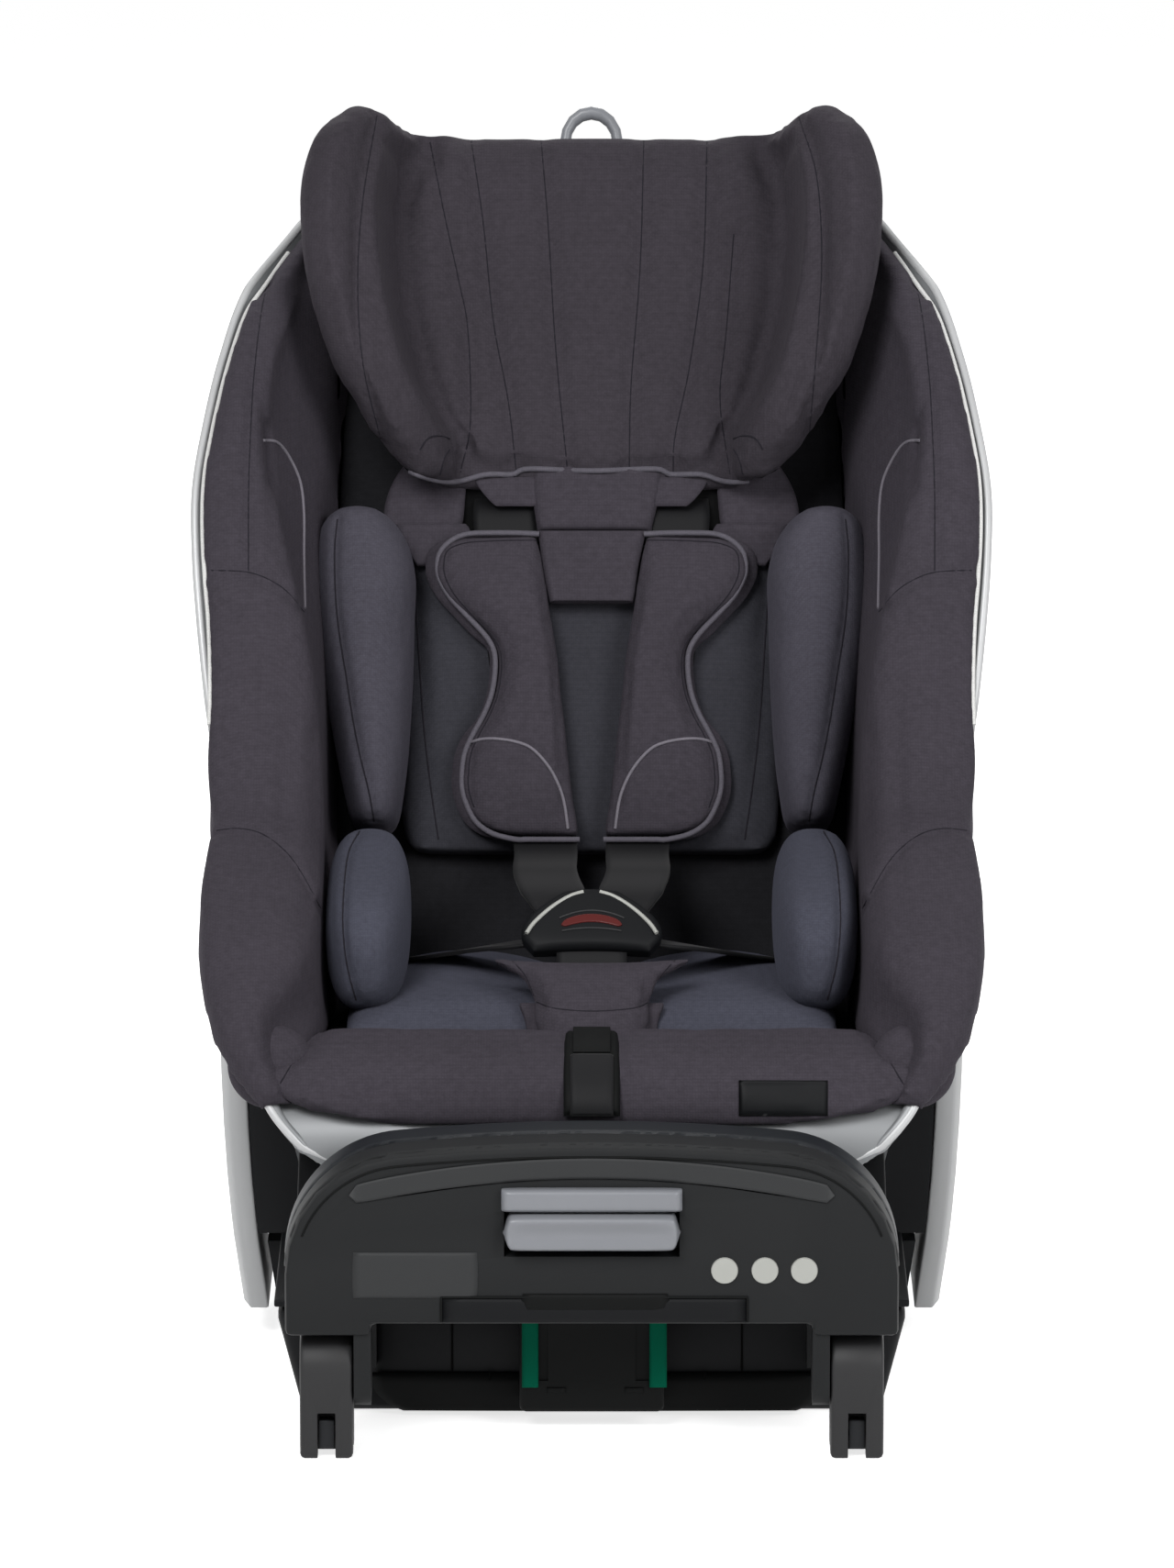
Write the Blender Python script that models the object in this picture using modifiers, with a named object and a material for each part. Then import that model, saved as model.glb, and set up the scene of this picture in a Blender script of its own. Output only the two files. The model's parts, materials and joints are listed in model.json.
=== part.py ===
"""Rear-facing child car seat on its base: a bucket shell with padding, a height-adjustable headrest,
a five-point harness, a cradle base with a front rebound bar, folding anchor connectors and a
folding support leg. Units are metres. +Z is up, the child faces -Y, and the seat is symmetric about X = 0.
The origin is on the floor below the middle of the object."""

import math

import bmesh
import bpy
from mathutils import Matrix, Vector

# Clearances
GAP = 0.0003
SOFT_GAP = 0.001
RUN_GAP = 0.0006
OVERRUN = 0.02

# Seat bucket, side view: nose, seat pan, corner and back, along the inner face of the shell
PAN_FRONT_Y = -0.178
PAN_FRONT_Z = 0.176
NOSE_DROP = 0.020
NOSE_RADIUS = 0.030
PAN_LENGTH = 0.198
PAN_SLOPE = math.radians(-6)
CORNER_RADIUS = 0.070
BACK_LENGTH = 0.445
BACK_ANGLE = math.radians(66)
HEADREST_BOTTOM = BACK_LENGTH - 0.193

# Seat shell
SHELL_HALF_WIDTH = 0.2195
SHELL_WALL = 0.004
WALL_DEPTH = 0.200
SHELL_CORNER = 0.022

# Padding of the cover
PAD_HALF_WIDTH = SHELL_HALF_WIDTH - 0.0815
PAD_FOOT = 0.024
PAD_SIDE_GAP = 0.0045
PAD_EDGE_LIFT = 0.002
BOLSTER_GAP = 0.0019
SEAT_PAD_THICKNESS = 0.016
BACK_PAD_THICKNESS = 0.0125
CARRIER_THICKNESS = 0.005
ROLL_HEIGHT = 0.012
RIM_REVEAL = 0.006
FRONT_ROLL_HALF_WIDTH = PAD_HALF_WIDTH + 0.030
FRONT_ROLL_THICKNESS = 0.026
BOLSTER_NOSE = 0.014

# Baby insert
INSERT_BACK_HALF_WIDTH = PAD_HALF_WIDTH - 0.052
INSERT_BACK_LENGTH = HEADREST_BOTTOM - 0.067
INSERT_BACK_START = 0.035
INSERT_BACK_THICKNESS = 0.021
INSERT_SEAT_HALF_WIDTH = PAD_HALF_WIDTH - 0.003
INSERT_SEAT_THICKNESS = 0.013
WING_HALF_THICKNESS = 0.029
WING_HALF_LENGTH = HEADREST_BOTTOM * 0.3492
WING_HALF_DEPTH = 0.040
WING_X = SHELL_HALF_WIDTH - 0.099
WING_UP = HEADREST_BOTTOM * 0.5437
HIP_HALF_THICKNESS = 0.025
HIP_HALF_LENGTH = 0.084
HIP_HALF_HEIGHT = 0.040
HIP_TILT = math.radians(13)
HIP_X = SHELL_HALF_WIDTH - 0.098
HIP_Y = -0.064

# Headrest
HEADREST_LENGTH = 0.1975
HEADREST_HALF_WIDTH = SHELL_HALF_WIDTH - 0.058
HEADREST_DEPTH = 0.142
HEADREST_BACK_THICKNESS = 0.026
HEADREST_WALL = 0.003
WING_PAD_THICKNESS = 0.033
PAD_OVERHANG = 0.003
CARRIER_HALF_WIDTH = 0.080
CARRIER_BOTTOM = 0.130
BRACKET_HALF_WIDTH = 0.060
BRACKET_HEIGHT = 0.018
LOOP_HALF_WIDTH = 0.0135
LOOP_WIRE_RADIUS = 0.0030
LOOP_RISE = 0.016

# Shoulder pads and webbing
SHOULDER_PAD_BOTTOM = 0.046
SHOULDER_PAD_LENGTH = HEADREST_BOTTOM - 0.080
SHOULDER_PAD_WIDTH = WING_X - 0.0385
SHOULDER_PAD_THICKNESS = 0.010
SHOULDER_PAD_INNER_X = 0.004
BELT_WIDTH = 0.032
BELT_THICKNESS = 0.002
BELT_SLOT_X = SHOULDER_PAD_INNER_X + SHOULDER_PAD_WIDTH * 0.5366
TONGUE_X = 0.020
HIP_BELT_WIDTH = 0.025
CROTCH_STRAP_WIDTH = 0.038

# Buckle and crotch pad
BUCKLE_Y = -0.098
BUCKLE_Z = 0.245
BUCKLE_TILT = math.radians(-48)
BUCKLE_HALF_WIDTH = 0.036
BUCKLE_HALF_HEIGHT = 0.017
BUCKLE_THICKNESS = 0.016
BUTTON_HALF_WIDTH = 0.013
BUTTON_HALF_HEIGHT = 0.0065
BUTTON_PROUD = 0.0025
BUTTON_TRAVEL = 0.003
STRAP_Y = -0.125
STRAP_SLOT_FRONT = 0.005
STRAP_SLOT_REAR = 0.013
TONGUE_THICKNESS = 0.003
TONGUE_LENGTH = 0.012
TONGUE_WIDTH = 0.016
HIP_BELT_MID_X = HIP_X - 0.0555
HIP_BELT_END_X = HIP_X - 0.0475
HIP_BELT_LIFT = 0.055
CROTCH_PAD_HALF_WIDTH = 0.057
CROTCH_PAD_LENGTH = 0.072
CROTCH_PAD_THICKNESS = 0.031
CROTCH_PAD_REAR = 0.012

# Harness adjuster on the front lip
ADJUSTER_WIDTH = 0.030
ADJUSTER_THICKNESS = 0.004
ADJUSTER_LENGTH = 0.060
ADJUSTER_LEVER_LENGTH = 0.018
ADJUSTER_STRAP_WIDTH = 0.023
ADJUSTER_STRAP_LENGTH = 0.022

# Rear panel of the seat
BACK_PANEL_HALF_WIDTH = 0.112
BACK_PANEL_DEPTH = 0.044
BACK_PANEL_BOTTOM = 0.030
BACK_PANEL_TOP = BACK_LENGTH - 0.020
BACK_PANEL_WALL = 0.003

# Recline axis, cradle skirts and rack
PIVOT_Y = 0.0
PIVOT_Z = 0.232
PIVOT_PIN_RADIUS = 0.007
SKIRT_RADIUS = 0.152
SKIRT_THICKNESS = 0.005
SKIRT_TOP_X = SHELL_HALF_WIDTH - 0.0435
SKIRT_LEAN = 0.16
SKIRT_ANGLE = math.radians(66)
SKIRT_TOP_HALF_LENGTH = 0.100
SKIRT_STEPS = 24
RACK_RADIUS = 0.140
RACK_THICKNESS = 0.016
RACK_TOOTH_PITCH = 0.012
RACK_TOOTH_DEPTH = 0.004
RACK_FRONT_TEETH = 5
RACK_REAR_TEETH = 4
RACK_TOP_SHARES = (0.6, 1.0)
PAWL_HALF_WIDTH = 0.007
PAWL_HALF_LENGTH = 0.009
PAWL_HEIGHT = 0.026
SADDLE_CLEARANCE = 0.0015

# Side arms
ARM_THICKNESS = 0.014
ARM_INNER_X = SHELL_HALF_WIDTH - 0.0335
ARM_HEAD_RADIUS = 0.021
ARM_FOOT_LENGTH = 0.105
ARM_FOOT_Z = 0.018
ARM_WAIST = 0.056
ARM_TUCK = 0.017
ARM_SEAT_TOP_Z = 0.054
ARM_SEAT_HALF_LENGTH = 0.040
ARM_UP_SHARES = (0.28, 0.38, 0.5, 0.62, 0.75, 0.88, 1.0)

# Base
BASE_HALF_WIDTH = ARM_INNER_X - 0.016
BASE_FLOOR_HALF_WIDTH = BASE_HALF_WIDTH - 0.015
BASE_FRONT_Y = -0.200
BASE_REAR_Y = 0.235
TRAY_HEIGHT = 0.058
TRAY_WALL = 0.004
TOP_HALF_WIDTH = BASE_HALF_WIDTH - 0.012
TOP_HEIGHT = 0.128
TOP_WALL = 0.004
TOP_STEP = 0.012
TOP_SLOPE_LENGTH = 0.050
TOP_FRONT_HEIGHT = 0.105
SADDLE_STEPS = 24
TRAY_EDGE_ROUND = 0.008
RAIL_X = BASE_FLOOR_HALF_WIDTH - 0.030
RAIL_WIDTH = 0.020
RAIL_LENGTH = 0.330
CHANNEL_HALF_WIDTH = 0.030
CHANNEL_HEIGHT = 0.047
SPINE_WALL = 0.006

# Front rebound bar
BAR_FRONT_Y = -0.300
BAR_DEPTH = 0.060
BAR_HALF_WIDTH = 0.1615
BAR_TOP_Z = 0.171
BAR_CROWN_DROP = 0.0125
BAR_CROWN_SHARE = 0.64
BAR_BOTTOM_Z = 0.075
BAR_LEG_BOTTOM_Z = 0.0685
BAR_WALL = 0.004
BAR_EDGE_ROUND = 0.005
BAR_CROWN_STEPS = 6
GRIP_HALF_LENGTH = 0.122
GRIP_HEIGHT = 0.011
GRIP_RISE = 0.015
GRIP_DEPTH = 0.0025
GRIP_TOP_Z = BAR_TOP_Z - BAR_EDGE_ROUND - 2 * GAP
LUG_DEPTH = 0.020
LUG_HEIGHT = 0.025

# Recline handle in the bar
HANDLE_HALF_WIDTH = 0.0455
HANDLE_TOP_Z = 0.136
HANDLE_HEIGHT = 0.0195
HANDLE_LENGTH = 0.030
HANDLE_PROUD = 0.012
HANDLE_WALL = 0.003
FINGER_ROOM = 0.0045
BEZEL_TOP_Z = 0.1495
BEZEL_THICKNESS = 0.006
POCKET_DEPTH = 0.020

# Anchor connectors that fold out of the bar's legs
ANCHOR_SPACING = 0.280
CONNECTOR_WIDTH = 0.028
CONNECTOR_DEPTH = 0.039
CONNECTOR_LENGTH = 0.0665
CONNECTOR_PIVOT_Y = -0.2775
CONNECTOR_BOTTOM_Z = 0
CONNECTOR_PIN_RADIUS = 0.004
JAW_WIDTH = 0.008
JAW_DEPTH = 0.020
HOOK_THICKNESS = 0.008
HOOK_HEAD_RADIUS = 0.004
HOOK_PIN_RADIUS = 0.0018
HOOK_TIP = 0.004
CONNECTOR_EDGE_ROUND = 0.0025
HOOK_POCKET_CLEARANCE = 0.0007
RELEASE_HEIGHT = 0.012
RELEASE_WIDTH = 0.014
RELEASE_PROUD = 0.001
RELEASE_THICKNESS = 0.004
RELEASE_TRAVEL = 0.002
EAR_THICKNESS = 0.009

# Support leg folded under the base
LEG_HINGE_Y = 0.205
LEG_HINGE_Z = 0.026
LEG_PIN_RADIUS = 0.005
LEG_HALF_WIDTH = 0.024
LEG_HEIGHT = 0.030
LEG_OUTER_LENGTH = 0.250
LEG_WALL = 0.0025
LEG_INNER_GAP = 0.0008
FOOT_HALF_WIDTH = 0.0385
FOOT_HEIGHT = 0.056
FOOT_DEPTH = 0.036
FOOT_BOTTOM_Z = 0.010
FOOT_BACK_Y = -0.2020
INDICATOR_WIDTH = 0.0115
INDICATOR_PROUD = 0.0012
LEG_BUTTON_LENGTH = 0.020
LEG_BUTTON_HALF_WIDTH = 0.007
LEG_BUTTON_PROUD = 0.0025
LEG_BUTTON_THICKNESS = 0.005
LEG_BUTTON_TRAVEL = 0.002
COLLAR_DEPTH = 0.005
COLLAR_LENGTH = 0.034
LEG_INNER_LENGTH = 0.365
FOOT_SOCKET = 0.010
FOOT_EDGE_ROUND = 0.0035
INDICATOR_LENGTH = 0.034

# Station tables: one row for each place along the bucket.
# Rim offset from the spine as shares of WALL_DEPTH, half widths as shares of SHELL_HALF_WIDTH
RIM_FORWARD_SHARES = (0, 0, -0.02, -0.085, -0.181, -0.2755, -0.3945, -0.456, -0.491,
                      -0.5095, -0.542, -0.564, -0.551, -0.5085, -0.4205, -0.295, -0.156)
RIM_UP_SHARES = (0.03, 0.03, 0.06, 0.155, 0.346, 0.522, 0.6835, 0.7785, 0.778,
                 0.714, 0.6145, 0.515, 0.411, 0.2865, 0.162, 0.0785, 0.0155)
BOTTOM_WIDTH_SHARES = (0.533, 0.677, 0.767, 0.745, 0.736, 0.736, 0.736, 0.736, 0.731,
                       0.722, 0.713, 0.709, 0.700, 0.686, 0.659, 0.619, 0.533)
RIM_WIDTH_SHARES = (0.542, 0.700, 0.826, 0.891, 0.913, 0.910, 0.893, 0.922, 0.948,
                    0.968, 0.982, 0.984, 0.957, 0.921, 0.865, 0.738, 0.609)
FLARE_POWERS = (1, 1, 2, 4, 4, 4, 4, 4, 4, 3.5, 3, 2.5, 2.2, 2, 2, 1.5, 1.2)
BOLSTER_MID_SHARES = (0.690, 0.682, 0.679, 0.679, 0.682, 0.690, 0.704, 0.713, 0.722, 0.718, 0.709, 0.682,
                      0.640)
BOLSTER_RIM_SHARES = (0.722, 0.700, 0.684, 0.684, 0.688, 0.698, 0.722, 0.762, 0.799, 0.813, 0.795, 0.745,
                      0.677)
WALL_UP_SHARES = (0.6, 0.78, 0.9, 1.0)
PAN_STATION_SHARES = (0.25, 0.6, 1.0)
BACK_STATION_SHARES = (0.12, 0.255, 0.39, 0.525, 0.66, 0.795, 0.905, 1.0)
FIRST_BOLSTER_STATION = 3
ROWS_PER_STATION = 2

# Front roll: place along it, half width and thickness, as shares
ROLL_PLACE_SHARES = (0.0, 0.05, 0.12, 0.19, 0.27, 0.36, 0.46, 0.56, 0.66, 0.77, 0.88, 0.96, 1.0)
ROLL_WIDTH_SHARES = (0.93, 0.965, 0.985, 0.98, 0.90, 0.83, 0.815, 0.815, 0.815, 0.815, 0.815, 0.81, 0.80)
ROLL_THICKNESS_SHARES = (0.16, 0.34, 0.46, 0.51, 0.54, 0.58, 0.64, 0.72, 0.81, 0.92, 1.0, 0.98, 0.88)

# Crotch pad: place from its rear end, half width and height, as shares
CROTCH_UP_SHARES = (0.0, 0.12, 0.28, 0.44, 0.74, 0.93, 1.0)
CROTCH_WIDTH_SHARES = (0.62, 0.76, 0.90, 0.97, 1.0, 0.98, 0.90)
CROTCH_HEIGHT_SHARES = (0.34, 0.40, 0.82, 1.06, 0.92, 0.72, 0.46)

# Headrest outline: place up the headrest, half width and depth, as shares
HEADREST_UP_SHARES = (0.0, 0.10, 0.28, 0.5, 0.72, 0.9, 1.0)
HEADREST_WIDTH_SHARES = (0.66, 0.77, 0.90, 0.98, 1.0, 0.96, 0.87)
HEADREST_DEPTH_SHARES = (0.58, 0.74, 0.90, 0.98, 1.0, 0.92, 0.78)

NOSE_ARC = NOSE_RADIUS * (math.pi / 2 - PAN_SLOPE)
CORNER_ARC = CORNER_RADIUS * (BACK_ANGLE - PAN_SLOPE)
S_NOSE = NOSE_DROP + NOSE_ARC
S_PAN = S_NOSE + PAN_LENGTH
S_CORNER = S_PAN + CORNER_ARC
S_TOP = S_CORNER + BACK_LENGTH
STATIONS = ([0, NOSE_DROP, NOSE_DROP + NOSE_ARC / 2, S_NOSE]
            + [S_NOSE + PAN_LENGTH * share for share in PAN_STATION_SHARES]
            + [S_PAN + CORNER_ARC / 2, S_CORNER]
            + [S_CORNER + BACK_LENGTH * share for share in BACK_STATION_SHARES])


def clear_scene():
    for obj in list(bpy.data.objects):
        bpy.data.objects.remove(obj)


def make_collections():
    made = []
    for name in ("Child car seat", "Cutters"):
        collection = bpy.data.collections.new(name)
        bpy.context.scene.collection.children.link(collection)
        made.append(collection)
    return made


def make_material(name, colour, roughness, metallic=0.0):
    material = bpy.data.materials.new(name)
    material.use_nodes = True
    shader = material.node_tree.nodes["Principled BSDF"]
    shader.inputs["Base Color"].default_value = (*colour, 1.0)
    shader.inputs["Roughness"].default_value = roughness
    shader.inputs["Metallic"].default_value = metallic
    return material


clear_scene()
PARTS, CUTTERS = make_collections()
COVER_FABRIC = make_material("cover_fabric", (0.060, 0.055, 0.062), 0.9)
INSERT_FABRIC = make_material("insert_fabric", (0.075, 0.080, 0.105), 0.85)
WEBBING = make_material("webbing", (0.012, 0.012, 0.014), 0.7)
SILVER_PLASTIC = make_material("silver_plastic", (0.55, 0.56, 0.57), 0.35)
BLACK_PLASTIC = make_material("black_plastic", (0.022, 0.023, 0.025), 0.45)
GREY_PLASTIC = make_material("grey_plastic", (0.060, 0.060, 0.062), 0.5)
HANDLE_PLASTIC = make_material("handle_plastic", (0.36, 0.38, 0.40), 0.35)
GREEN_PLASTIC = make_material("green_plastic", (0.0, 0.16, 0.09), 0.5)
RED_PLASTIC = make_material("red_plastic", (0.25, 0.02, 0.015), 0.5)
STEEL = make_material("steel", (0.45, 0.46, 0.48), 0.3, 1.0)


def body_empty(name, location):
    """An empty on a joint's axis, which carries the pieces that move with it."""
    empty = bpy.data.objects.new(name, None)
    empty.location = location
    PARTS.objects.link(empty)
    bpy.context.view_layer.update()
    return empty


def add_object(name, mesh, material, parent=None):
    obj = bpy.data.objects.new(name, mesh)
    if material is not None:
        obj.data.materials.clear()
        obj.data.materials.append(own_material(material, name))
    PARTS.objects.link(obj)
    if parent is not None:
        obj.parent = parent
        obj.matrix_parent_inverse = parent.matrix_world.inverted()
    return obj


def own_material(material, name):
    """A copy of the material for one object, so each can be changed alone."""
    copied = material.copy()
    copied.name = name
    return copied


def finish_mesh(bm, name):
    mesh = bpy.data.meshes.new(name)
    bm.normal_update()
    bmesh.ops.recalc_face_normals(bm, faces=bm.faces)
    bm.to_mesh(mesh)
    bm.free()
    return mesh


def as_cutter(obj):
    PARTS.objects.unlink(obj)
    CUTTERS.objects.link(obj)
    obj.hide_render = True
    obj.display_type = "WIRE"
    return obj


def cut(obj, *cutters):
    for cutter in cutters:
        modifier = obj.modifiers.new("Cut", "BOOLEAN")
        modifier.operation = "DIFFERENCE"
        modifier.object = cutter
    return obj


def join(obj, *others):
    """The others become part of obj, and are only helpers after it."""
    for other in others:
        modifier = obj.modifiers.new("Join", "BOOLEAN")
        modifier.operation = "UNION"
        modifier.object = as_cutter(other)
    return obj


def bevel(obj, width, segments=2, angle=math.radians(40)):
    modifier = obj.modifiers.new("Bevel", "BEVEL")
    modifier.width = width
    modifier.segments = segments
    modifier.limit_method = "ANGLE"
    modifier.angle_limit = angle
    return obj


def subdivide(obj, levels=1):
    modifier = obj.modifiers.new("Subdivision", "SUBSURF")
    modifier.levels = levels
    modifier.render_levels = levels
    return obj


def box(name, low, high, material=None, parent=None):
    """A box between two corners."""
    low, high = Vector(low), Vector(high)
    bm = bmesh.new()
    bmesh.ops.create_cube(bm, size=1.0)
    size = high - low
    bmesh.ops.transform(bm, matrix=Matrix.Translation((low + high) / 2) @ Matrix.Diagonal((*size, 1)),
                        verts=bm.verts)
    return add_object(name, finish_mesh(bm, name), material, parent)


def drafted_box(name, low, high, floor_inset, material=None, parent=None):
    """A box whose sides lean in towards its floor."""
    obj = box(name, low, high, material, parent)
    for vertex in obj.data.vertices:
        if vertex.co.z < (low[2] + high[2]) / 2:
            vertex.co.x -= math.copysign(floor_inset, vertex.co.x)
    return obj


def rod(name, centre, radius, length, material=None, parent=None, segments=20):
    """A round bar along X."""
    bm = bmesh.new()
    bmesh.ops.create_cone(bm, cap_ends=True, segments=segments, radius1=radius, radius2=radius, depth=length)
    turn = Matrix.Translation(centre) @ Matrix.Rotation(math.pi / 2, 4, "Y")
    bmesh.ops.transform(bm, matrix=turn, verts=bm.verts)
    obj = add_object(name, finish_mesh(bm, name), material, parent)
    obj.data.shade_smooth()
    obj.data.set_sharp_from_angle(angle=math.radians(40))
    return obj


def rounded_outline(corners, segments=4):
    """Corner points with a radius each become an outline with arcs."""
    points = []
    count = len(corners)
    for i, (x, y, radius) in enumerate(corners):
        here = Vector((x, y))
        before = Vector(corners[i - 1][:2]) - here
        after = Vector(corners[(i + 1) % count][:2]) - here
        if not radius:
            points.append(here)
            continue
        half = before.angle(after) / 2
        reach = radius / math.tan(half)
        start = here + before.normalized() * reach
        end = here + after.normalized() * reach
        centre = here + (before.normalized() + after.normalized()).normalized() * (radius / math.sin(half))
        first, last = start - centre, end - centre
        sweep = first.angle_signed(last)
        for k in range(segments + 1):
            turn = Matrix.Rotation(-sweep * k / segments, 2)
            points.append(centre + turn @ first)
    return points


def plate(name, outline, thickness, place, material=None, parent=None):
    """A flat outline given a thickness. place turns the outline's own X, Y and Z into the object's axes."""
    curve = bpy.data.curves.new(name, "CURVE")
    curve.dimensions = "2D"
    curve.fill_mode = "BOTH"
    curve.extrude = thickness / 2
    spline = curve.splines.new("POLY")
    spline.points.add(len(outline) - 1)
    for point, (x, y) in zip(spline.points, outline):
        point.co = (x, y, 0, 1)
    spline.use_cyclic_u = True
    guide = bpy.data.objects.new(name + "_guide", curve)
    PARTS.objects.link(guide)
    bpy.context.view_layer.update()
    evaluated = guide.evaluated_get(bpy.context.evaluated_depsgraph_get())
    mesh = bpy.data.meshes.new_from_object(evaluated)
    bpy.data.objects.remove(guide)
    mesh.transform(place)
    bm = bmesh.new()
    bm.from_mesh(mesh)
    bpy.data.meshes.remove(mesh)
    bmesh.ops.remove_doubles(bm, verts=bm.verts, dist=GAP / 10)
    bmesh.ops.dissolve_limit(bm, angle_limit=math.radians(1), verts=bm.verts, edges=bm.edges)
    return add_object(name, finish_mesh(bm, name), material, parent)


def across(x):
    """Outline (y, z) at a place across the object; its thickness runs along X."""
    return Matrix(((0, 0, 1, x), (1, 0, 0, 0), (0, 1, 0, 0), (0, 0, 0, 1)))


def facing(y):
    """Outline (x, z) seen from the front; its thickness runs along Y."""
    return Matrix(((1, 0, 0, 0), (0, 0, -1, y), (0, 1, 0, 0), (0, 0, 0, 1)))


def loft(name, rings, material=None, parent=None):
    """Rings of as many points each, joined in turn and closed at both ends."""
    bm = bmesh.new()
    rows = [[bm.verts.new(point) for point in ring] for ring in rings]
    for row, following in zip(rows, rows[1:]):
        count = len(row)
        for i in range(count):
            j = (i + 1) % count
            bm.faces.new((row[i], row[j], following[j], following[i]))
    bm.faces.new(rows[0])
    bm.faces.new(rows[-1])
    return add_object(name, finish_mesh(bm, name), material, parent)


def u_loft(name, rows, material=None, parent=None):
    """A bent wall: each row has an outer and an inner line of as many points, both from tip to tip."""
    bm = bmesh.new()
    made = [[[bm.verts.new(point) for point in line] for line in row] for row in rows]
    for (out_a, in_a), (out_b, in_b) in zip(made, made[1:]):
        for i in range(len(out_a) - 1):
            bm.faces.new((out_a[i], out_a[i + 1], out_b[i + 1], out_b[i]))
            bm.faces.new((in_a[i + 1], in_a[i], in_b[i], in_b[i + 1]))
        for i in (0, -1):
            bm.faces.new((out_a[i], out_b[i], in_b[i], in_a[i]))
    for outer, inner in (made[0], made[-1]):
        for i in range(len(outer) - 1):
            bm.faces.new((outer[i], outer[i + 1], inner[i + 1], inner[i]))
    return add_object(name, finish_mesh(bm, name), material, parent)


def full_width(half):
    """A line from the middle outwards becomes one from the left tip to the right tip."""
    return mirrored(half)[:0:-1] + half


def mirrored(ring):
    return [Vector((-p.x, p.y, p.z)) for p in ring]


def smooth_path(points, steps):
    """A smooth curve through the points, with steps between each two."""
    points = [Vector(p) for p in points]
    ends = [points[0] * 2 - points[1]] + points + [points[-1] * 2 - points[-2]]
    path = []
    for a, b, c, d in zip(ends, ends[1:], ends[2:], ends[3:]):
        for k in range(steps):
            t = k / steps
            path.append(0.5 * ((2 * b) + (c - a) * t + (2 * a - 5 * b + 4 * c - d) * t ** 2
                               + (3 * b - a - 3 * c + d) * t ** 3))
    path.append(points[-1])
    return path


def webbing(name, points, width, thickness, parent, steps=4, material=None):
    """A flat strap along a smooth route, its width across the object."""
    path = smooth_path(points, steps)
    rings = []
    for i, here in enumerate(path):
        along = (path[min(i + 1, len(path) - 1)] - path[max(i - 1, 0)]).normalized()
        flat = Vector((0, -along.z, along.y)).normalized()
        side = along.cross(flat).normalized()
        rings.append([here + side * (width / 2 * a) + flat * (thickness / 2 * b)
                      for a, b in ((-1, -1), (1, -1), (1, 1), (-1, 1))])
    return loft(name, rings, material or WEBBING, parent)


# The bucket's own coordinates

def heading(angle):
    return Vector((math.cos(angle), math.sin(angle)))


def normal(angle):
    return Vector((-math.sin(angle), math.cos(angle)))


def spine(s):
    """Point (y, z) and direction angle at distance s along the shell's inner face."""
    pan_start = Vector((PAN_FRONT_Y, PAN_FRONT_Z))
    nose_centre = pan_start - NOSE_RADIUS * normal(PAN_SLOPE)
    nose_start = nose_centre + NOSE_RADIUS * normal(math.pi / 2)
    pan_end = pan_start + PAN_LENGTH * heading(PAN_SLOPE)
    corner_centre = pan_end + CORNER_RADIUS * normal(PAN_SLOPE)
    corner_end = corner_centre - CORNER_RADIUS * normal(BACK_ANGLE)
    if s <= NOSE_DROP:
        return nose_start + (s - NOSE_DROP) * heading(math.pi / 2), math.pi / 2
    if s <= S_NOSE:
        angle = math.pi / 2 - (s - NOSE_DROP) / NOSE_RADIUS
        return nose_centre + NOSE_RADIUS * normal(angle), angle
    if s <= S_PAN:
        return pan_start + (s - S_NOSE) * heading(PAN_SLOPE), PAN_SLOPE
    if s <= S_CORNER:
        angle = PAN_SLOPE + (s - S_PAN) / CORNER_RADIUS
        return corner_centre - CORNER_RADIUS * normal(angle), angle
    return corner_end + (s - S_CORNER) * heading(BACK_ANGLE), BACK_ANGLE


def on_spine(x, s, lift):
    """A point at half width x, distance s along the spine and lift above the shell's inner face."""
    point, angle = spine(s)
    y, z = point + lift * normal(angle)
    return Vector((x, y, z))


def on_back(x, up, lift):
    """A point on the back: up from the end of the corner, lift in front of the shell's inner face."""
    return on_spine(x, S_CORNER + up, lift)


def smooth_value(values, place):
    """A smooth curve through the values, read at a place counted in values."""
    i = min(int(place), len(values) - 2)
    a, b, c, d = (values[max(min(j, len(values) - 1), 0)] for j in (i - 1, i, i + 1, i + 2))
    t = place - i
    return 0.5 * (2 * b + (c - a) * t + (2 * a - 5 * b + 4 * c - d) * t ** 2
                  + (3 * b - a - 3 * c + d) * t ** 3)


def station_length(place):
    """Distance along the spine of a place counted in stations."""
    i = min(int(place), len(STATIONS) - 2)
    return STATIONS[i] + (STATIONS[i + 1] - STATIONS[i]) * (place - i)


def station_facts(place):
    """Bottom point, direction to the rim, wall depth, half widths and flare at a place."""
    bottom, _ = spine(station_length(place))
    reach = WALL_DEPTH * Vector((smooth_value(RIM_FORWARD_SHARES, place), smooth_value(RIM_UP_SHARES, place)))
    return (bottom, reach.normalized(), reach.length,
            SHELL_HALF_WIDTH * smooth_value(BOTTOM_WIDTH_SHARES, place),
            SHELL_HALF_WIDTH * smooth_value(RIM_WIDTH_SHARES, place), smooth_value(FLARE_POWERS, place))


def in_section(place, x, depth):
    bottom, direction, _, _, _, _ = station_facts(place)
    y, z = bottom + depth * direction
    return Vector((x, y, z))


def wall_profile(place):
    """Half of the shell's inner outline at a place, from the middle to the rim, as (x, depth)."""
    _, _, depth, bottom, rim, power = station_facts(place)
    radius = min(SHELL_CORNER, 0.45 * depth)
    corner = radius * (1 - math.sqrt(0.5))
    points = [(0, 0), (bottom * 0.6, 0), (bottom - radius, 0), (bottom - corner, corner), (bottom, radius)]
    for share in WALL_UP_SHARES:
        points.append((bottom + (rim - bottom) * share ** power, depth * share))
    return points


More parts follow.
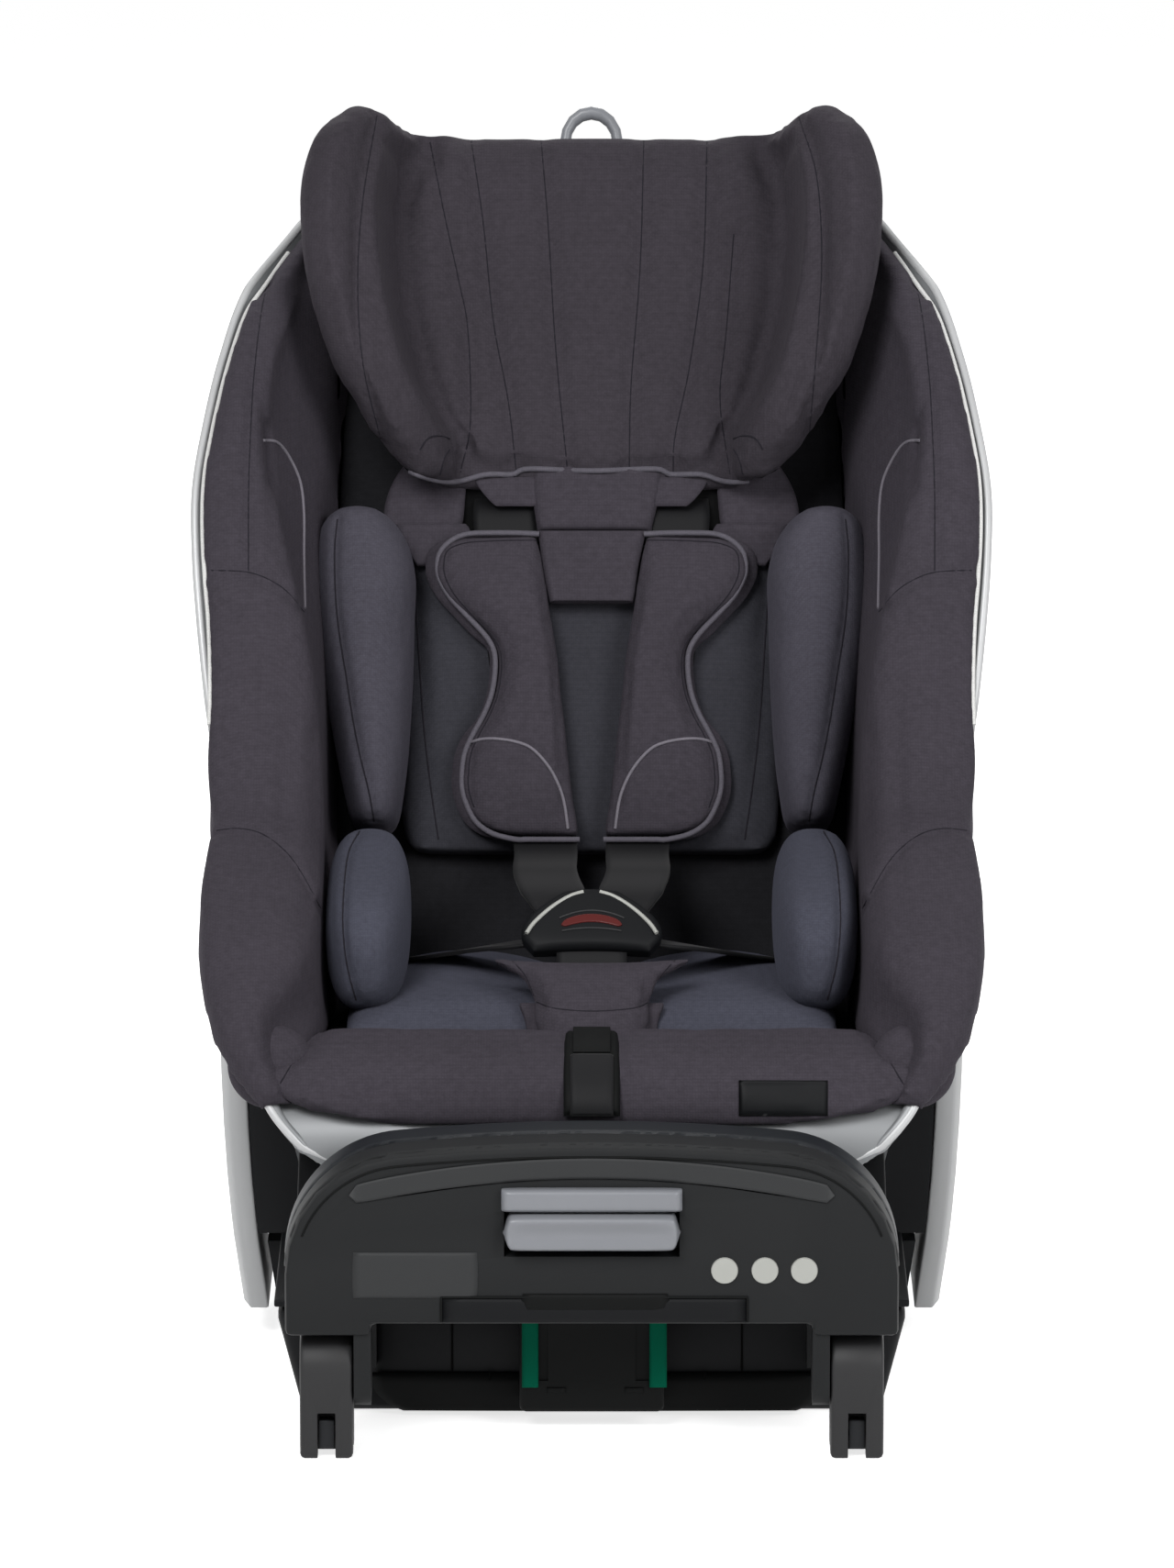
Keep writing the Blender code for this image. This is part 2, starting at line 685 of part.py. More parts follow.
def offset_profile(profile, distance):
    """The same outline moved outwards by a distance."""
    moved = []
    for i, (x, depth) in enumerate(profile):
        before = Vector(profile[max(i - 1, 0)])
        after = Vector(profile[min(i + 1, len(profile) - 1)])
        along = (after - before).normalized()
        moved.append((0 if i == 0 else x + along.y * distance, depth - along.x * distance))
    return moved


def make_shell(parent):
    """The bucket: one moulding whose wall flares out to a rim."""
    rows = []
    for i in range((len(STATIONS) - 1) * ROWS_PER_STATION + 1):
        place = i / ROWS_PER_STATION
        inner = wall_profile(place)
        outer = offset_profile(inner, SHELL_WALL)
        rows.append([full_width([in_section(place, x, d) for x, d in line]) for line in (outer, inner)])
    shell = u_loft("seat_shell", rows, SILVER_PLASTIC, parent)
    join(shell, make_skirt(-1), make_skirt(1))
    return cut(shell, crotch_slot_cutter(), *pivot_cutters())


def crotch_slot_cutter():
    """The slot that the crotch strap passes through, in the shell, the padding and the crotch pad."""
    half = CROTCH_STRAP_WIDTH / 2 + 2 * SOFT_GAP
    obj = bpy.data.objects.get("crotch_slot")
    if obj is None:
        obj = as_cutter(box("crotch_slot", (-half, STRAP_Y - STRAP_SLOT_FRONT, PAN_FRONT_Z - OVERRUN * 3),
                            (half, STRAP_Y + STRAP_SLOT_REAR, PAN_FRONT_Z + OVERRUN * 4)))
    return obj


def make_skirt(side):
    """One of the two cheeks below the bucket that turn in the saddle of the base."""
    start, end = -SKIRT_ANGLE, SKIRT_ANGLE
    outline = []
    for i in range(SKIRT_STEPS + 1):
        angle = start + (end - start) * i / SKIRT_STEPS
        outline.append((PIVOT_Y + SKIRT_RADIUS * math.sin(angle), PIVOT_Z - SKIRT_RADIUS * math.cos(angle)))
    top = PIVOT_Z + PIVOT_PIN_RADIUS
    outline += [(PIVOT_Y + SKIRT_TOP_HALF_LENGTH, top), (PIVOT_Y - SKIRT_TOP_HALF_LENGTH, top)]
    skirt = plate("skirt", outline, SKIRT_THICKNESS, across(side * SKIRT_TOP_X))
    for vertex in skirt.data.vertices:
        vertex.co.x -= side * SKIRT_LEAN * (PIVOT_Z - vertex.co.z)
    return skirt


def pivot_cutters():
    """Round holes in the shell's walls for the pins of the side arms."""
    made = []
    for side in (-1, 1):
        x = side * (ARM_INNER_X - SHELL_WALL)
        made.append(as_cutter(rod("pivot_hole", (x, PIVOT_Y, PIVOT_Z), PIVOT_PIN_RADIUS + RUN_GAP,
                                  OVERRUN * 2)))
    return made


def pad_half(place):
    """Half width of the middle padding at a place."""
    return min(PAD_HALF_WIDTH, SHELL_HALF_WIDTH * smooth_value(BOTTOM_WIDTH_SHARES, place) - PAD_FOOT)


def make_bolster(side, name, parent):
    """The padding of one side wall, rolled over the rim."""
    rings = []
    for i in range((len(BOLSTER_MID_SHARES) - 1) * ROWS_PER_STATION + 1):
        along = i / ROWS_PER_STATION
        place = FIRST_BOLSTER_STATION + along
        _, _, depth, bottom, rim, power = station_facts(place)
        radius = min(SHELL_CORNER, 0.45 * depth)
        corner = radius * (1 - math.sqrt(0.5))
        foot = pad_half(place) + PAD_SIDE_GAP
        middle = SHELL_HALF_WIDTH * smooth_value(BOLSTER_MID_SHARES, along)
        lip = SHELL_HALF_WIDTH * smooth_value(BOLSTER_RIM_SHARES, along)
        gap = BOLSTER_GAP
        edge = rim - RIM_REVEAL
        outline = [(foot, gap), (bottom - radius, gap), (bottom - corner - gap, corner + gap),
                   (bottom - gap, radius)]
        for share in WALL_UP_SHARES[:-1]:
            outline.append((bottom + (rim - bottom) * share ** power - gap, depth * share))
        outline += [(edge - gap, depth), (edge - ROLL_HEIGHT / 3, depth + ROLL_HEIGHT * 0.8),
                    ((edge + lip) / 2, depth + ROLL_HEIGHT * 1.1), (lip + ROLL_HEIGHT / 3,
                                                                    depth + ROLL_HEIGHT * 0.6),
                    (lip, depth * 0.88), (middle, depth * 0.5), ((foot + middle) / 2, depth * 0.22)]
        rings.append([in_section(place, x, d) for x, d in outline])
    first = rings[0]
    middle = sum(first, Vector()) / len(first)
    forward = Vector((0, -BOLSTER_NOSE, -BOLSTER_NOSE / 2))
    rings.insert(0, [middle + (p - middle) * 0.72 + forward for p in first])
    if side < 0:
        rings = [mirrored(ring) for ring in rings]
    return loft(name, rings, COVER_FABRIC, parent)


def pad_rings(s_start, s_end, half_width, low, high, crown, count, taper):
    """Rings of a padded layer along the spine, with drawn-in sides and ends and a crowned face."""
    rings = []
    for i in range(count):
        share = i / (count - 1)
        s = s_start + (s_end - s_start) * share
        swell = 1 - (abs(2 * share - 1)) ** 6 * taper
        width = half_width(s) * (1 - (abs(2 * share - 1)) ** 8 * taper / 3)
        top = low + (high - low) * swell
        middle = top + crown * swell
        ring = [(-width, low + PAD_EDGE_LIFT), (-width * 0.85, low), (0, low), (width * 0.85, low),
                (width, low + PAD_EDGE_LIFT),
                (width, low + (top - low) * 0.75), (width * 0.86, top), (width * 0.45, (top + middle) / 2),
                (0, middle), (-width * 0.45, (top + middle) / 2), (-width * 0.86, top),
                (-width, low + (top - low) * 0.75)]
        rings.append([on_spine(x, s, lift) for x, lift in ring])
    return rings


def width_along(s):
    """Half width of the middle padding at a distance along the spine."""
    for k in range(1, len(STATIONS)):
        if s <= STATIONS[k]:
            return pad_half(k - 1 + (s - STATIONS[k - 1]) / (STATIONS[k] - STATIONS[k - 1]))
    return pad_half(len(STATIONS) - 1)


FRONT_ROLL_START = NOSE_DROP + NOSE_ARC * 0.22
FRONT_ROLL_END = S_NOSE + PAN_LENGTH * 0.14
SEAT_PAD_END = S_PAN + CORNER_ARC * 0.5
BACK_PAD_BOTTOM_LIFT = CARRIER_THICKNESS + 2.5 * SOFT_GAP
BACK_PAD_FACE = BACK_PAD_BOTTOM_LIFT + BACK_PAD_THICKNESS
BACK_PAD_END = S_TOP - BRACKET_HEIGHT - 2 * SOFT_GAP


def roll_top(s):
    """Lift of the front roll's face at a distance along the spine."""
    share = (s - FRONT_ROLL_START) / (FRONT_ROLL_END - FRONT_ROLL_START)
    return SOFT_GAP + FRONT_ROLL_THICKNESS * share_between(ROLL_PLACE_SHARES, ROLL_THICKNESS_SHARES, share)


def share_between(places, values, place):
    """The value at a place, on straight lines between the table's rows."""
    for (a, b), (low, high) in zip(zip(places, places[1:]), zip(values, values[1:])):
        if place <= b:
            return low + (high - low) * max(place - a, 0) / (b - a)
    return values[-1]


def make_front_roll(parent):
    """The padding over the front edge of the seat: thin down the nose, full on top."""
    rings = []
    for share, width_share in zip(ROLL_PLACE_SHARES, ROLL_WIDTH_SHARES):
        s = FRONT_ROLL_START + (FRONT_ROLL_END - FRONT_ROLL_START) * share
        half, low, top = FRONT_ROLL_HALF_WIDTH * width_share, SOFT_GAP, roll_top(s)
        ring = [(-half * 0.93, low + PAD_EDGE_LIFT), (-half * 0.8, low), (half * 0.8, low),
                (half * 0.93, low + PAD_EDGE_LIFT),
                (half, low + (top - low) * 0.6), (half * 0.9, top - (top - low) * 0.06), (half * 0.45, top),
                (-half * 0.45, top), (-half * 0.9, top - (top - low) * 0.06), (-half,
                                                                               low + (top - low) * 0.6)]
        rings.append([on_spine(x, s, lift) for x, lift in ring])
    loft("cover_front_roll", rings, COVER_FABRIC, parent)


def make_cover(parent):
    """The padded cover: front roll, seat, back and both side walls."""
    make_front_roll(parent)
    rings = pad_rings(FRONT_ROLL_END + SOFT_GAP, SEAT_PAD_END, width_along, SOFT_GAP,
                      SOFT_GAP + SEAT_PAD_THICKNESS, 0, 8, 0.1)
    cut(loft("cover_seat_pad", rings, COVER_FABRIC, parent), crotch_slot_cutter())
    rings = pad_rings(SEAT_PAD_END + SOFT_GAP, BACK_PAD_END, width_along, BACK_PAD_BOTTOM_LIFT,
                      BACK_PAD_FACE, 0, 12, 0.25)
    loft("cover_back_pad", rings, COVER_FABRIC, parent)
    make_bolster(-1, "cover_side_left", parent)
    make_bolster(1, "cover_side_right", parent)


def pillow(name, centre, half_x, half_a, half_b, axis_a, axis_b, material, parent, power=0.72):
    """A stuffed wing: a swollen ball drawn out along two axes."""
    bm = bmesh.new()
    bmesh.ops.create_uvsphere(bm, u_segments=16, v_segments=10, radius=1.0)
    for vertex in bm.verts:
        a, b, c = (math.copysign(abs(value) ** power, value) for value in vertex.co)
        vertex.co = centre + Vector((half_x * b, 0, 0)) + axis_a * (half_a * c) + axis_b * (half_b * a)
    return add_object(name, finish_mesh(bm, name), material, parent)


INSERT_BACK_LOW = BACK_PAD_FACE + SOFT_GAP
INSERT_BACK_FACE = INSERT_BACK_LOW + INSERT_BACK_THICKNESS
INSERT_SEAT_LOW = SEAT_PAD_THICKNESS + 2 * SOFT_GAP
INSERT_SEAT_FACE = INSERT_SEAT_LOW + INSERT_SEAT_THICKNESS
HIP_LIFT = math.hypot(HIP_HALF_LENGTH * math.sin(HIP_TILT), HIP_HALF_HEIGHT * math.cos(HIP_TILT))


def make_insert(parent):
    """The baby insert: back cushion with two wings, seat cushion with two hip wings."""
    start = S_CORNER + INSERT_BACK_START
    rings = pad_rings(start, start + INSERT_BACK_LENGTH, lambda s: INSERT_BACK_HALF_WIDTH, INSERT_BACK_LOW,
                      INSERT_BACK_FACE - 3 * SOFT_GAP, 2 * SOFT_GAP, 8, 0.35)
    loft("insert_back", rings, INSERT_FABRIC, parent)
    start = FRONT_ROLL_END + SOFT_GAP
    rings = pad_rings(start, S_PAN, lambda s: INSERT_SEAT_HALF_WIDTH, INSERT_SEAT_LOW,
                      INSERT_SEAT_FACE - SOFT_GAP, 0, 8, 0.4)
    cut(loft("insert_seat", rings, INSERT_FABRIC, parent), crotch_slot_cutter())
    up = Vector((0, *heading(BACK_ANGLE)))
    out = Vector((0, *normal(BACK_ANGLE)))
    lift = BACK_PAD_FACE + SOFT_GAP / 2 + WING_HALF_DEPTH
    along = Vector((0, *heading(PAN_SLOPE + HIP_TILT)))
    rise = Vector((0, *normal(PAN_SLOPE + HIP_TILT)))
    for side, word in ((-1, "left"), (1, "right")):
        pillow("insert_wing_" + word, on_back(side * WING_X, WING_UP, lift), WING_HALF_THICKNESS,
               WING_HALF_LENGTH, WING_HALF_DEPTH, up, out, INSERT_FABRIC, parent)
        reach = (HIP_Y - PAN_FRONT_Y) / math.cos(PAN_SLOPE)
        centre = on_spine(side * HIP_X, S_NOSE + reach, INSERT_SEAT_FACE + SOFT_GAP + HIP_LIFT)
        pillow("insert_hip_" + word, centre, HIP_HALF_THICKNESS, HIP_HALF_LENGTH, HIP_HALF_HEIGHT,
               along, rise, INSERT_FABRIC, parent)


def headrest_section(i, inset):
    """Half of the headrest's outline at a row, from the middle of the back to the wing, as (x, lift)."""
    width = HEADREST_HALF_WIDTH * HEADREST_WIDTH_SHARES[i]
    depth = HEADREST_DEPTH * HEADREST_DEPTH_SHARES[i]
    back = BACK_PAD_FACE + 2 * SOFT_GAP
    points = [(0, back), (width * 0.34, back), (width * 0.60, back),
              (width * 0.78, back + (depth - back) * 0.13),
              (width * 0.895, back + (depth - back) * 0.36), (width * 0.965, back + (depth - back) * 0.64)]
    return offset_profile(points, -inset), width, depth


def make_headrest(parent):
    """Carrier on the shell, headrest shell with its bracket over the back pad, and the U-shaped pad."""
    top = HEADREST_BOTTOM + HEADREST_LENGTH
    low, high = RUN_GAP, RUN_GAP + CARRIER_THICKNESS
    corners = rounded_outline([(-CARRIER_HALF_WIDTH, CARRIER_BOTTOM, CARRIER_HALF_WIDTH / 5),
                               (CARRIER_HALF_WIDTH, CARRIER_BOTTOM, CARRIER_HALF_WIDTH / 5),
                               (CARRIER_HALF_WIDTH, top, CARRIER_HALF_WIDTH / 5),
                               (-CARRIER_HALF_WIDTH, top, CARRIER_HALF_WIDTH / 5)])
    plate("headrest_carrier", corners, high - low, back_plane((low + high) / 2), BLACK_PLASTIC, parent)
    shell_rows, pad_rows = [], []
    for i, share in enumerate(HEADREST_UP_SHARES):
        up = HEADREST_BOTTOM + HEADREST_LENGTH * share
        outer, width, depth = headrest_section(i, 0)
        inner, _, _ = headrest_section(i, HEADREST_WALL)
        shell_rows.append([full_width([on_back(x, up, n) for x, n in line]) for line in (outer, inner)])
        hull, _, _ = headrest_section(i, HEADREST_WALL + SOFT_GAP)
        back = hull[0][1]
        hull += [(hull[-1][0], back + (depth - back) * 0.7), (width, back + (depth - back) * 0.77),
                 (width * 0.985, back + (depth - back) * 0.93)]
        face = back + HEADREST_BACK_THICKNESS
        rim = WING_PAD_THICKNESS
        inside = [(0, face), (width * 0.2, face), (width * 0.38, face),
                  (width * 0.55, face + (depth - face) * 0.06),
                  (width - rim * 1.6, back + (depth - back) * 0.26),
                  (width - rim * 1.35, back + (depth - back) * 0.44),
                  (width - rim * 1.2, back + (depth - back) * 0.66),
                  (width - rim * 1.05, back + (depth - back) * 0.9), (width - rim * 0.5, depth + rim * 0.12)]
        beyond = PAD_OVERHANG * (2 * share - 1) if share in (0, 1) else 0
        pad_rows.append([full_width([on_back(x, up + beyond, n) for x, n in line]) for line in (hull,
                                                                                                inside)])
    shell = u_loft("headrest_shell", shell_rows, BLACK_PLASTIC, parent)
    back_plane_lift = BACK_PAD_FACE + 2 * SOFT_GAP + HEADREST_WALL / 2
    bracket_low = high + GAP
    outline = [(-BRACKET_HALF_WIDTH, top - BRACKET_HEIGHT), (BRACKET_HALF_WIDTH, top - BRACKET_HEIGHT),
               (BRACKET_HALF_WIDTH, top - GAP), (-BRACKET_HALF_WIDTH, top - GAP)]
    bracket = plate("headrest_bracket", outline, back_plane_lift - bracket_low,
                    back_plane((bracket_low + back_plane_lift) / 2))
    join(shell, bracket)
    slot_half = LOOP_HALF_WIDTH + LOOP_WIRE_RADIUS + RUN_GAP
    lift = bracket_low + (back_plane_lift - bracket_low) / 2
    slot_low = top - BRACKET_HEIGHT * 0.8
    slot = plate("loop_slot", [(-slot_half, slot_low), (slot_half, slot_low),
                               (slot_half, top + OVERRUN), (-slot_half, top + OVERRUN)],
                 2 * (LOOP_WIRE_RADIUS + RUN_GAP), back_plane(lift))
    cut(shell, as_cutter(slot))
    subdivide(u_loft("headrest_pad", pad_rows, COVER_FABRIC, parent))
    return lift


def back_plane(lift):
    """Outline (x, up the back), at a lift in front of the shell's inner face; thickness along the lift."""
    origin = on_back(0, 0, lift)
    up = Vector((0, *heading(BACK_ANGLE)))
    out = Vector((0, *normal(BACK_ANGLE)))
    return Matrix(((1, 0, 0, 0), (0, up.y, out.y, origin.y), (0, up.z, out.z, origin.z), (0, 0, 0, 1)))


def make_loop(lift, parent):
    """The pull loop that frees the headrest: a bent bar whose legs run down into the bracket."""
    top = HEADREST_BOTTOM + HEADREST_LENGTH
    foot = top - BRACKET_HEIGHT * 0.55
    points = [(-LOOP_HALF_WIDTH, foot), (-LOOP_HALF_WIDTH, top)]
    rise = LOOP_RISE - LOOP_WIRE_RADIUS
    for k in range(1, 8):
        angle = math.pi * (1 - k / 8)
        points.append((LOOP_HALF_WIDTH * math.cos(angle), top + rise * math.sin(angle)))
    points += [(LOOP_HALF_WIDTH, top), (LOOP_HALF_WIDTH, foot)]
    return tube("headrest_handle", [on_back(x, up, lift) for x, up in points], LOOP_WIRE_RADIUS,
                HANDLE_PLASTIC, parent)


def tube(name, points, radius, material, parent):
    """A round bar along points, as a curve with a bevel, made a mesh."""
    curve = bpy.data.curves.new(name, "CURVE")
    curve.dimensions = "3D"
    curve.bevel_depth = radius
    curve.bevel_resolution = 2
    curve.use_fill_caps = True
    spline = curve.splines.new("POLY")
    spline.points.add(len(points) - 1)
    for point, place in zip(spline.points, points):
        point.co = (*place, 1)
    obj = bpy.data.objects.new(name, curve)
    curve.materials.append(own_material(material, name))
    PARTS.objects.link(obj)
    if parent is not None:
        obj.parent = parent
        obj.matrix_parent_inverse = parent.matrix_world.inverted()
    return obj


def along_back(name, rows, thickness, material, parent, levels=1):
    """A flat pad on the back: rows of (up, left edge, right edge, lift), rounded by subdivision."""
    rings = []
    for up, left, right, lift in rows:
        width = right - left
        ring = [(left, lift + thickness * 0.2), (left + width * 0.3, lift), (right - width * 0.3, lift),
                (right, lift + thickness * 0.2), (right, lift + thickness * 0.8),
                (right - width * 0.3, lift + thickness), (left + width * 0.3, lift + thickness),
                (left, lift + thickness * 0.8)]
        rings.append([on_back(x, up, n) for x, n in ring])
    return subdivide(loft(name, rings, material, parent), levels)


BELT_LIFT = INSERT_BACK_FACE + 5 * SOFT_GAP
SHOULDER_PAD_LIFT = BELT_LIFT + BELT_THICKNESS / 2 + SOFT_GAP / 2
PAD_UP_SHARES = (0.0, 0.14, 0.34, 0.56, 0.78, 0.93, 1.0)
PAD_INNER_SHARES = (0.06, 0.0, 0.0, 0.0, 0.0, 0.05, 0.16)
PAD_OUTER_SHARES = (0.80, 0.90, 0.76, 0.62, 0.86, 0.98, 0.96)


def make_shoulder_pads(parent):
    """Two waisted pads round the shoulder belts, which rise with the headrest."""
    for side, word in ((-1, "left"), (1, "right")):
        rows = []
        for up, inner, outer in zip(PAD_UP_SHARES, PAD_INNER_SHARES, PAD_OUTER_SHARES):
            near = side * (SHOULDER_PAD_INNER_X + SHOULDER_PAD_WIDTH * inner)
            far = side * (SHOULDER_PAD_INNER_X + SHOULDER_PAD_WIDTH * outer)
            rows.append((SHOULDER_PAD_BOTTOM + SHOULDER_PAD_LENGTH * up, min(near, far), max(near, far),
                         SHOULDER_PAD_LIFT))
        along_back("shoulder_pad_" + word, rows, SHOULDER_PAD_THICKNESS, INSERT_FABRIC, parent)


def buckle_frame():
    """The buckle's own frame: X across, Y up its face and Z out of its face."""
    return Matrix.Translation((0, BUCKLE_Y, BUCKLE_Z)) @ Matrix.Rotation(BUCKLE_TILT, 4, "X") @ facing(0)


def on_buckle(x, up, out):
    return buckle_frame() @ Vector((x, up, out))


def make_belts(parent):
    """Shoulder and hip belts with their tongues, and the crotch strap with its pad and anchor."""
    top = HEADREST_BOTTOM - 2 * SOFT_GAP
    for side, word in ((-1, "left"), (1, "right")):
        tongue_top = on_buckle(side * TONGUE_X, BUCKLE_HALF_HEIGHT + TONGUE_LENGTH, 0)
        start = on_buckle(side * TONGUE_X, BUCKLE_HALF_HEIGHT + TONGUE_LENGTH + SOFT_GAP, 0)
        step = (start - on_buckle(side * TONGUE_X, 0, 0)).normalized() * BELT_WIDTH / 2
        route = [start, start + step, on_back(side * TONGUE_X, 0, BELT_LIFT + 2 * BELT_WIDTH),
                 on_back(side * TONGUE_X, SHOULDER_PAD_BOTTOM - BELT_WIDTH / 2, BELT_LIFT + BELT_WIDTH / 4),
                 on_back(side * (TONGUE_X + BELT_SLOT_X) / 2, SHOULDER_PAD_BOTTOM + BELT_WIDTH / 4,
                         BELT_LIFT),
                 on_back(side * BELT_SLOT_X, SHOULDER_PAD_BOTTOM + SHOULDER_PAD_LENGTH / 2, BELT_LIFT),
                 on_back(side * BELT_SLOT_X, top - BELT_WIDTH * 0.9, BELT_LIFT - BELT_THICKNESS),
                 on_back(side * BELT_SLOT_X, top - BELT_WIDTH / 3, (BELT_LIFT + BACK_PAD_FACE) / 2),
                 on_back(side * BELT_SLOT_X, top - BELT_WIDTH / 5, BACK_PAD_FACE + BELT_THICKNESS / 3)]
        webbing("shoulder_belt_" + word, route, BELT_WIDTH, BELT_THICKNESS, parent)
        bottom = on_buckle(side * TONGUE_X, BUCKLE_HALF_HEIGHT + GAP, 0)
        half = Vector((TONGUE_WIDTH / 2, 0, 0))
        out = (on_buckle(0, 0, 1) - on_buckle(0, 0, 0)) * TONGUE_THICKNESS / 2
        loft("buckle_tongue_" + word, [[p - half - out, p + half - out, p + half + out, p - half + out]
                                       for p in (bottom, tongue_top)], STEEL, parent)
        start = on_buckle(side * (BUCKLE_HALF_WIDTH + HIP_BELT_WIDTH * 0.45), HIP_BELT_WIDTH / 4, 0)
        route = [start, on_spine(side * HIP_BELT_MID_X, S_PAN - PAN_LENGTH * 0.4, HIP_BELT_LIFT),
                 on_spine(side * HIP_BELT_END_X, S_PAN - PAN_LENGTH * 0.1, HIP_BELT_LIFT * 0.9),
                 on_spine(side * HIP_BELT_END_X, S_PAN + CORNER_ARC * 0.4, HIP_BELT_LIFT * 0.6)]
        webbing("hip_belt_" + word, route, HIP_BELT_WIDTH, BELT_THICKNESS, parent)
    below = spine(S_NOSE + STRAP_Y - PAN_FRONT_Y)[0].y - SHELL_WALL * (1 - 1.4 * math.tan(PAN_SLOPE))
    end = on_buckle(0, -BUCKLE_HALF_HEIGHT - GAP, 0)
    foot = Vector((0, STRAP_Y, PAN_FRONT_Z + INSERT_SEAT_FACE - 2 * SOFT_GAP))
    lead = end + (end - on_buckle(0, 0, 0)).normalized() * CROTCH_PAD_THICKNESS / 2
    webbing("crotch_strap", [end, lead, foot, Vector((0, STRAP_Y, below))], CROTCH_STRAP_WIDTH,
            BELT_THICKNESS, parent, 3)
    wide = CROTCH_STRAP_WIDTH / 2 + 4 * SHELL_WALL
    box("crotch_anchor", (-wide, STRAP_Y - SHELL_WALL, below - GAP - SHELL_WALL),
        (wide, STRAP_Y + SHELL_WALL, below - GAP), STEEL, parent)
    make_crotch_pad(parent)


def make_crotch_pad(parent):
    """The padded sleeve on the crotch strap."""
    rear = STRAP_Y + STRAP_SLOT_REAR + CROTCH_PAD_REAR
    rings = []
    for share, width_share, height_share in zip(CROTCH_UP_SHARES, CROTCH_WIDTH_SHARES, CROTCH_HEIGHT_SHARES):
        y = rear - CROTCH_PAD_LENGTH * share
        s = S_NOSE + (y - PAN_FRONT_Y) / math.cos(PAN_SLOPE)
        half = CROTCH_PAD_HALF_WIDTH * width_share
        low = INSERT_SEAT_FACE + SOFT_GAP
        top = low + CROTCH_PAD_THICKNESS * height_share
        middle = (low + top) / 2
        ring = [(-half, middle), (-half * 0.8, low), (0, low), (half * 0.8, low), (half, middle),
                (half * 0.8, top - (top - low) * 0.1), (0, top), (-half * 0.8, top - (top - low) * 0.1)]
        rings.append([on_spine(x, s, lift) for x, lift in ring])
    return cut(subdivide(loft("crotch_pad", rings, COVER_FABRIC, parent)), crotch_slot_cutter())


def make_buckle(parent):
    """The harness buckle: a rounded body, with a pocket for its red release button."""
    half, height = BUCKLE_HALF_WIDTH, BUCKLE_HALF_HEIGHT
    outline = rounded_outline([(-half * 0.72, -height, height * 0.4), (half * 0.72, -height, height * 0.4),
                               (half, height * 0.2, height * 0.4), (half * 0.8, height, height * 0.3),
                               (-half * 0.8, height, height * 0.3), (-half, height * 0.2, height * 0.4)])
    body = plate("buckle_body", outline, BUCKLE_THICKNESS, buckle_frame(), BLACK_PLASTIC, parent)
    bevel(body, BUCKLE_THICKNESS / 6)
    centre = -height * 0.3
    low, high = centre - BUTTON_HALF_HEIGHT, centre + BUTTON_HALF_HEIGHT
    face = BUCKLE_THICKNESS / 2
    floor = face - BUTTON_TRAVEL - 2 * BUTTON_PROUD
    pocket = box("button_pocket", (-BUTTON_HALF_WIDTH - GAP, low - GAP, floor),
                 (BUTTON_HALF_WIDTH + GAP, high + GAP, face + OVERRUN))
    pocket.data.transform(buckle_frame())
    cut(body, as_cutter(pocket))
    press = hang(body_empty("buckle_button_axis", on_buckle(0, centre, face)), parent)
    button = box("buckle_button", (-BUTTON_HALF_WIDTH, low, floor + BUTTON_TRAVEL + GAP),
                 (BUTTON_HALF_WIDTH, high, face + BUTTON_PROUD), RED_PLASTIC)
    button.data.transform(buckle_frame())
    bevel(button, BUTTON_PROUD / 3)
    hang(button, press)


def hang(obj, empty):
    """Parent an object to an empty and keep it where it is."""
    obj.parent = empty
    obj.matrix_parent_inverse = empty.matrix_world.inverted()
    bpy.context.view_layer.update()
    return obj


def strip_on_roll(name, x_half, s_start, s_end, gap, thickness, material, parent, steps=6):
    """A strip that follows the front roll, with a gap above its face."""
    rings = []
    for i in range(steps + 1):
        s = s_start + (s_end - s_start) * i / steps
        low = roll_top(s) + gap
        rings.append([on_spine(x, s, n) for x, n in ((-x_half, low), (x_half, low), (x_half, low + thickness),
                                                     (-x_half, low + thickness))])
    return loft(name, rings, material, parent)


def make_adjuster(parent):
    """The harness adjuster on the front lip: bezel, lift-up lever and the free end of its strap."""
    start = FRONT_ROLL_END - ADJUSTER_LENGTH
    strip_on_roll("adjuster_bezel", ADJUSTER_WIDTH / 2, start, FRONT_ROLL_END - SOFT_GAP, SOFT_GAP,
                  ADJUSTER_THICKNESS, BLACK_PLASTIC, parent, 24)
    gap = SOFT_GAP + ADJUSTER_THICKNESS + RUN_GAP
    lever_end = FRONT_ROLL_END - ADJUSTER_LEVER_LENGTH * 1.2
    axis = on_spine(0, lever_end, roll_top(lever_end) + gap + ADJUSTER_THICKNESS / 4)
    turn = hang(body_empty("adjuster_lever_axis", axis), parent)
    strip_on_roll("adjuster_lever", ADJUSTER_WIDTH / 3, lever_end - ADJUSTER_LEVER_LENGTH, lever_end, gap,
                  ADJUSTER_THICKNESS / 2, GREY_PLASTIC, turn, 6)
    strap_end = lever_end - ADJUSTER_LEVER_LENGTH - SOFT_GAP
    strip_on_roll("adjuster_strap", ADJUSTER_STRAP_WIDTH / 2, strap_end - ADJUSTER_STRAP_LENGTH, strap_end,
                  gap,
                  BELT_THICKNESS, WEBBING, parent, 10)


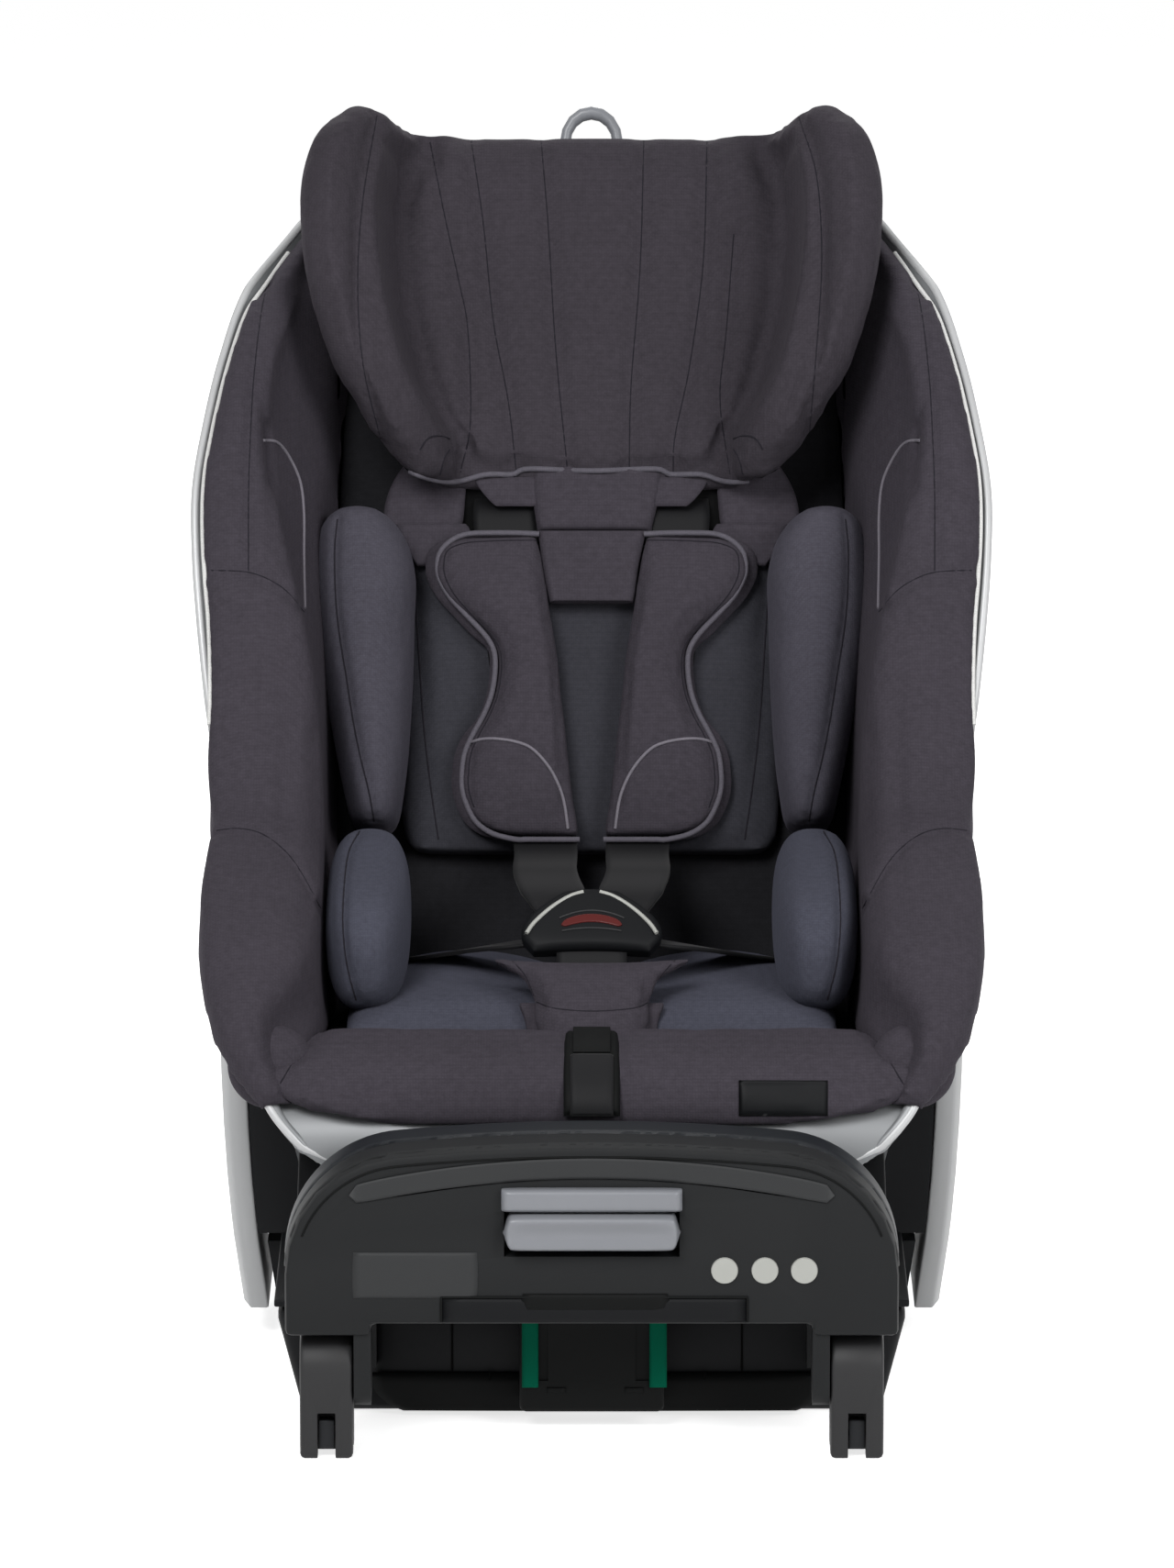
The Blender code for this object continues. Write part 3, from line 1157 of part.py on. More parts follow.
def make_back_panel(parent):
    """The dark cover behind the backrest: a shallow tub open towards the shell."""
    half, wall = BACK_PANEL_HALF_WIDTH, BACK_PANEL_WALL
    near, far = -SHELL_WALL - GAP, -SHELL_WALL - GAP - BACK_PANEL_DEPTH
    round_by = half / 4

    def outline(inset):
        low, high, side = BACK_PANEL_BOTTOM + inset, BACK_PANEL_TOP - inset, half - inset
        return rounded_outline([(-side * 0.9, low, round_by), (side * 0.9, low, round_by),
                                (side, high, round_by), (-side, high, round_by)])
    panel = plate("shell_back_panel", outline(0), near - far, back_plane((near + far) / 2), BLACK_PLASTIC,
                  parent)
    bevel(panel, BACK_PANEL_WALL / 2)
    inner_far, inner_near = far + wall, near + OVERRUN
    hollow = plate("panel_hollow", outline(wall), inner_near - inner_far,
                   back_plane((inner_near + inner_far) / 2))
    cut(panel, as_cutter(hollow))


def make_rack(parent):
    """The toothed sector under the seat that the recline pawl holds."""
    slope_top = []
    for share in RACK_TOP_SHARES:
        point = on_spine(0, S_NOSE + PAN_LENGTH * share, -SHELL_WALL - GAP)
        slope_top.append((point.y, point.z))
    outline = [slope_top[0]]
    for i in range(-RACK_FRONT_TEETH, RACK_REAR_TEETH + 1):
        for share, depth in ((-0.3, 0), (-0.12, RACK_TOOTH_DEPTH), (0.12, RACK_TOOTH_DEPTH), (0.3, 0)):
            angle = (i + share) * RACK_TOOTH_PITCH / RACK_RADIUS
            radius = RACK_RADIUS + depth
            outline.append((PIVOT_Y + radius * math.sin(angle), PIVOT_Z - radius * math.cos(angle)))
    outline.append(slope_top[1])
    plate("recline_rack", outline, RACK_THICKNESS, across(0), BLACK_PLASTIC, parent)


def arm_inner_x(z):
    """The arms tuck in towards their feet."""
    return ARM_INNER_X - ARM_TUCK * (1 - z / PIVOT_Z) ** 3


def make_side_arms():
    """The two silver arms that rise from the base to the recline axis, each with its pin."""
    levels = [ARM_FOOT_Z, ARM_SEAT_TOP_Z] + [PIVOT_Z * share for share in ARM_UP_SHARES]
    head_steps = 4
    levels += [PIVOT_Z + ARM_HEAD_RADIUS * math.sin(math.pi / 2 * i / head_steps) for i in range(1,
                                                                                                 head_steps)]
    levels.append(PIVOT_Z + ARM_HEAD_RADIUS * 0.98)
    for side, word in ((-1, "left"), (1, "right")):
        rings = []
        for z in levels:
            share = min(z / PIVOT_Z, 1)
            foot, waist, head = ARM_FOOT_LENGTH / 2, ARM_WAIST / 2, ARM_HEAD_RADIUS
            half = foot + (waist - foot) * share * 2
            if share > 0.5:
                half = waist + (head - waist) * (2 * share - 1)
            if z > PIVOT_Z:
                half = math.sqrt(head ** 2 - (z - PIVOT_Z) ** 2)
            inner = arm_inner_x(min(z, PIVOT_Z))
            outer, edge = inner + ARM_THICKNESS, ARM_THICKNESS / 4
            ring = [(inner, -half), (outer - edge, -half), (outer, -half * 0.7), (outer, half * 0.7),
                    (outer - edge, half), (inner, half)]
            rings.append([Vector((side * x, PIVOT_Y + y, z)) for x, y in ring])
        arm = loft("side_arm_" + word, rings, SILVER_PLASTIC)
        inner_end = SKIRT_TOP_X - SKIRT_THICKNESS
        length = ARM_INNER_X + ARM_THICKNESS / 2 - inner_end
        centre = (side * (inner_end + length / 2), PIVOT_Y, PIVOT_Z)
        join(arm, rod("pivot_pin", centre, PIVOT_PIN_RADIUS, length))


def make_tray():
    """The lower half of the base, with a channel below for the folded support leg."""
    tray = drafted_box("base_tray", (-BASE_HALF_WIDTH, BASE_FRONT_Y, 0),
                       (BASE_HALF_WIDTH, BASE_REAR_Y, TRAY_HEIGHT),
                       BASE_HALF_WIDTH - BASE_FLOOR_HALF_WIDTH, BLACK_PLASTIC)
    bevel(tray, TRAY_EDGE_ROUND, 3)
    wall = TRAY_WALL
    hollow = drafted_box("tray_hollow", (-BASE_HALF_WIDTH + wall, BASE_FRONT_Y + wall, wall),
                         (BASE_HALF_WIDTH - wall, BASE_REAR_Y - wall, TRAY_HEIGHT + wall),
                         BASE_HALF_WIDTH - BASE_FLOOR_HALF_WIDTH)
    cut(tray, as_cutter(hollow))
    half = CHANNEL_HALF_WIDTH + SPINE_WALL
    join(tray, box("tray_spine", (-half, BASE_FRONT_Y + wall / 2, wall / 2),
                   (half, BASE_REAR_Y - wall / 2, CHANNEL_HEIGHT + SPINE_WALL)))
    for side in (-1, 1):
        inner, length = BASE_FLOOR_HALF_WIDTH, ARM_SEAT_HALF_LENGTH
        rings = []
        for z in (ARM_FOOT_Z, ARM_SEAT_TOP_Z):
            outer = arm_inner_x(z) - GAP
            rings.append([Vector((side * x, PIVOT_Y + y, z)) for x, y in
                          ((inner, -length), (outer, -length), (outer, length), (inner, length))])
        join(tray, loft("arm_seat", rings))
    channel_end = LEG_HINGE_Y + LEG_HEIGHT / 2 + 6 * RUN_GAP
    cut(tray, as_cutter(box("leg_channel", (-CHANNEL_HALF_WIDTH, BASE_FRONT_Y - OVERRUN, -OVERRUN),
                            (CHANNEL_HALF_WIDTH, channel_end, CHANNEL_HEIGHT))),
        as_cutter(rod("leg_pin_hole", (0, LEG_HINGE_Y, LEG_HINGE_Z), LEG_PIN_RADIUS + GAP, 2 * half + wall)))
    rod("leg_hinge_pin", (0, LEG_HINGE_Y, LEG_HINGE_Z), LEG_PIN_RADIUS, 2 * half, STEEL)


def make_top():
    """The upper half of the base, with the saddle that the seat's cheeks turn in."""
    front, rear = BASE_FRONT_Y + TOP_STEP, BASE_REAR_Y - TOP_STEP

    def side_view(inset):
        radius = SKIRT_RADIUS + SADDLE_CLEARANCE + inset
        high = TOP_HEIGHT - inset
        low = TRAY_HEIGHT + GAP - (OVERRUN if inset else 0)
        reach = math.sqrt(radius ** 2 - (PIVOT_Z - high) ** 2)
        start = math.asin(reach / radius)
        points = [(front + inset, low), (rear - inset, low), (rear - inset, high - TOP_STEP),
                  (rear - TOP_STEP, high)]
        for i in range(SADDLE_STEPS + 1):
            angle = start - 2 * start * i / SADDLE_STEPS
            points.append((PIVOT_Y + radius * math.sin(angle), PIVOT_Z - radius * math.cos(angle)))
        points += [(front + TOP_SLOPE_LENGTH, high), (front + inset, TOP_FRONT_HEIGHT - inset)]
        return points
    half = TOP_HALF_WIDTH
    top = plate("base_top", side_view(0), 2 * half, across(0), BLACK_PLASTIC)
    flange = box("top_flange", (-BASE_HALF_WIDTH, BASE_FRONT_Y, TRAY_HEIGHT + GAP),
                 (BASE_HALF_WIDTH, BASE_REAR_Y, TRAY_HEIGHT + GAP + TOP_WALL))
    join(top, flange)
    hollow = plate("top_hollow", side_view(TOP_WALL), 2 * (half - TOP_WALL), across(0))
    slot = box("pawl_slot",
               (-PAWL_HALF_WIDTH - GAP, PIVOT_Y - PAWL_HALF_LENGTH - GAP, TRAY_HEIGHT + TOP_WALL),
               (PAWL_HALF_WIDTH + GAP, PIVOT_Y + PAWL_HALF_LENGTH + GAP, TOP_HEIGHT))
    cut(top, as_cutter(hollow), as_cutter(slot))


def make_pawl():
    """The wedge in the saddle that holds the rack, drawn down by the recline handle."""
    tip = PIVOT_Z - RACK_RADIUS - RACK_TOOTH_DEPTH - 2 * GAP
    pawl = body_empty("recline_pawl_axis", (0, PIVOT_Y, tip))
    half, shoulder = PAWL_HALF_LENGTH, tip - RACK_TOOTH_DEPTH
    outline = [(PIVOT_Y - half, tip - PAWL_HEIGHT), (PIVOT_Y + half, tip - PAWL_HEIGHT),
               (PIVOT_Y + half, shoulder),
               (PIVOT_Y + half / 3, tip), (PIVOT_Y - half / 3, tip), (PIVOT_Y - half, shoulder)]
    plate("recline_pawl", outline, 2 * PAWL_HALF_WIDTH, across(0), STEEL, pawl)


def make_rails():
    """Two steel rails in the tray that take the load of the anchor connectors."""
    for side, word in ((-1, "left"), (1, "right")):
        x = side * RAIL_X
        low = TRAY_WALL + GAP
        rail = box("anchor_rail_" + word, (x - RAIL_WIDTH / 2, BASE_FRONT_Y + TRAY_WALL + GAP, low),
                   (x + RAIL_WIDTH / 2, BASE_FRONT_Y + TRAY_WALL + RAIL_LENGTH, low + RAIL_WIDTH), STEEL)
        bevel(rail, TRAY_WALL / 2)


def bar_outline(inset=0.0):
    """The front bar seen from the front: an arched plate on two short legs."""
    half = BAR_HALF_WIDTH
    side = []
    for i in range(BAR_CROWN_STEPS + 1):
        x = BAR_CROWN_SHARE * half * i / BAR_CROWN_STEPS
        side.append(Vector((x, BAR_TOP_Z - BAR_CROWN_DROP * (x / half) ** 2 - inset)))
    slope = math.atan(2 * BAR_CROWN_DROP * BAR_CROWN_SHARE / half)
    radius = half * (1 - BAR_CROWN_SHARE) / (1 - math.sin(slope))
    end = side[-1]
    centre = Vector((half - radius, end.y + inset - radius * math.cos(slope)))
    for i in range(1, BAR_CROWN_STEPS + 1):
        angle = (math.pi / 2 - slope) * (1 - i / BAR_CROWN_STEPS)
        side.append(centre + (radius - inset) * Vector((math.cos(angle), math.sin(angle))))
    inner = CONNECTOR_X - CONNECTOR_WIDTH / 2 - EAR_THICKNESS - RUN_GAP + inset
    leg, middle = BAR_LEG_BOTTOM_Z + inset, BAR_BOTTOM_Z + inset
    side += [Vector((half - inset, leg)), Vector((inner, leg)), Vector((inner, middle))]
    return side + [Vector((-p.x, p.y)) for p in side[:0:-1]]


def make_bar():
    """The black front bar: hollow behind, with pockets in front and ears for the connectors."""
    rear = BAR_FRONT_Y + BAR_DEPTH
    bar = plate("front_bar", bar_outline(), BAR_DEPTH, facing((BAR_FRONT_Y + rear) / 2), BLACK_PLASTIC)
    bevel(bar, BAR_EDGE_ROUND, 2, math.radians(60))
    inner_front = BAR_FRONT_Y + BAR_WALL
    hollow = plate("bar_hollow", bar_outline(BAR_WALL), BAR_DEPTH + OVERRUN,
                   facing(inner_front + (BAR_DEPTH + OVERRUN) / 2))
    cut(bar, as_cutter(hollow))
    wall = BAR_WALL
    pocket_low = HANDLE_TOP_Z - HANDLE_HEIGHT - FINGER_ROOM
    low = (-HANDLE_HALF_WIDTH - 2 * GAP, BAR_FRONT_Y - OVERRUN, pocket_low)
    high = (HANDLE_HALF_WIDTH + 2 * GAP, BAR_FRONT_Y + POCKET_DEPTH, HANDLE_TOP_Z + 2 * GAP)
    join(bar, box("pocket_wall", (low[0] - wall, BAR_FRONT_Y + wall / 2, low[2] - wall),
                  (high[0] + wall, high[1] + wall, high[2] + wall)))
    for side in (-1, 1):
        inner = CONNECTOR_X - CONNECTOR_WIDTH / 2 - RUN_GAP
        ear_outline = rounded_outline([
            (CONNECTOR_PIVOT_Y - CONNECTOR_DEPTH / 2, BAR_LEG_BOTTOM_Z + wall, 0),
            (CONNECTOR_PIVOT_Y - CONNECTOR_DEPTH / 2, CONNECTOR_PIVOT_Z - CONNECTOR_DEPTH / 2,
             CONNECTOR_DEPTH / 3),
            (CONNECTOR_PIVOT_Y + CONNECTOR_DEPTH / 2, CONNECTOR_PIVOT_Z - CONNECTOR_DEPTH / 2,
             CONNECTOR_DEPTH / 3),
            (CONNECTOR_PIVOT_Y + CONNECTOR_DEPTH / 2, BAR_LEG_BOTTOM_Z + wall, 0)])
        join(bar, plate("ear", ear_outline, EAR_THICKNESS, across(side * (inner - EAR_THICKNESS / 2))))
        reach = CONNECTOR_WIDTH * 0.7
        start = inner - EAR_THICKNESS / 2
        end = inner + RUN_GAP + reach
        join(bar, rod("connector_pin", (side * (start + end) / 2, CONNECTOR_PIVOT_Y, CONNECTOR_PIVOT_Z),
                      CONNECTOR_PIN_RADIUS, end - start))
        x = side * RAIL_X
        join(bar, box("lug", (x - RAIL_WIDTH / 2, BAR_FRONT_Y + wall / 2, BAR_BOTTOM_Z + wall / 2),
                      (x + RAIL_WIDTH / 2, BASE_FRONT_Y - GAP, BAR_BOTTOM_Z + LUG_HEIGHT)),
             box("lug_foot", (x - RAIL_WIDTH / 2, BASE_FRONT_Y - LUG_DEPTH + wall, TRAY_HEIGHT / 2),
                 (x + RAIL_WIDTH / 2, BASE_FRONT_Y - GAP, BAR_BOTTOM_Z + LUG_HEIGHT)))
    cut(bar, as_cutter(box("handle_pocket", low, high)))
    cut(bar, as_cutter(plate("grip_recess", grip_outline(GAP), GRIP_DEPTH + GAP + OVERRUN,
                             facing(BAR_FRONT_Y + (GRIP_DEPTH + GAP - OVERRUN) / 2))))
    plate("bar_grip_strip", grip_outline(0), GRIP_DEPTH, facing(BAR_FRONT_Y + GRIP_DEPTH / 2), GREY_PLASTIC)
    bezel_low = HANDLE_TOP_Z + 2 * GAP + wall / 4
    bezel = box("handle_bezel", (-HANDLE_HALF_WIDTH - GAP, BAR_FRONT_Y - GAP - BEZEL_THICKNESS, bezel_low),
                (HANDLE_HALF_WIDTH + GAP, BAR_FRONT_Y - GAP, BEZEL_TOP_Z), HANDLE_PLASTIC)
    bevel(bezel, BEZEL_THICKNESS / 4)


def grip_outline(grow):
    """A shallow arch, the same height all along, with round ends."""
    top, bottom = [], []
    steps = 10
    for i in range(steps + 1):
        share = 2 * i / steps - 1
        middle = GRIP_TOP_Z - GRIP_HEIGHT / 2 - GRIP_RISE * share ** 2
        height = GRIP_HEIGHT / 2 * math.sqrt(max(1 - share ** 8, 0.16))
        x = (GRIP_HALF_LENGTH + grow) * share
        top.append((x, middle + height + grow))
        bottom.append((x, middle - height - grow))
    return bottom + top[::-1]


def make_handle():
    """The recline handle: a cup with its opening below, which runs in the bar's pocket."""
    pull = body_empty("recline_handle_axis", (0, BAR_FRONT_Y, HANDLE_TOP_Z - HANDLE_HEIGHT / 2))
    wall = HANDLE_WALL
    half, top, bottom = HANDLE_HALF_WIDTH, HANDLE_TOP_Z, HANDLE_TOP_Z - HANDLE_HEIGHT
    front = BAR_FRONT_Y - HANDLE_PROUD
    rear = front + HANDLE_LENGTH
    handle = box("recline_handle", (-half, front, bottom), (half, rear, top), HANDLE_PLASTIC, pull)
    bevel(handle, wall * 0.8)
    cavity = box("handle_cavity", (-half + wall, front + wall, bottom - OVERRUN),
                 (half - wall, rear + OVERRUN, top - wall))
    cut(handle, as_cutter(cavity))


CONNECTOR_X = ANCHOR_SPACING / 2
CONNECTOR_PIVOT_Z = CONNECTOR_BOTTOM_Z + CONNECTOR_LENGTH - CONNECTOR_DEPTH / 2


def connector_outline(inset):
    """Side view of a connector: round about its pivot, and narrower at its mouth."""
    radius = CONNECTOR_DEPTH / 2 - inset
    points = []
    for i in range(13):
        angle = math.pi * i / 12
        points.append((CONNECTOR_PIVOT_Y + radius * math.cos(angle),
                       CONNECTOR_PIVOT_Z + radius * math.sin(angle)))
    foot = rounded_outline([(CONNECTOR_PIVOT_Y - radius * 0.9, CONNECTOR_BOTTOM_Z + inset,
                             CONNECTOR_DEPTH / 14),
                            (CONNECTOR_PIVOT_Y + radius * 0.9, CONNECTOR_BOTTOM_Z + inset,
                             CONNECTOR_DEPTH / 14),
                            (CONNECTOR_PIVOT_Y, CONNECTOR_PIVOT_Z, 0)])[:-1]
    return points + foot


def make_connector(side, word):
    """One anchor connector: a housing that folds, a hook that snaps round the anchor and a release button."""
    x = side * CONNECTOR_X
    fold = body_empty("connector_axis_" + word, (x, CONNECTOR_PIVOT_Y, CONNECTOR_PIVOT_Z))
    housing = plate("connector_housing_" + word, connector_outline(0), CONNECTOR_WIDTH, across(x),
                    GREY_PLASTIC, fold)
    bevel(housing, CONNECTOR_EDGE_ROUND, 2, math.radians(60))
    pin_x = side * (CONNECTOR_X - CONNECTOR_WIDTH * 0.15)
    hole = rod("connector_hole", (pin_x - side * RUN_GAP, CONNECTOR_PIVOT_Y, CONNECTOR_PIVOT_Z),
               CONNECTOR_PIN_RADIUS + RUN_GAP, CONNECTOR_WIDTH * 0.8)
    mouth_top = CONNECTOR_BOTTOM_Z + JAW_DEPTH
    jaw = box("jaw", (x - CONNECTOR_WIDTH, CONNECTOR_PIVOT_Y - JAW_WIDTH / 2, CONNECTOR_BOTTOM_Z - OVERRUN),
              (x + CONNECTOR_WIDTH, CONNECTOR_PIVOT_Y + JAW_WIDTH / 2, mouth_top))
    clear = HOOK_POCKET_CLEARANCE
    slot_half = HOOK_THICKNESS / 2 + clear
    pocket = box("hook_pocket",
                 (x - slot_half, CONNECTOR_PIVOT_Y - OVERRUN * 2, CONNECTOR_BOTTOM_Z - OVERRUN),
                 (x + slot_half, CONNECTOR_PIVOT_Y + JAW_WIDTH / 2, mouth_top + HOOK_HEAD_RADIUS + 2 * clear))
    hook_y = CONNECTOR_PIVOT_Y - JAW_WIDTH / 2 - HOOK_HEAD_RADIUS
    hook_z = mouth_top - HOOK_HEAD_RADIUS / 2
    seat_low = CONNECTOR_PIVOT_Z - RELEASE_HEIGHT * 1.25
    rear = CONNECTOR_PIVOT_Y + CONNECTOR_DEPTH / 2 + RELEASE_PROUD
    half = RELEASE_WIDTH / 2
    floor = rear - RELEASE_THICKNESS - RELEASE_TRAVEL
    release = box("release_pocket", (x - half - GAP, floor - GAP, seat_low - GAP),
                  (x + half + GAP, rear + OVERRUN, seat_low + RELEASE_HEIGHT + GAP))
    cut(housing, as_cutter(hole), as_cutter(jaw), as_cutter(pocket), as_cutter(release))
    pin = rod("hook_pin", (x, hook_y, hook_z), HOOK_PIN_RADIUS, CONNECTOR_WIDTH - TRAY_WALL)
    join(housing, pin)
    swing = hang(body_empty("hook_axis_" + word, (x, hook_y, hook_z)), fold)
    reach = JAW_WIDTH + HOOK_HEAD_RADIUS
    tail = hook_z - CONNECTOR_BOTTOM_Z - HOOK_TIP
    head = HOOK_HEAD_RADIUS
    outline = rounded_outline([(hook_y - head, hook_z + head * 0.7, head / 2),
                               (hook_y - head, hook_z - tail, head / 2),
                               (hook_y + reach, hook_z - tail, HOOK_TIP / 2),
                               (hook_y + reach, hook_z - tail + HOOK_TIP, HOOK_TIP / 2),
                               (hook_y + head, hook_z - tail + HOOK_TIP, 0), (hook_y + head,
                                                                              hook_z + head * 0.7, head / 2)])
    hook = plate("connector_hook_" + word, outline, HOOK_THICKNESS, across(x), STEEL, swing)
    cut(hook, as_cutter(rod("hook_hole", (x, hook_y, hook_z), HOOK_PIN_RADIUS + GAP, CONNECTOR_WIDTH)))
    press = hang(body_empty("release_axis_" + word, (x, rear, seat_low)), fold)
    button = box("release_button_" + word, (x - half, rear - RELEASE_THICKNESS, seat_low),
                 (x + half, rear, seat_low + RELEASE_HEIGHT), BLACK_PLASTIC, press)
    bevel(button, RELEASE_PROUD / 2)


def make_leg():
    """The support leg: outer tube on the base's hinge, inner tube with its foot, and the length button."""
    fold = body_empty("leg_axis", (0, LEG_HINGE_Y, LEG_HINGE_Z))
    radius = LEG_HEIGHT / 2
    front = LEG_HINGE_Y - LEG_OUTER_LENGTH
    outline = [(LEG_HINGE_Y + radius * math.cos(math.pi * (i / 12 - 0.5)),
                LEG_HINGE_Z + radius * math.sin(math.pi * (i / 12 - 0.5))) for i in range(13)]
    outline += [(front, LEG_HINGE_Z + radius), (front, LEG_HINGE_Z - radius)]
    outer = plate("leg_outer_tube", outline, 2 * LEG_HALF_WIDTH, across(0), STEEL, fold)
    low = LEG_HINGE_Z - radius - COLLAR_DEPTH
    join(outer, box("leg_collar", (-LEG_HALF_WIDTH + GAP, front - GAP, low),
                    (LEG_HALF_WIDTH - GAP, front + COLLAR_LENGTH, LEG_HINGE_Z)))
    inside, cavity_z = LEG_HALF_WIDTH - LEG_WALL, radius - LEG_WALL
    cavity = box("leg_cavity", (-inside, front - OVERRUN, LEG_HINGE_Z - cavity_z),
                 (inside, LEG_HINGE_Y - radius - LEG_WALL, LEG_HINGE_Z + cavity_z))
    centre = front + COLLAR_LENGTH / 2
    button_low = low - LEG_BUTTON_PROUD
    button_high = button_low + LEG_BUTTON_THICKNESS
    half, length = LEG_BUTTON_HALF_WIDTH, LEG_BUTTON_LENGTH / 2
    pocket = box("leg_button_pocket", (-half - GAP, centre - length - GAP, low - OVERRUN),
                 (half + GAP, centre + length + GAP, button_high + LEG_BUTTON_TRAVEL + GAP))
    hole = rod("leg_hinge_hole", (0, LEG_HINGE_Y, LEG_HINGE_Z), LEG_PIN_RADIUS + RUN_GAP,
               2 * LEG_HALF_WIDTH + OVERRUN)
    cut(outer, as_cutter(cavity), as_cutter(pocket), as_cutter(hole))
    press = hang(body_empty("leg_button_axis", (0, centre, button_low)), fold)
    button = box("leg_button", (-half, centre - length, button_low), (half, centre + length, button_high),
                 GREEN_PLASTIC, press)
    bevel(button, LEG_BUTTON_PROUD / 3)
    slide = hang(body_empty("leg_slide", (0, FOOT_BACK_Y, LEG_HINGE_Z)), fold)
    half, high = inside - LEG_INNER_GAP, cavity_z - LEG_INNER_GAP
    start = FOOT_BACK_Y - FOOT_SOCKET + GAP
    inner = box("leg_inner_tube", (-half, start, LEG_HINGE_Z - high),
                (half, start + LEG_INNER_LENGTH, LEG_HINGE_Z + high),
                STEEL, slide)
    bore_half, bore_high = half - LEG_WALL, high - LEG_WALL
    cut(inner, as_cutter(box("leg_bore", (-bore_half, start - OVERRUN, LEG_HINGE_Z - bore_high),
                             (bore_half, start + LEG_INNER_LENGTH + OVERRUN, LEG_HINGE_Z + bore_high))))
    front = FOOT_BACK_Y - FOOT_DEPTH
    foot = box("leg_foot", (-FOOT_HALF_WIDTH, front, FOOT_BOTTOM_Z),
               (FOOT_HALF_WIDTH, FOOT_BACK_Y, FOOT_BOTTOM_Z + FOOT_HEIGHT), BLACK_PLASTIC, slide)
    bevel(foot, FOOT_EDGE_ROUND, 3)
    socket = box("foot_socket", (-half - GAP, FOOT_BACK_Y - FOOT_SOCKET, LEG_HINGE_Z - high - GAP),
                 (half + GAP, FOOT_BACK_Y + OVERRUN, LEG_HINGE_Z + high + GAP))
    cut(foot, as_cutter(socket))
    top = FOOT_BOTTOM_Z + FOOT_HEIGHT - FOOT_EDGE_ROUND - GAP
    for side, word in ((-1, "left"), (1, "right")):
        edge = FOOT_HALF_WIDTH - FOOT_EDGE_ROUND
        x = side * (edge - INDICATOR_WIDTH / 2)
        low = (x - INDICATOR_WIDTH / 2, front - INDICATOR_PROUD, top - INDICATOR_LENGTH)
        high_corner = (x + INDICATOR_WIDTH / 2, front + INDICATOR_PROUD, top)
        strip = box("indicator_strip_" + word, low, high_corner, GREEN_PLASTIC, slide)
        bevel(strip, INDICATOR_PROUD / 3)
        cut(foot, as_cutter(box("indicator_recess", (low[0] - GAP, front - OVERRUN, low[2] - GAP),
                                (high_corner[0] + GAP, high_corner[1] + GAP, top + GAP))))


def make_seat(recline):
    """Everything that turns on the recline axis."""
    make_shell(recline)
    make_back_panel(recline)
    make_rack(recline)
    make_cover(recline)
    make_insert(recline)
    make_belts(recline)
    make_buckle(recline)
    make_adjuster(recline)


def make_head(recline):
    """The headrest with its pads, and the loop that frees it."""
    rise = hang(body_empty("headrest_slide", on_back(0, HEADREST_BOTTOM, 0)), recline)
    lift = make_headrest(rise)
    make_shoulder_pads(rise)
    pull = hang(body_empty("headrest_handle_slide", on_back(0, HEADREST_BOTTOM + HEADREST_LENGTH, lift)),
                rise)
    make_loop(lift, pull)


def main():
    recline = body_empty("recline_axis", (0, PIVOT_Y, PIVOT_Z))
    make_seat(recline)
    make_head(recline)
    make_side_arms()
    make_tray()
    make_top()
    make_rails()
    make_pawl()
    make_bar()
    make_handle()
    for side, word in ((-1, "left"), (1, "right")):
        make_connector(side, word)
    make_leg()


main()
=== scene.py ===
import json
import math

import bmesh
import bpy
from mathutils import Matrix, Vector, kdtree, noise
from mathutils.bvhtree import BVHTree

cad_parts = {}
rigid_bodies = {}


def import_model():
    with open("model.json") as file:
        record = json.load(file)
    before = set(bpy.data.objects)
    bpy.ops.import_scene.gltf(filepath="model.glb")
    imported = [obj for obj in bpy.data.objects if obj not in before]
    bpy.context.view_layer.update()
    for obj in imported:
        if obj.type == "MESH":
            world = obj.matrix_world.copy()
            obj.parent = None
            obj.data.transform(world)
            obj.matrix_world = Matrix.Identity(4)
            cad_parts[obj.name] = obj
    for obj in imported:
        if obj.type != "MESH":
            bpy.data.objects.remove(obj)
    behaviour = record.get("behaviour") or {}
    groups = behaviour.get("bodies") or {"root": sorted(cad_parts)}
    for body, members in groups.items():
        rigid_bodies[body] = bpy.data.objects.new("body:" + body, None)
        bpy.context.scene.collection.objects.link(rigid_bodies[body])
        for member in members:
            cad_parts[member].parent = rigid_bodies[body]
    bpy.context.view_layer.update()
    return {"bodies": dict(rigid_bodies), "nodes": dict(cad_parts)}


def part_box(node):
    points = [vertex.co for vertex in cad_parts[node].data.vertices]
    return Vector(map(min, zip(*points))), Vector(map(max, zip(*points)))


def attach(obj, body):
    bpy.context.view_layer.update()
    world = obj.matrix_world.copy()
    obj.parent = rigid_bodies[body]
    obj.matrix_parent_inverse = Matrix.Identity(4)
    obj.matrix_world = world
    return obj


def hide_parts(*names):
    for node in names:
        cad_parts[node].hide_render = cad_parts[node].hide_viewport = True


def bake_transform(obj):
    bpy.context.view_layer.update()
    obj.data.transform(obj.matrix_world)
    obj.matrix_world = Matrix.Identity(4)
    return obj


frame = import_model()
scene = bpy.context.scene
scene.view_settings.view_transform = "Standard"

# the photograph's frame: 1280 x 1709 pixels seen from 6 m, with the seat's middle at pixel 645
photo = dict(width=1280, height=1709, focus=11928, target=(-0.0025, 0, 0.302), elevation=12, distance=6,
             middle=645)
lean = math.radians(photo["elevation"])
sight = Vector((0, math.cos(lean), -math.sin(lean)))
skyward = Vector((0, math.sin(lean), math.cos(lean)))
eye = Vector(photo["target"]) - photo["distance"] * sight


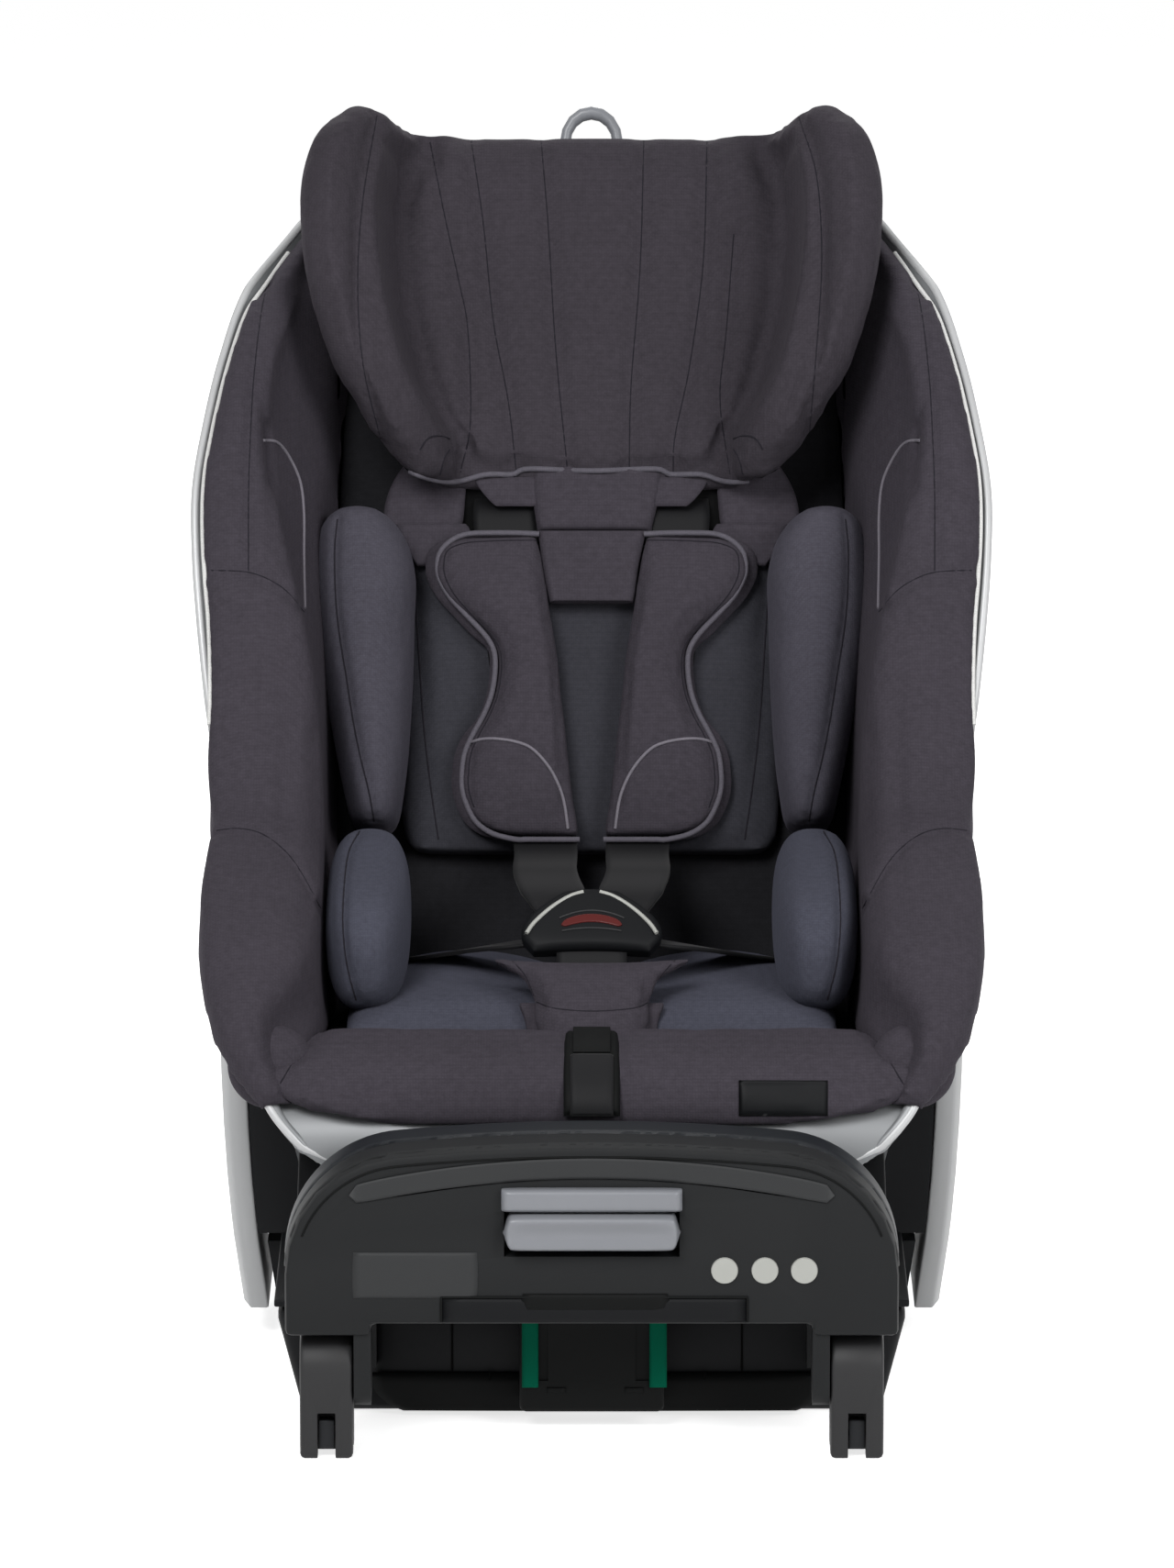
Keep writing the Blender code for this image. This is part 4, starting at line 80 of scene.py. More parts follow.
# curves through a few given values
def between(a, b, c, d, t):
    # Catmull-Rom from b to c
    bend, twist = 2 * a - 5 * b + 4 * c - d, 3 * b - a - 3 * c + d
    return 0.5 * (2 * b + (c - a) * t + bend * t ** 2 + twist * t ** 3)


def smoothAt(values, place):
    # place is counted in values
    i = min(max(int(place), 0), len(values) - 2)
    return between(*(values[max(min(j, len(values) - 1), 0)] for j in (i - 1, i, i + 1, i + 2)), place - i)


def tableAt(places, values, place):
    # the same curve where the rows aren't evenly spaced
    place = min(max(place, places[0]), places[-1])
    i = max(k for k in range(len(places) - 1) if places[k] <= place)
    return smoothAt(values, i + (place - places[i]) / (places[i + 1] - places[i]))


def closedAt(points, turn):
    # a smooth closed outline, turn 0 to 1
    place = (turn % 1) * len(points)
    i = int(place)
    return between(*(points[j % len(points)] for j in (i - 1, i, i + 1, i + 2)), place - i)


def smoothPath(points, steps):
    points = [Vector(p) for p in points]
    ends = [points[0] * 2 - points[1]] + points + [points[-1] * 2 - points[-2]]
    made = [smoothAt(ends, 1 + i + k / steps) for i in range(len(points) - 1) for k in range(steps)]
    return made + [points[-1]]


def evenPath(points, pitch):
    # the same path with points a fixed pitch apart
    lengths = [0]
    for a, b in zip(points, points[1:]):
        lengths.append(lengths[-1] + (b - a).length)
    count = max(int(lengths[-1] / pitch), 2)
    made, k = [], 0
    for i in range(count + 1):
        goal = lengths[-1] * i / count
        while k < len(points) - 2 and lengths[k + 1] < goal:
            k += 1
        span = max(lengths[k + 1] - lengths[k], 1e-9)
        made.append(points[k].lerp(points[k + 1], min(max((goal - lengths[k]) / span, 0), 1)))
    return made


def bellEdge(value, power):
    # full in the middle, drawn in to nothing at -1 and 1
    return max(1 - abs(value) ** power, 0) ** (1 / power)


def ramp(value):
    return min(max(value, 0), 1)


# the bucket's own coordinates, as the solids have them: shares of its depth and half width at each station
bucket = dict(panFront=Vector((-0.178, 0.176)), noseDrop=0.020, noseRadius=0.030, panLength=0.198,
              panSlope=math.radians(-6), cornerRadius=0.070, backLength=0.445, backAngle=math.radians(66),
              halfWidth=0.2195, wall=0.004, depth=0.200, corner=0.022)
rimForward = (0, 0, -0.02, -0.085, -0.181, -0.2755, -0.3945, -0.456, -0.491, -0.5095, -0.542, -0.564, -0.551,
              -0.5085, -0.4205, -0.295, -0.156)
rimUp = (0.03, 0.03, 0.06, 0.155, 0.346, 0.522, 0.6835, 0.7785, 0.778, 0.714, 0.6145, 0.515, 0.411, 0.2865,
         0.162, 0.0785, 0.0155)
bottomWidth = (0.533, 0.677, 0.767, 0.745, 0.736, 0.736, 0.736, 0.736, 0.731, 0.722, 0.713, 0.709, 0.700,
               0.686, 0.659, 0.619, 0.533)
rimWidth = (0.542, 0.700, 0.826, 0.891, 0.913, 0.910, 0.893, 0.922, 0.948, 0.968, 0.982, 0.984, 0.957, 0.921,
            0.865, 0.738, 0.609)
flare = (1, 1, 2, 4, 4, 4, 4, 4, 4, 3.5, 3, 2.5, 2.2, 2, 2, 1.5, 1.2)


def heading(angle):
    return Vector((math.cos(angle), math.sin(angle)))


def square(angle):
    return Vector((-math.sin(angle), math.cos(angle)))


noseArc = bucket["noseRadius"] * (math.pi / 2 - bucket["panSlope"])
cornerArc = bucket["cornerRadius"] * (bucket["backAngle"] - bucket["panSlope"])
sNose = bucket["noseDrop"] + noseArc
sPan = sNose + bucket["panLength"]
sCorner = sPan + cornerArc
sTop = sCorner + bucket["backLength"]
stations = ([0, bucket["noseDrop"], bucket["noseDrop"] + noseArc / 2, sNose]
            + [sNose + bucket["panLength"] * share for share in (0.25, 0.6, 1.0)]
            + [sPan + cornerArc / 2, sCorner]
            + [sCorner + bucket["backLength"] * share
               for share in (0.12, 0.255, 0.39, 0.525, 0.66, 0.795, 0.905, 1.0)])


def spine(s):
    # the middle line of the shell's inner face, nose to top, with its angle
    slope, radius, bend = bucket["panSlope"], bucket["noseRadius"], bucket["cornerRadius"]
    noseCentre = bucket["panFront"] - radius * square(slope)
    cornerCentre = bucket["panFront"] + bucket["panLength"] * heading(slope) + bend * square(slope)
    if s <= bucket["noseDrop"]:
        start = noseCentre + radius * square(math.pi / 2)
        return start + (s - bucket["noseDrop"]) * heading(math.pi / 2), math.pi / 2
    if s <= sNose:
        angle = math.pi / 2 - (s - bucket["noseDrop"]) / radius
        return noseCentre + radius * square(angle), angle
    if s <= sPan:
        return bucket["panFront"] + (s - sNose) * heading(slope), slope
    if s <= sCorner:
        angle = slope + (s - sPan) / bend
        return cornerCentre - bend * square(angle), angle
    start = cornerCentre - bend * square(bucket["backAngle"])
    return start + (s - sCorner) * heading(bucket["backAngle"]), bucket["backAngle"]


def onSpine(x, s, lift):
    point, angle = spine(s)
    return Vector((x, *(point + lift * square(angle))))


def onBack(x, up, lift):
    return onSpine(x, sCorner + up, lift)


def stationPlace(s):
    i = max([k for k in range(len(stations) - 1) if stations[k] <= s] or [0])
    return i + (s - stations[i]) / (stations[i + 1] - stations[i])


def stationFacts(place):
    i = min(int(place), len(stations) - 2)
    bottom, _ = spine(stations[i] + (stations[i + 1] - stations[i]) * (place - i))
    reach = bucket["depth"] * Vector((smoothAt(rimForward, place), smoothAt(rimUp, place)))
    half = bucket["halfWidth"]
    return (bottom, reach.normalized(), reach.length, half * smoothAt(bottomWidth, place),
            half * smoothAt(rimWidth, place), smoothAt(flare, place))


def inSection(place, x, depth):
    bottom, direction = stationFacts(place)[:2]
    return Vector((x, *(bottom + depth * direction)))


def wallProfile(place):
    # half of the shell's inner outline, middle to rim, as (x, depth)
    _, _, depth, bottom, rim, power = stationFacts(place)
    radius = min(bucket["corner"], 0.45 * depth)
    corner = radius * (1 - math.sqrt(0.5))
    points = [(0, 0), (bottom * 0.6, 0), (bottom - radius, 0), (bottom - corner, corner), (bottom, radius)]
    for share in (0.6, 0.78, 0.9, 1.0):
        points.append((bottom + (rim - bottom) * share ** power, depth * share))
    return [Vector(p) for p in points]


def offsetProfile(profile, distance):
    moved = []
    for i, point in enumerate(profile):
        along = (profile[min(i + 1, len(profile) - 1)] - profile[max(i - 1, 0)]).normalized()
        moved.append(Vector((0 if i == 0 else point.x + along.y * distance, point.y - along.x * distance)))
    return moved


# making pieces
def finishPiece(name, bm, material, sharp=None):
    mesh = bpy.data.meshes.new(name)
    bm.normal_update()
    bmesh.ops.recalc_face_normals(bm, faces=bm.faces)
    bm.to_mesh(mesh)
    bm.free()
    obj = bpy.data.objects.new(name, mesh)
    scene.collection.objects.link(obj)
    mesh.materials.append(material)
    mesh.shade_smooth()
    if sharp:
        mesh.set_sharp_from_angle(angle=math.radians(sharp))
    return obj


def fitted(piece, body, slotName=None, node=None, fill=None):
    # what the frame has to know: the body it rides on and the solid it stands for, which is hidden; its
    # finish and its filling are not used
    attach(piece, body)
    if node:
        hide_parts(node)
    return piece


def block(cuts):
    # a cube from -1 to 1, cut into cells along each axis
    bm = bmesh.new()
    bmesh.ops.create_cube(bm, size=2)
    for axis, count in enumerate(cuts):
        lines = [e for e in bm.edges if abs(e.verts[0].co[axis] - e.verts[1].co[axis]) > 1.9]
        bmesh.ops.subdivide_edges(bm, edges=lines, cuts=count, use_grid_fill=True)
    return bm


def grid(across, along):
    bm = bmesh.new()
    bmesh.ops.create_grid(bm, x_segments=across, y_segments=along, size=1)
    return bm


def placed(bm, place):
    for vertex in bm.verts:
        vertex.co = place(*vertex.co)
    return bm


def shaped(name, cuts, place, material):
    return finishPiece(name, placed(block(cuts), place), material)


def roll(around, along, place):
    # a closed roll: place(turn, share) gives each point
    bm = bmesh.new()
    bmesh.ops.create_cone(bm, cap_ends=True, segments=around, radius1=1, radius2=1, depth=2)
    lines = [e for e in bm.edges if abs(e.verts[0].co.z - e.verts[1].co.z) > 1]
    bmesh.ops.subdivide_edges(bm, edges=lines, cuts=along - 1, use_grid_fill=True)
    for vertex in bm.verts:
        turn = math.atan2(vertex.co.y, vertex.co.x) / (2 * math.pi) % 1
        vertex.co = place(turn, (vertex.co.z + 1) / 2)
    return bm


def applied(obj):
    # the piece takes the mesh that its modifiers make of it
    bpy.context.view_layer.update()
    evaluated = obj.evaluated_get(bpy.context.evaluated_depsgraph_get())
    mesh, old = bpy.data.meshes.new_from_object(evaluated), obj.data
    for material in old.materials:
        if material.name not in mesh.materials:
            mesh.materials.append(material)
    obj.modifiers.clear()
    obj.data = mesh
    mesh.shade_smooth()
    bpy.data.meshes.remove(old)
    return obj


def modified(obj, kind, **settings):
    modifier = obj.modifiers.new(kind.title(), kind)
    for word, value in settings.items():
        setattr(modifier, word, value)
    return applied(obj)


def subdivided(obj):
    return modified(obj, "SUBSURF", levels=1, render_levels=1)


def puff(obj, voxel, cap, shrink, held=None, pressure=4.0, frames=20):
    # the pad is shrunk a little and blown up as cloth; held(point) keeps what rests on something
    modified(obj, "REMESH", mode="VOXEL", voxel_size=voxel, use_smooth_shade=True)
    mesh = obj.data
    before = [v.co.copy() for v in mesh.vertices]
    free = [1 - held(co) if held else 1 for co in before]
    normals = [v.normal.copy() for v in mesh.vertices]
    for v, n, share in zip(mesh.vertices, normals, free):
        v.co = v.co - n * shrink * share
    cloth = obj.modifiers.new("Cloth", "CLOTH")
    cloth.settings.use_pressure = True
    cloth.settings.uniform_pressure_force = pressure
    cloth.settings.effector_weights.gravity = 0
    cloth.settings.quality = 5
    cloth.collision_settings.use_collision = False
    cloth.collision_settings.use_self_collision = False
    cloth.point_cache.frame_start, cloth.point_cache.frame_end = 1, frames
    for step in range(1, frames + 1):
        scene.frame_set(step)
    evaluated = obj.evaluated_get(bpy.context.evaluated_depsgraph_get())
    after = [v.co.copy() for v in evaluated.data.vertices]
    obj.modifiers.clear()
    scene.frame_set(1)
    for v, start, end, share in zip(mesh.vertices, before, after, free):
        move = end - start
        if move.length > cap:
            move *= cap / move.length
        v.co = start + move * share
    mesh.update()
    return subdivided(obj)


def mirroredPiece(obj, name):
    # the other side's piece, turned right side out
    bm = bmesh.new()
    bm.from_mesh(obj.data)
    bmesh.ops.transform(bm, matrix=Matrix.Diagonal((-1, 1, 1, 1)), verts=bm.verts)
    bmesh.ops.reverse_faces(bm, faces=bm.faces)
    mesh = bpy.data.meshes.new(name)
    bm.to_mesh(mesh)
    bm.free()
    for material in obj.data.materials:
        mesh.materials.append(material)
    mesh.shade_smooth()
    twin = bpy.data.objects.new(name, mesh)
    scene.collection.objects.link(twin)
    return twin


def bothSides(paths):
    return paths + [[Vector((-p.x, p.y, p.z)) for p in path] for path in paths]


# lines drawn on the photograph, and their places on the object
def pixelRay(u, v):
    direction = (sight + Vector((1, 0, 0)) * (u - photo["width"] / 2) / photo["focus"]
                 + skyward * (photo["height"] / 2 - v) / photo["focus"])
    return direction.normalized()


def onPlane(u, v, origin, normal):
    ray = pixelRay(u, v)
    return eye + ray * ((origin - eye).dot(normal) / ray.dot(normal))


def flipPixels(pixels):
    return [(2 * photo["middle"] - u, v) for u, v in pixels]


def treeOf(obj):
    bm = bmesh.new()
    bm.from_mesh(obj.data)
    tree = BVHTree.FromBMesh(bm)
    bm.free()
    return tree


def pixelPath(tree, pixels, pitch=0.0015, lift=0.0):
    # a line of the photograph laid on a piece's face
    found = []
    for u, v, _ in evenPath(smoothPath([(u, v, 0) for u, v in pixels], 8), 2.0):
        hit, normal, _, _ = tree.ray_cast(eye, pixelRay(u, v))
        if hit is not None and (not found or (hit - found[-1]).length < 0.02):
            found.append(hit + normal * lift)
    for _ in range(2):
        found = found[:1] + [(a + 2 * b + c) / 4 for a, b, c in zip(found, found[1:], found[2:])] + found[-1:]
    return evenPath(found, pitch) if len(found) > 2 else []


def pressSeams(obj, paths, width, depth, pucker=0.3):
    # the cloth sinks along each path, with small puckers
    points = [p for path in paths for p in path]
    near = kdtree.KDTree(len(points))
    for i, p in enumerate(points):
        near.insert(p, i)
    near.balance()
    moves = {}
    for v in obj.data.vertices:
        _, _, distance = near.find(v.co)
        if distance < width * 2.5:
            ripple = 1 + pucker * noise.noise(v.co * 260)
            moves[v.index] = v.normal * (depth * ripple * math.exp(-(distance / width) ** 2))
    for index, move in moves.items():
        obj.data.vertices[index].co -= move
    obj.data.update()


def sewn(obj, seams, width=0.0035, depth=0.0014, lift=-0.0001):
    # sewn lines: pressed in, and given back as paths for their seam cords
    tree = treeOf(obj)
    pressSeams(obj, [pixelPath(tree, line) for line in seams], width, depth)
    tree = treeOf(obj)
    return tree, [pixelPath(tree, line, sewing["pitch"], lift) for line in seams]


def cordsAlong(name, paths, radius, material, body, slotName=None, sides=2):
    # piping, thread or wire along each path, in one piece
    bm = bmesh.new()
    for path in paths:
        if len(path) < 2:
            continue
        curve = bpy.data.curves.new(name, "CURVE")
        curve.dimensions = "3D"
        curve.bevel_depth = radius
        curve.bevel_resolution = sides
        curve.use_fill_caps = True
        spline = curve.splines.new("POLY")
        spline.points.add(len(path) - 1)
        for point, place in zip(spline.points, path):
            point.co = (*place, 1)
        guide = bpy.data.objects.new(name, curve)
        scene.collection.objects.link(guide)
        bpy.context.view_layer.update()
        mesh = bpy.data.meshes.new_from_object(guide.evaluated_get(bpy.context.evaluated_depsgraph_get()))
        bpy.data.objects.remove(guide)
        bpy.data.curves.remove(curve)
        bm.from_mesh(mesh)
        bpy.data.meshes.remove(mesh)
    return fitted(finishPiece(name, bm, material), body, slotName)


# radius of each thread, piping and binding, and the pitch of their points
sewing = dict(thread=0.0005, headThread=0.00045, fineThread=0.0004, contrast=0.0009, edge=0.0013,
              binding=0.0016, pitch=0.002, widePitch=0.003)


# materials: one function adds a node, one for each way a surface is made
def toLinear(hexCode):
    channels = [int(hexCode[i:i + 2], 16) / 255 for i in (1, 3, 5)]
    return [c / 12.92 if c <= 0.04045 else ((c + 0.055) / 1.055) ** 2.4 for c in channels] + [1.0]


def tinted(hexCode, share, extra=0.0):
    return [min(c * share + extra, 1) for c in toLinear(hexCode)[:3]] + [1]


def addNode(tree, kind, inputs=None, **settings):
    node = tree.nodes.new(kind)
    for word, value in settings.items():
        setattr(node, word, value)
    for socket, value in (inputs or {}).items():
        if isinstance(value, bpy.types.NodeSocket):
            tree.links.new(value, node.inputs[socket])
        else:
            node.inputs[socket].default_value = value
    return node


def emptyMaterial(name):
    material = bpy.data.materials.new(name)
    material.use_nodes = True
    material.node_tree.nodes.clear()
    return material, material.node_tree


def clothFinish(name, colour, thread=1.5, shade=0.14, depth=0.35, sheen=0.25):
    # woven or knitted polyester: matt, with thread dots, a melange of two yarns and slow tone changes
    material, tree = emptyMaterial(name)
    place = addNode(tree, "ShaderNodeTexCoord").outputs["Object"]
    dots = addNode(tree, "ShaderNodeTexVoronoi", {"Vector": place, "Scale": 1000 / thread,
                                                  "Randomness": 0.35})
    yarn = addNode(tree, "ShaderNodeTexNoise", {"Vector": place, "Scale": 1000 / (thread * 2.6), "Detail": 3})
    tone = addNode(tree, "ShaderNodeTexNoise", {"Vector": place, "Scale": 11, "Detail": 2})
    share = addNode(tree, "ShaderNodeMapRange", {"Value": yarn.outputs["Fac"], "To Min": -0.6, "To Max": 1.6})
    light = tinted(colour, 1 + shade)
    melange = addNode(tree, "ShaderNodeMix", {0: share.outputs[0], 6: tinted(colour, 1 - shade), 7: light},
                      data_type="RGBA")
    # the hollows between the thread dots are darkened: painted shade
    gapShade = addNode(tree, "ShaderNodeMapRange", {"Value": dots.outputs["Distance"], "To Min": 1.06,
                                                "To Max": 0.72})
    slow = addNode(tree, "ShaderNodeMapRange", {"Value": tone.outputs["Fac"], "To Min": 0.86, "To Max": 1.14})
    level = addNode(tree, "ShaderNodeMath", {0: gapShade.outputs[0], 1: slow.outputs[0]},
                    operation="MULTIPLY").outputs[0]
    grey = addNode(tree, "ShaderNodeCombineColor", {0: level, 1: level, 2: level})
    yarns = addNode(tree, "ShaderNodeMix", {0: 1.0, 6: melange.outputs[2], 7: grey.outputs[0]},
                    data_type="RGBA", blend_type="MULTIPLY")
    bump = addNode(tree, "ShaderNodeBump", {"Height": dots.outputs["Distance"], "Strength": depth,
                                            "Distance": thread / 2500}, invert=True)
    shader = addNode(tree, "ShaderNodeBsdfPrincipled", {
        "Base Color": yarns.outputs[2], "Roughness": 0.92, "Normal": bump.outputs[0], "Sheen Weight": sheen,
        "Sheen Roughness": 0.45, "Sheen Tint": light, "Specular IOR Level": 0.15})
    addNode(tree, "ShaderNodeOutputMaterial", {"Surface": shader.outputs[0]})
    return material


def strapFinish(name, colour, rib=3.4, tick=1.7):
    # polyester webbing: lengthwise ribs and fine cross threads, read from the strap's own UV map in metres
    material, tree = emptyMaterial(name)
    uv = addNode(tree, "ShaderNodeUVMap", uv_map="UVMap").outputs[0]
    parts = addNode(tree, "ShaderNodeSeparateXYZ", {0: uv})
    waves = []
    for source, pitch in ((parts.outputs[0], rib), (parts.outputs[1], tick)):
        turned = addNode(tree, "ShaderNodeMath", {0: source, 1: 2000 * math.pi / pitch}, operation="MULTIPLY")
        swing = addNode(tree, "ShaderNodeMath", {0: turned.outputs[0]}, operation="SINE")
        wave = addNode(tree, "ShaderNodeMapRange", {"Value": swing.outputs[0], "From Min": -1})
        waves.append(wave.outputs[0])
    ribs, ticks = waves
    height = addNode(tree, "ShaderNodeMath", {0: ribs, 1: ticks, 2: 0.0}, operation="MULTIPLY_ADD").outputs[0]
    both = addNode(tree, "ShaderNodeMath", {0: ribs, 1: height}, operation="ADD").outputs[0]
    share = addNode(tree, "ShaderNodeMapRange", {"Value": both, "To Min": 0, "To Max": 0.55}).outputs[0]
    # the colour follows the ribs' height: darker in the valleys as painted shade, lighter on the ridges as
    # painted highlight
    ribShading = addNode(tree, "ShaderNodeMix", {0: share, 6: tinted(colour, 0.55), 7: tinted(colour, 1.35)},
                    data_type="RGBA")
    bump = addNode(tree, "ShaderNodeBump", {"Height": both, "Strength": 0.6, "Distance": 0.0004})
    shader = addNode(tree, "ShaderNodeBsdfPrincipled", {
        "Base Color": ribShading.outputs[2], "Roughness": 0.62, "Normal": bump.outputs[0], "Sheen Weight": 0.05,
        "Specular IOR Level": 0.18})
    addNode(tree, "ShaderNodeOutputMaterial", {"Surface": shader.outputs[0]})
    return material


def mouldedFinish(name, colour, roughness=0.5, grain=0.6, depth=0.12, wear=0.16, metallic=0.0, shine=0.5):
    # injection-moulded plastic or worked metal: etched grain, uneven gloss, edges made lighter
    material, tree = emptyMaterial(name)
    place = addNode(tree, "ShaderNodeTexCoord").outputs["Object"]
    fine = addNode(tree, "ShaderNodeTexNoise", {"Vector": place, "Scale": 1000 / grain, "Detail": 2})
    slow = addNode(tree, "ShaderNodeTexNoise", {"Vector": place, "Scale": 14, "Detail": 4}).outputs["Fac"]
    body = addNode(tree, "ShaderNodeMix", {0: slow, 6: tinted(colour, 0.93), 7: tinted(colour, 1.07)},
                   data_type="RGBA").outputs[2]
    edge = addNode(tree, "ShaderNodeNewGeometry").outputs["Pointiness"]
    edge = addNode(tree, "ShaderNodeMapRange", {"Value": edge, "From Min": 0.52, "From Max": 0.62,
                                                "To Max": wear}).outputs[0]
    edgeLightened = addNode(tree, "ShaderNodeMix", {0: edge, 6: body, 7: tinted(colour, 1.35, 0.012)},
                   data_type="RGBA")
    gloss = addNode(tree, "ShaderNodeMapRange", {"Value": slow, "To Min": roughness - 0.07,
                                                 "To Max": roughness + 0.07})
    bump = addNode(tree, "ShaderNodeBump", {"Height": fine.outputs["Fac"], "Strength": depth,
                                            "Distance": grain / 4000})
    shader = addNode(tree, "ShaderNodeBsdfPrincipled", {
        "Base Color": edgeLightened.outputs[2], "Roughness": gloss.outputs[0], "Normal": bump.outputs[0],
        "Metallic": metallic, "Specular IOR Level": shine})
    addNode(tree, "ShaderNodeOutputMaterial", {"Surface": shader.outputs[0]})
    return material


# solution-dyed woven polyester of the cover: warm charcoal, with a darker copy on the headrest as painted
# shade
coverCloth = clothFinish("Woven polyester, charcoal", "#3d3940", 1.5, 0.12)
headShadeCloth = clothFinish("Woven polyester, charcoal, painted headrest shade", "#39353b", 1.5, 0.12)
# brushed knit on the baby insert, cooler and softer, with a darker copy as painted shade on its back panel
insertCloth = clothFinish("Brushed jersey, blue-grey", "#48464f", 1.2, 0.10, 0.25, 0.35)
insertBlue = clothFinish("Brushed jersey, grey-blue", "#444550", 1.2, 0.10, 0.25, 0.35)
insertShade = clothFinish("Brushed jersey, painted shade", "#35353b", 1.2, 0.10, 0.25, 0.35)
# the cover cloth painted near black under the insert as painted shade, and nearly lightless as painted shadow
# in deep openings
paintedShadeCloth = clothFinish("Woven polyester, painted shade", "#1d1d20", 1.5, 0.12)
# nearly lightless cloth, used as painted shadow in clefts and openings
shadowCloth = clothFinish("Painted shadow cloth, near black", "#0a0a0b", 1.5, 0.1, 0.2, 0.0)
# corded piping and seam cords: pale reflective edge, grey contrast lines, folded binding, and dark seam cords
bindingCloth = clothFinish("Folded binding tape, grey", "#5a575f", 1.0, 0.08, 0.25)
paleCord = clothFinish("Braided piping, pale", "#dcdcda", 0.8, 0.05, 0.3, 0.1)
greyCord = clothFinish("Braided piping, grey", "#77737b", 0.8, 0.06, 0.3, 0.1)
# dark seam cord: the thread, and painted shade of each seam's inward fold
seamShadeThread = clothFinish("Seam cord, dark, painted fold shade", "#232127", 0.6, 0.1, 0.3, 0.1)
beltWeb = strapFinish("Polyester webbing, black", "#08080b")
# satin painted ABS: smooth, slightly metallic silver, in three levels set by how light falls on each part
# darker on the shell and cheeks as painted shade under the lip
shadedSilverAbs = mouldedFinish("Satin silver ABS, painted shade", "#7f8183", 0.38, 0.4, 0.04, 0.3, 0.15, 0.4)
# lightest on the rim bead as painted highlight
highlightSilverAbs = mouldedFinish("Satin silver ABS, rim painted highlight", "#b6b7b8", 0.38, 0.4, 0.04, 0.2, 0.1, 0.4)
# between on the arms, as painted shade against the lamps' hard light on them
armShadeSilverAbs = mouldedFinish("Satin silver ABS, arm painted shade", "#a9aaab", 0.4, 0.4, 0.04, 0.3, 0.1, 0.3)
# moulded polypropylene and ABS: fine etched grain, low gloss
blackPp = mouldedFinish("Moulded polypropylene, black", "#0d0e10", 0.55, 0.7, 0.2, 0.1, 0.0, 0.12)
# lighter bluish slate for the bar's crown band: painted highlight along the top
crownHighlightPp = mouldedFinish("Moulded polypropylene, painted highlight, slate", "#14171b", 0.46, 0.7, 0.18, 0.1, 0.0, 0.2)
facePp = mouldedFinish("Moulded polypropylene, charcoal", "#1b1c1d", 0.55, 0.7, 0.2, 0.1, 0.0, 0.13)
greyPp = mouldedFinish("Moulded polypropylene, grey", "#29292a", 0.5, 0.7, 0.2, 0.12, 0.0, 0.2)
gripPp = mouldedFinish("Etched polypropylene, grey", "#292a2b", 0.56, 0.5, 0.3, 0.1, 0.0, 0.22)
deepPp = mouldedFinish("Moulded polypropylene, deep black", "#070808", 0.6, 0.7, 0.15, 0.05, 0.0, 0.1)
jointPp = mouldedFinish("Moulded polypropylene, joint black", "#030303", 0.7, 0.7, 0.1, 0.0, 0.0, 0.05)
handleAbs = mouldedFinish("Moulded ABS, grey", "#74767b", 0.36, 0.4, 0.06, 0.3)
discAbs = mouldedFinish("Moulded ABS, pale grey", "#9b9c97", 0.4, 0.4, 0.05)
redAbs = mouldedFinish("Moulded ABS, red", "#4a0c09", 0.35, 0.4, 0.05, 0.1, 0.0, 0.25)
greenPom = mouldedFinish("Moulded acetal, green", "#035842", 0.6, 0.4, 0.06, 0.05, 0.0, 0.03)
# worked steel: plated and bright, or phosphated and dark
zincSteel = mouldedFinish("Zinc-plated steel", "#77797d", 0.35, 0.9, 0.05, 0.2, 1.0, 0.5)
darkSteel = mouldedFinish("Phosphated steel, dark", "#232426", 0.45, 0.9, 0.08, 0.1, 0.8, 0.4)
print("materials made")


# headrest: a padded U with two wings
headrest = dict(bottom=0.252, length=0.1975, halfWidth=0.1615, depth=0.142, back=0.022, wall=0.003,
                padBack=0.026, rim=0.033, up=(0.0, 0.10, 0.28, 0.5, 0.72, 0.9, 1.0),
                width=(0.66, 0.77, 0.90, 0.98, 1.0, 0.96, 0.87),
                reach=(0.58, 0.74, 0.90, 0.98, 1.0, 0.92, 0.78), voxel=0.0045, cap=0.005, shrink=0.0025,
                drop=0.011, spare=0.016)


def headrestLines(share):
    # the pad's outer and inner line at a height, middle to wing tip, as (x, lift)
    width = headrest["halfWidth"] * tableAt(headrest["up"], headrest["width"], share)
    depth = headrest["depth"] * tableAt(headrest["up"], headrest["reach"], share)
    back, rim, inset = headrest["back"], headrest["rim"], headrest["wall"] + 0.001
    outer = [(0, 0), (0.34, 0), (0.60, 0), (0.78, 0.13), (0.895, 0.36), (0.965, 0.64)]
    outer = offsetProfile([Vector((width * a, back + (depth - back) * b)) for a, b in outer], -inset)
    back = outer[0].y
    reach, face = depth - back, back + headrest["padBack"]
    outer += [Vector((outer[-1].x, back + reach * 0.7)), Vector((width, back + reach * 0.77)),
              Vector((width * 0.985, back + reach * 0.93))]
    inner = [(0, face), (width * 0.2, face), (width * 0.38, face),
             (width * 0.55, face + (depth - face) * 0.06), (width - rim * 1.6, back + reach * 0.26),
             (width - rim * 1.35, back + reach * 0.44), (width - rim * 1.2, back + reach * 0.66),
             (width - rim * 1.05, back + reach * 0.9), (width - rim * 0.5, depth + rim * 0.12)]
    return outer, [Vector(p) for p in inner]


def onHeadrest(u, v, w):
    share = (v + 1) / 2
    outer, inner = headrestLines(share)
    place = abs(u) * (len(outer) - 1)
    a, b = smoothAt(outer, place), smoothAt(inner, place)
    point = (a + b) / 2 + (b - a) / 2 * (0.35 + 0.65 * bellEdge(v, 5)) * w
    up = headrest["bottom"] - headrest["drop"] + (headrest["length"] + headrest["spare"]) * share
    return onBack(math.copysign(point.x, u), up, point.y)
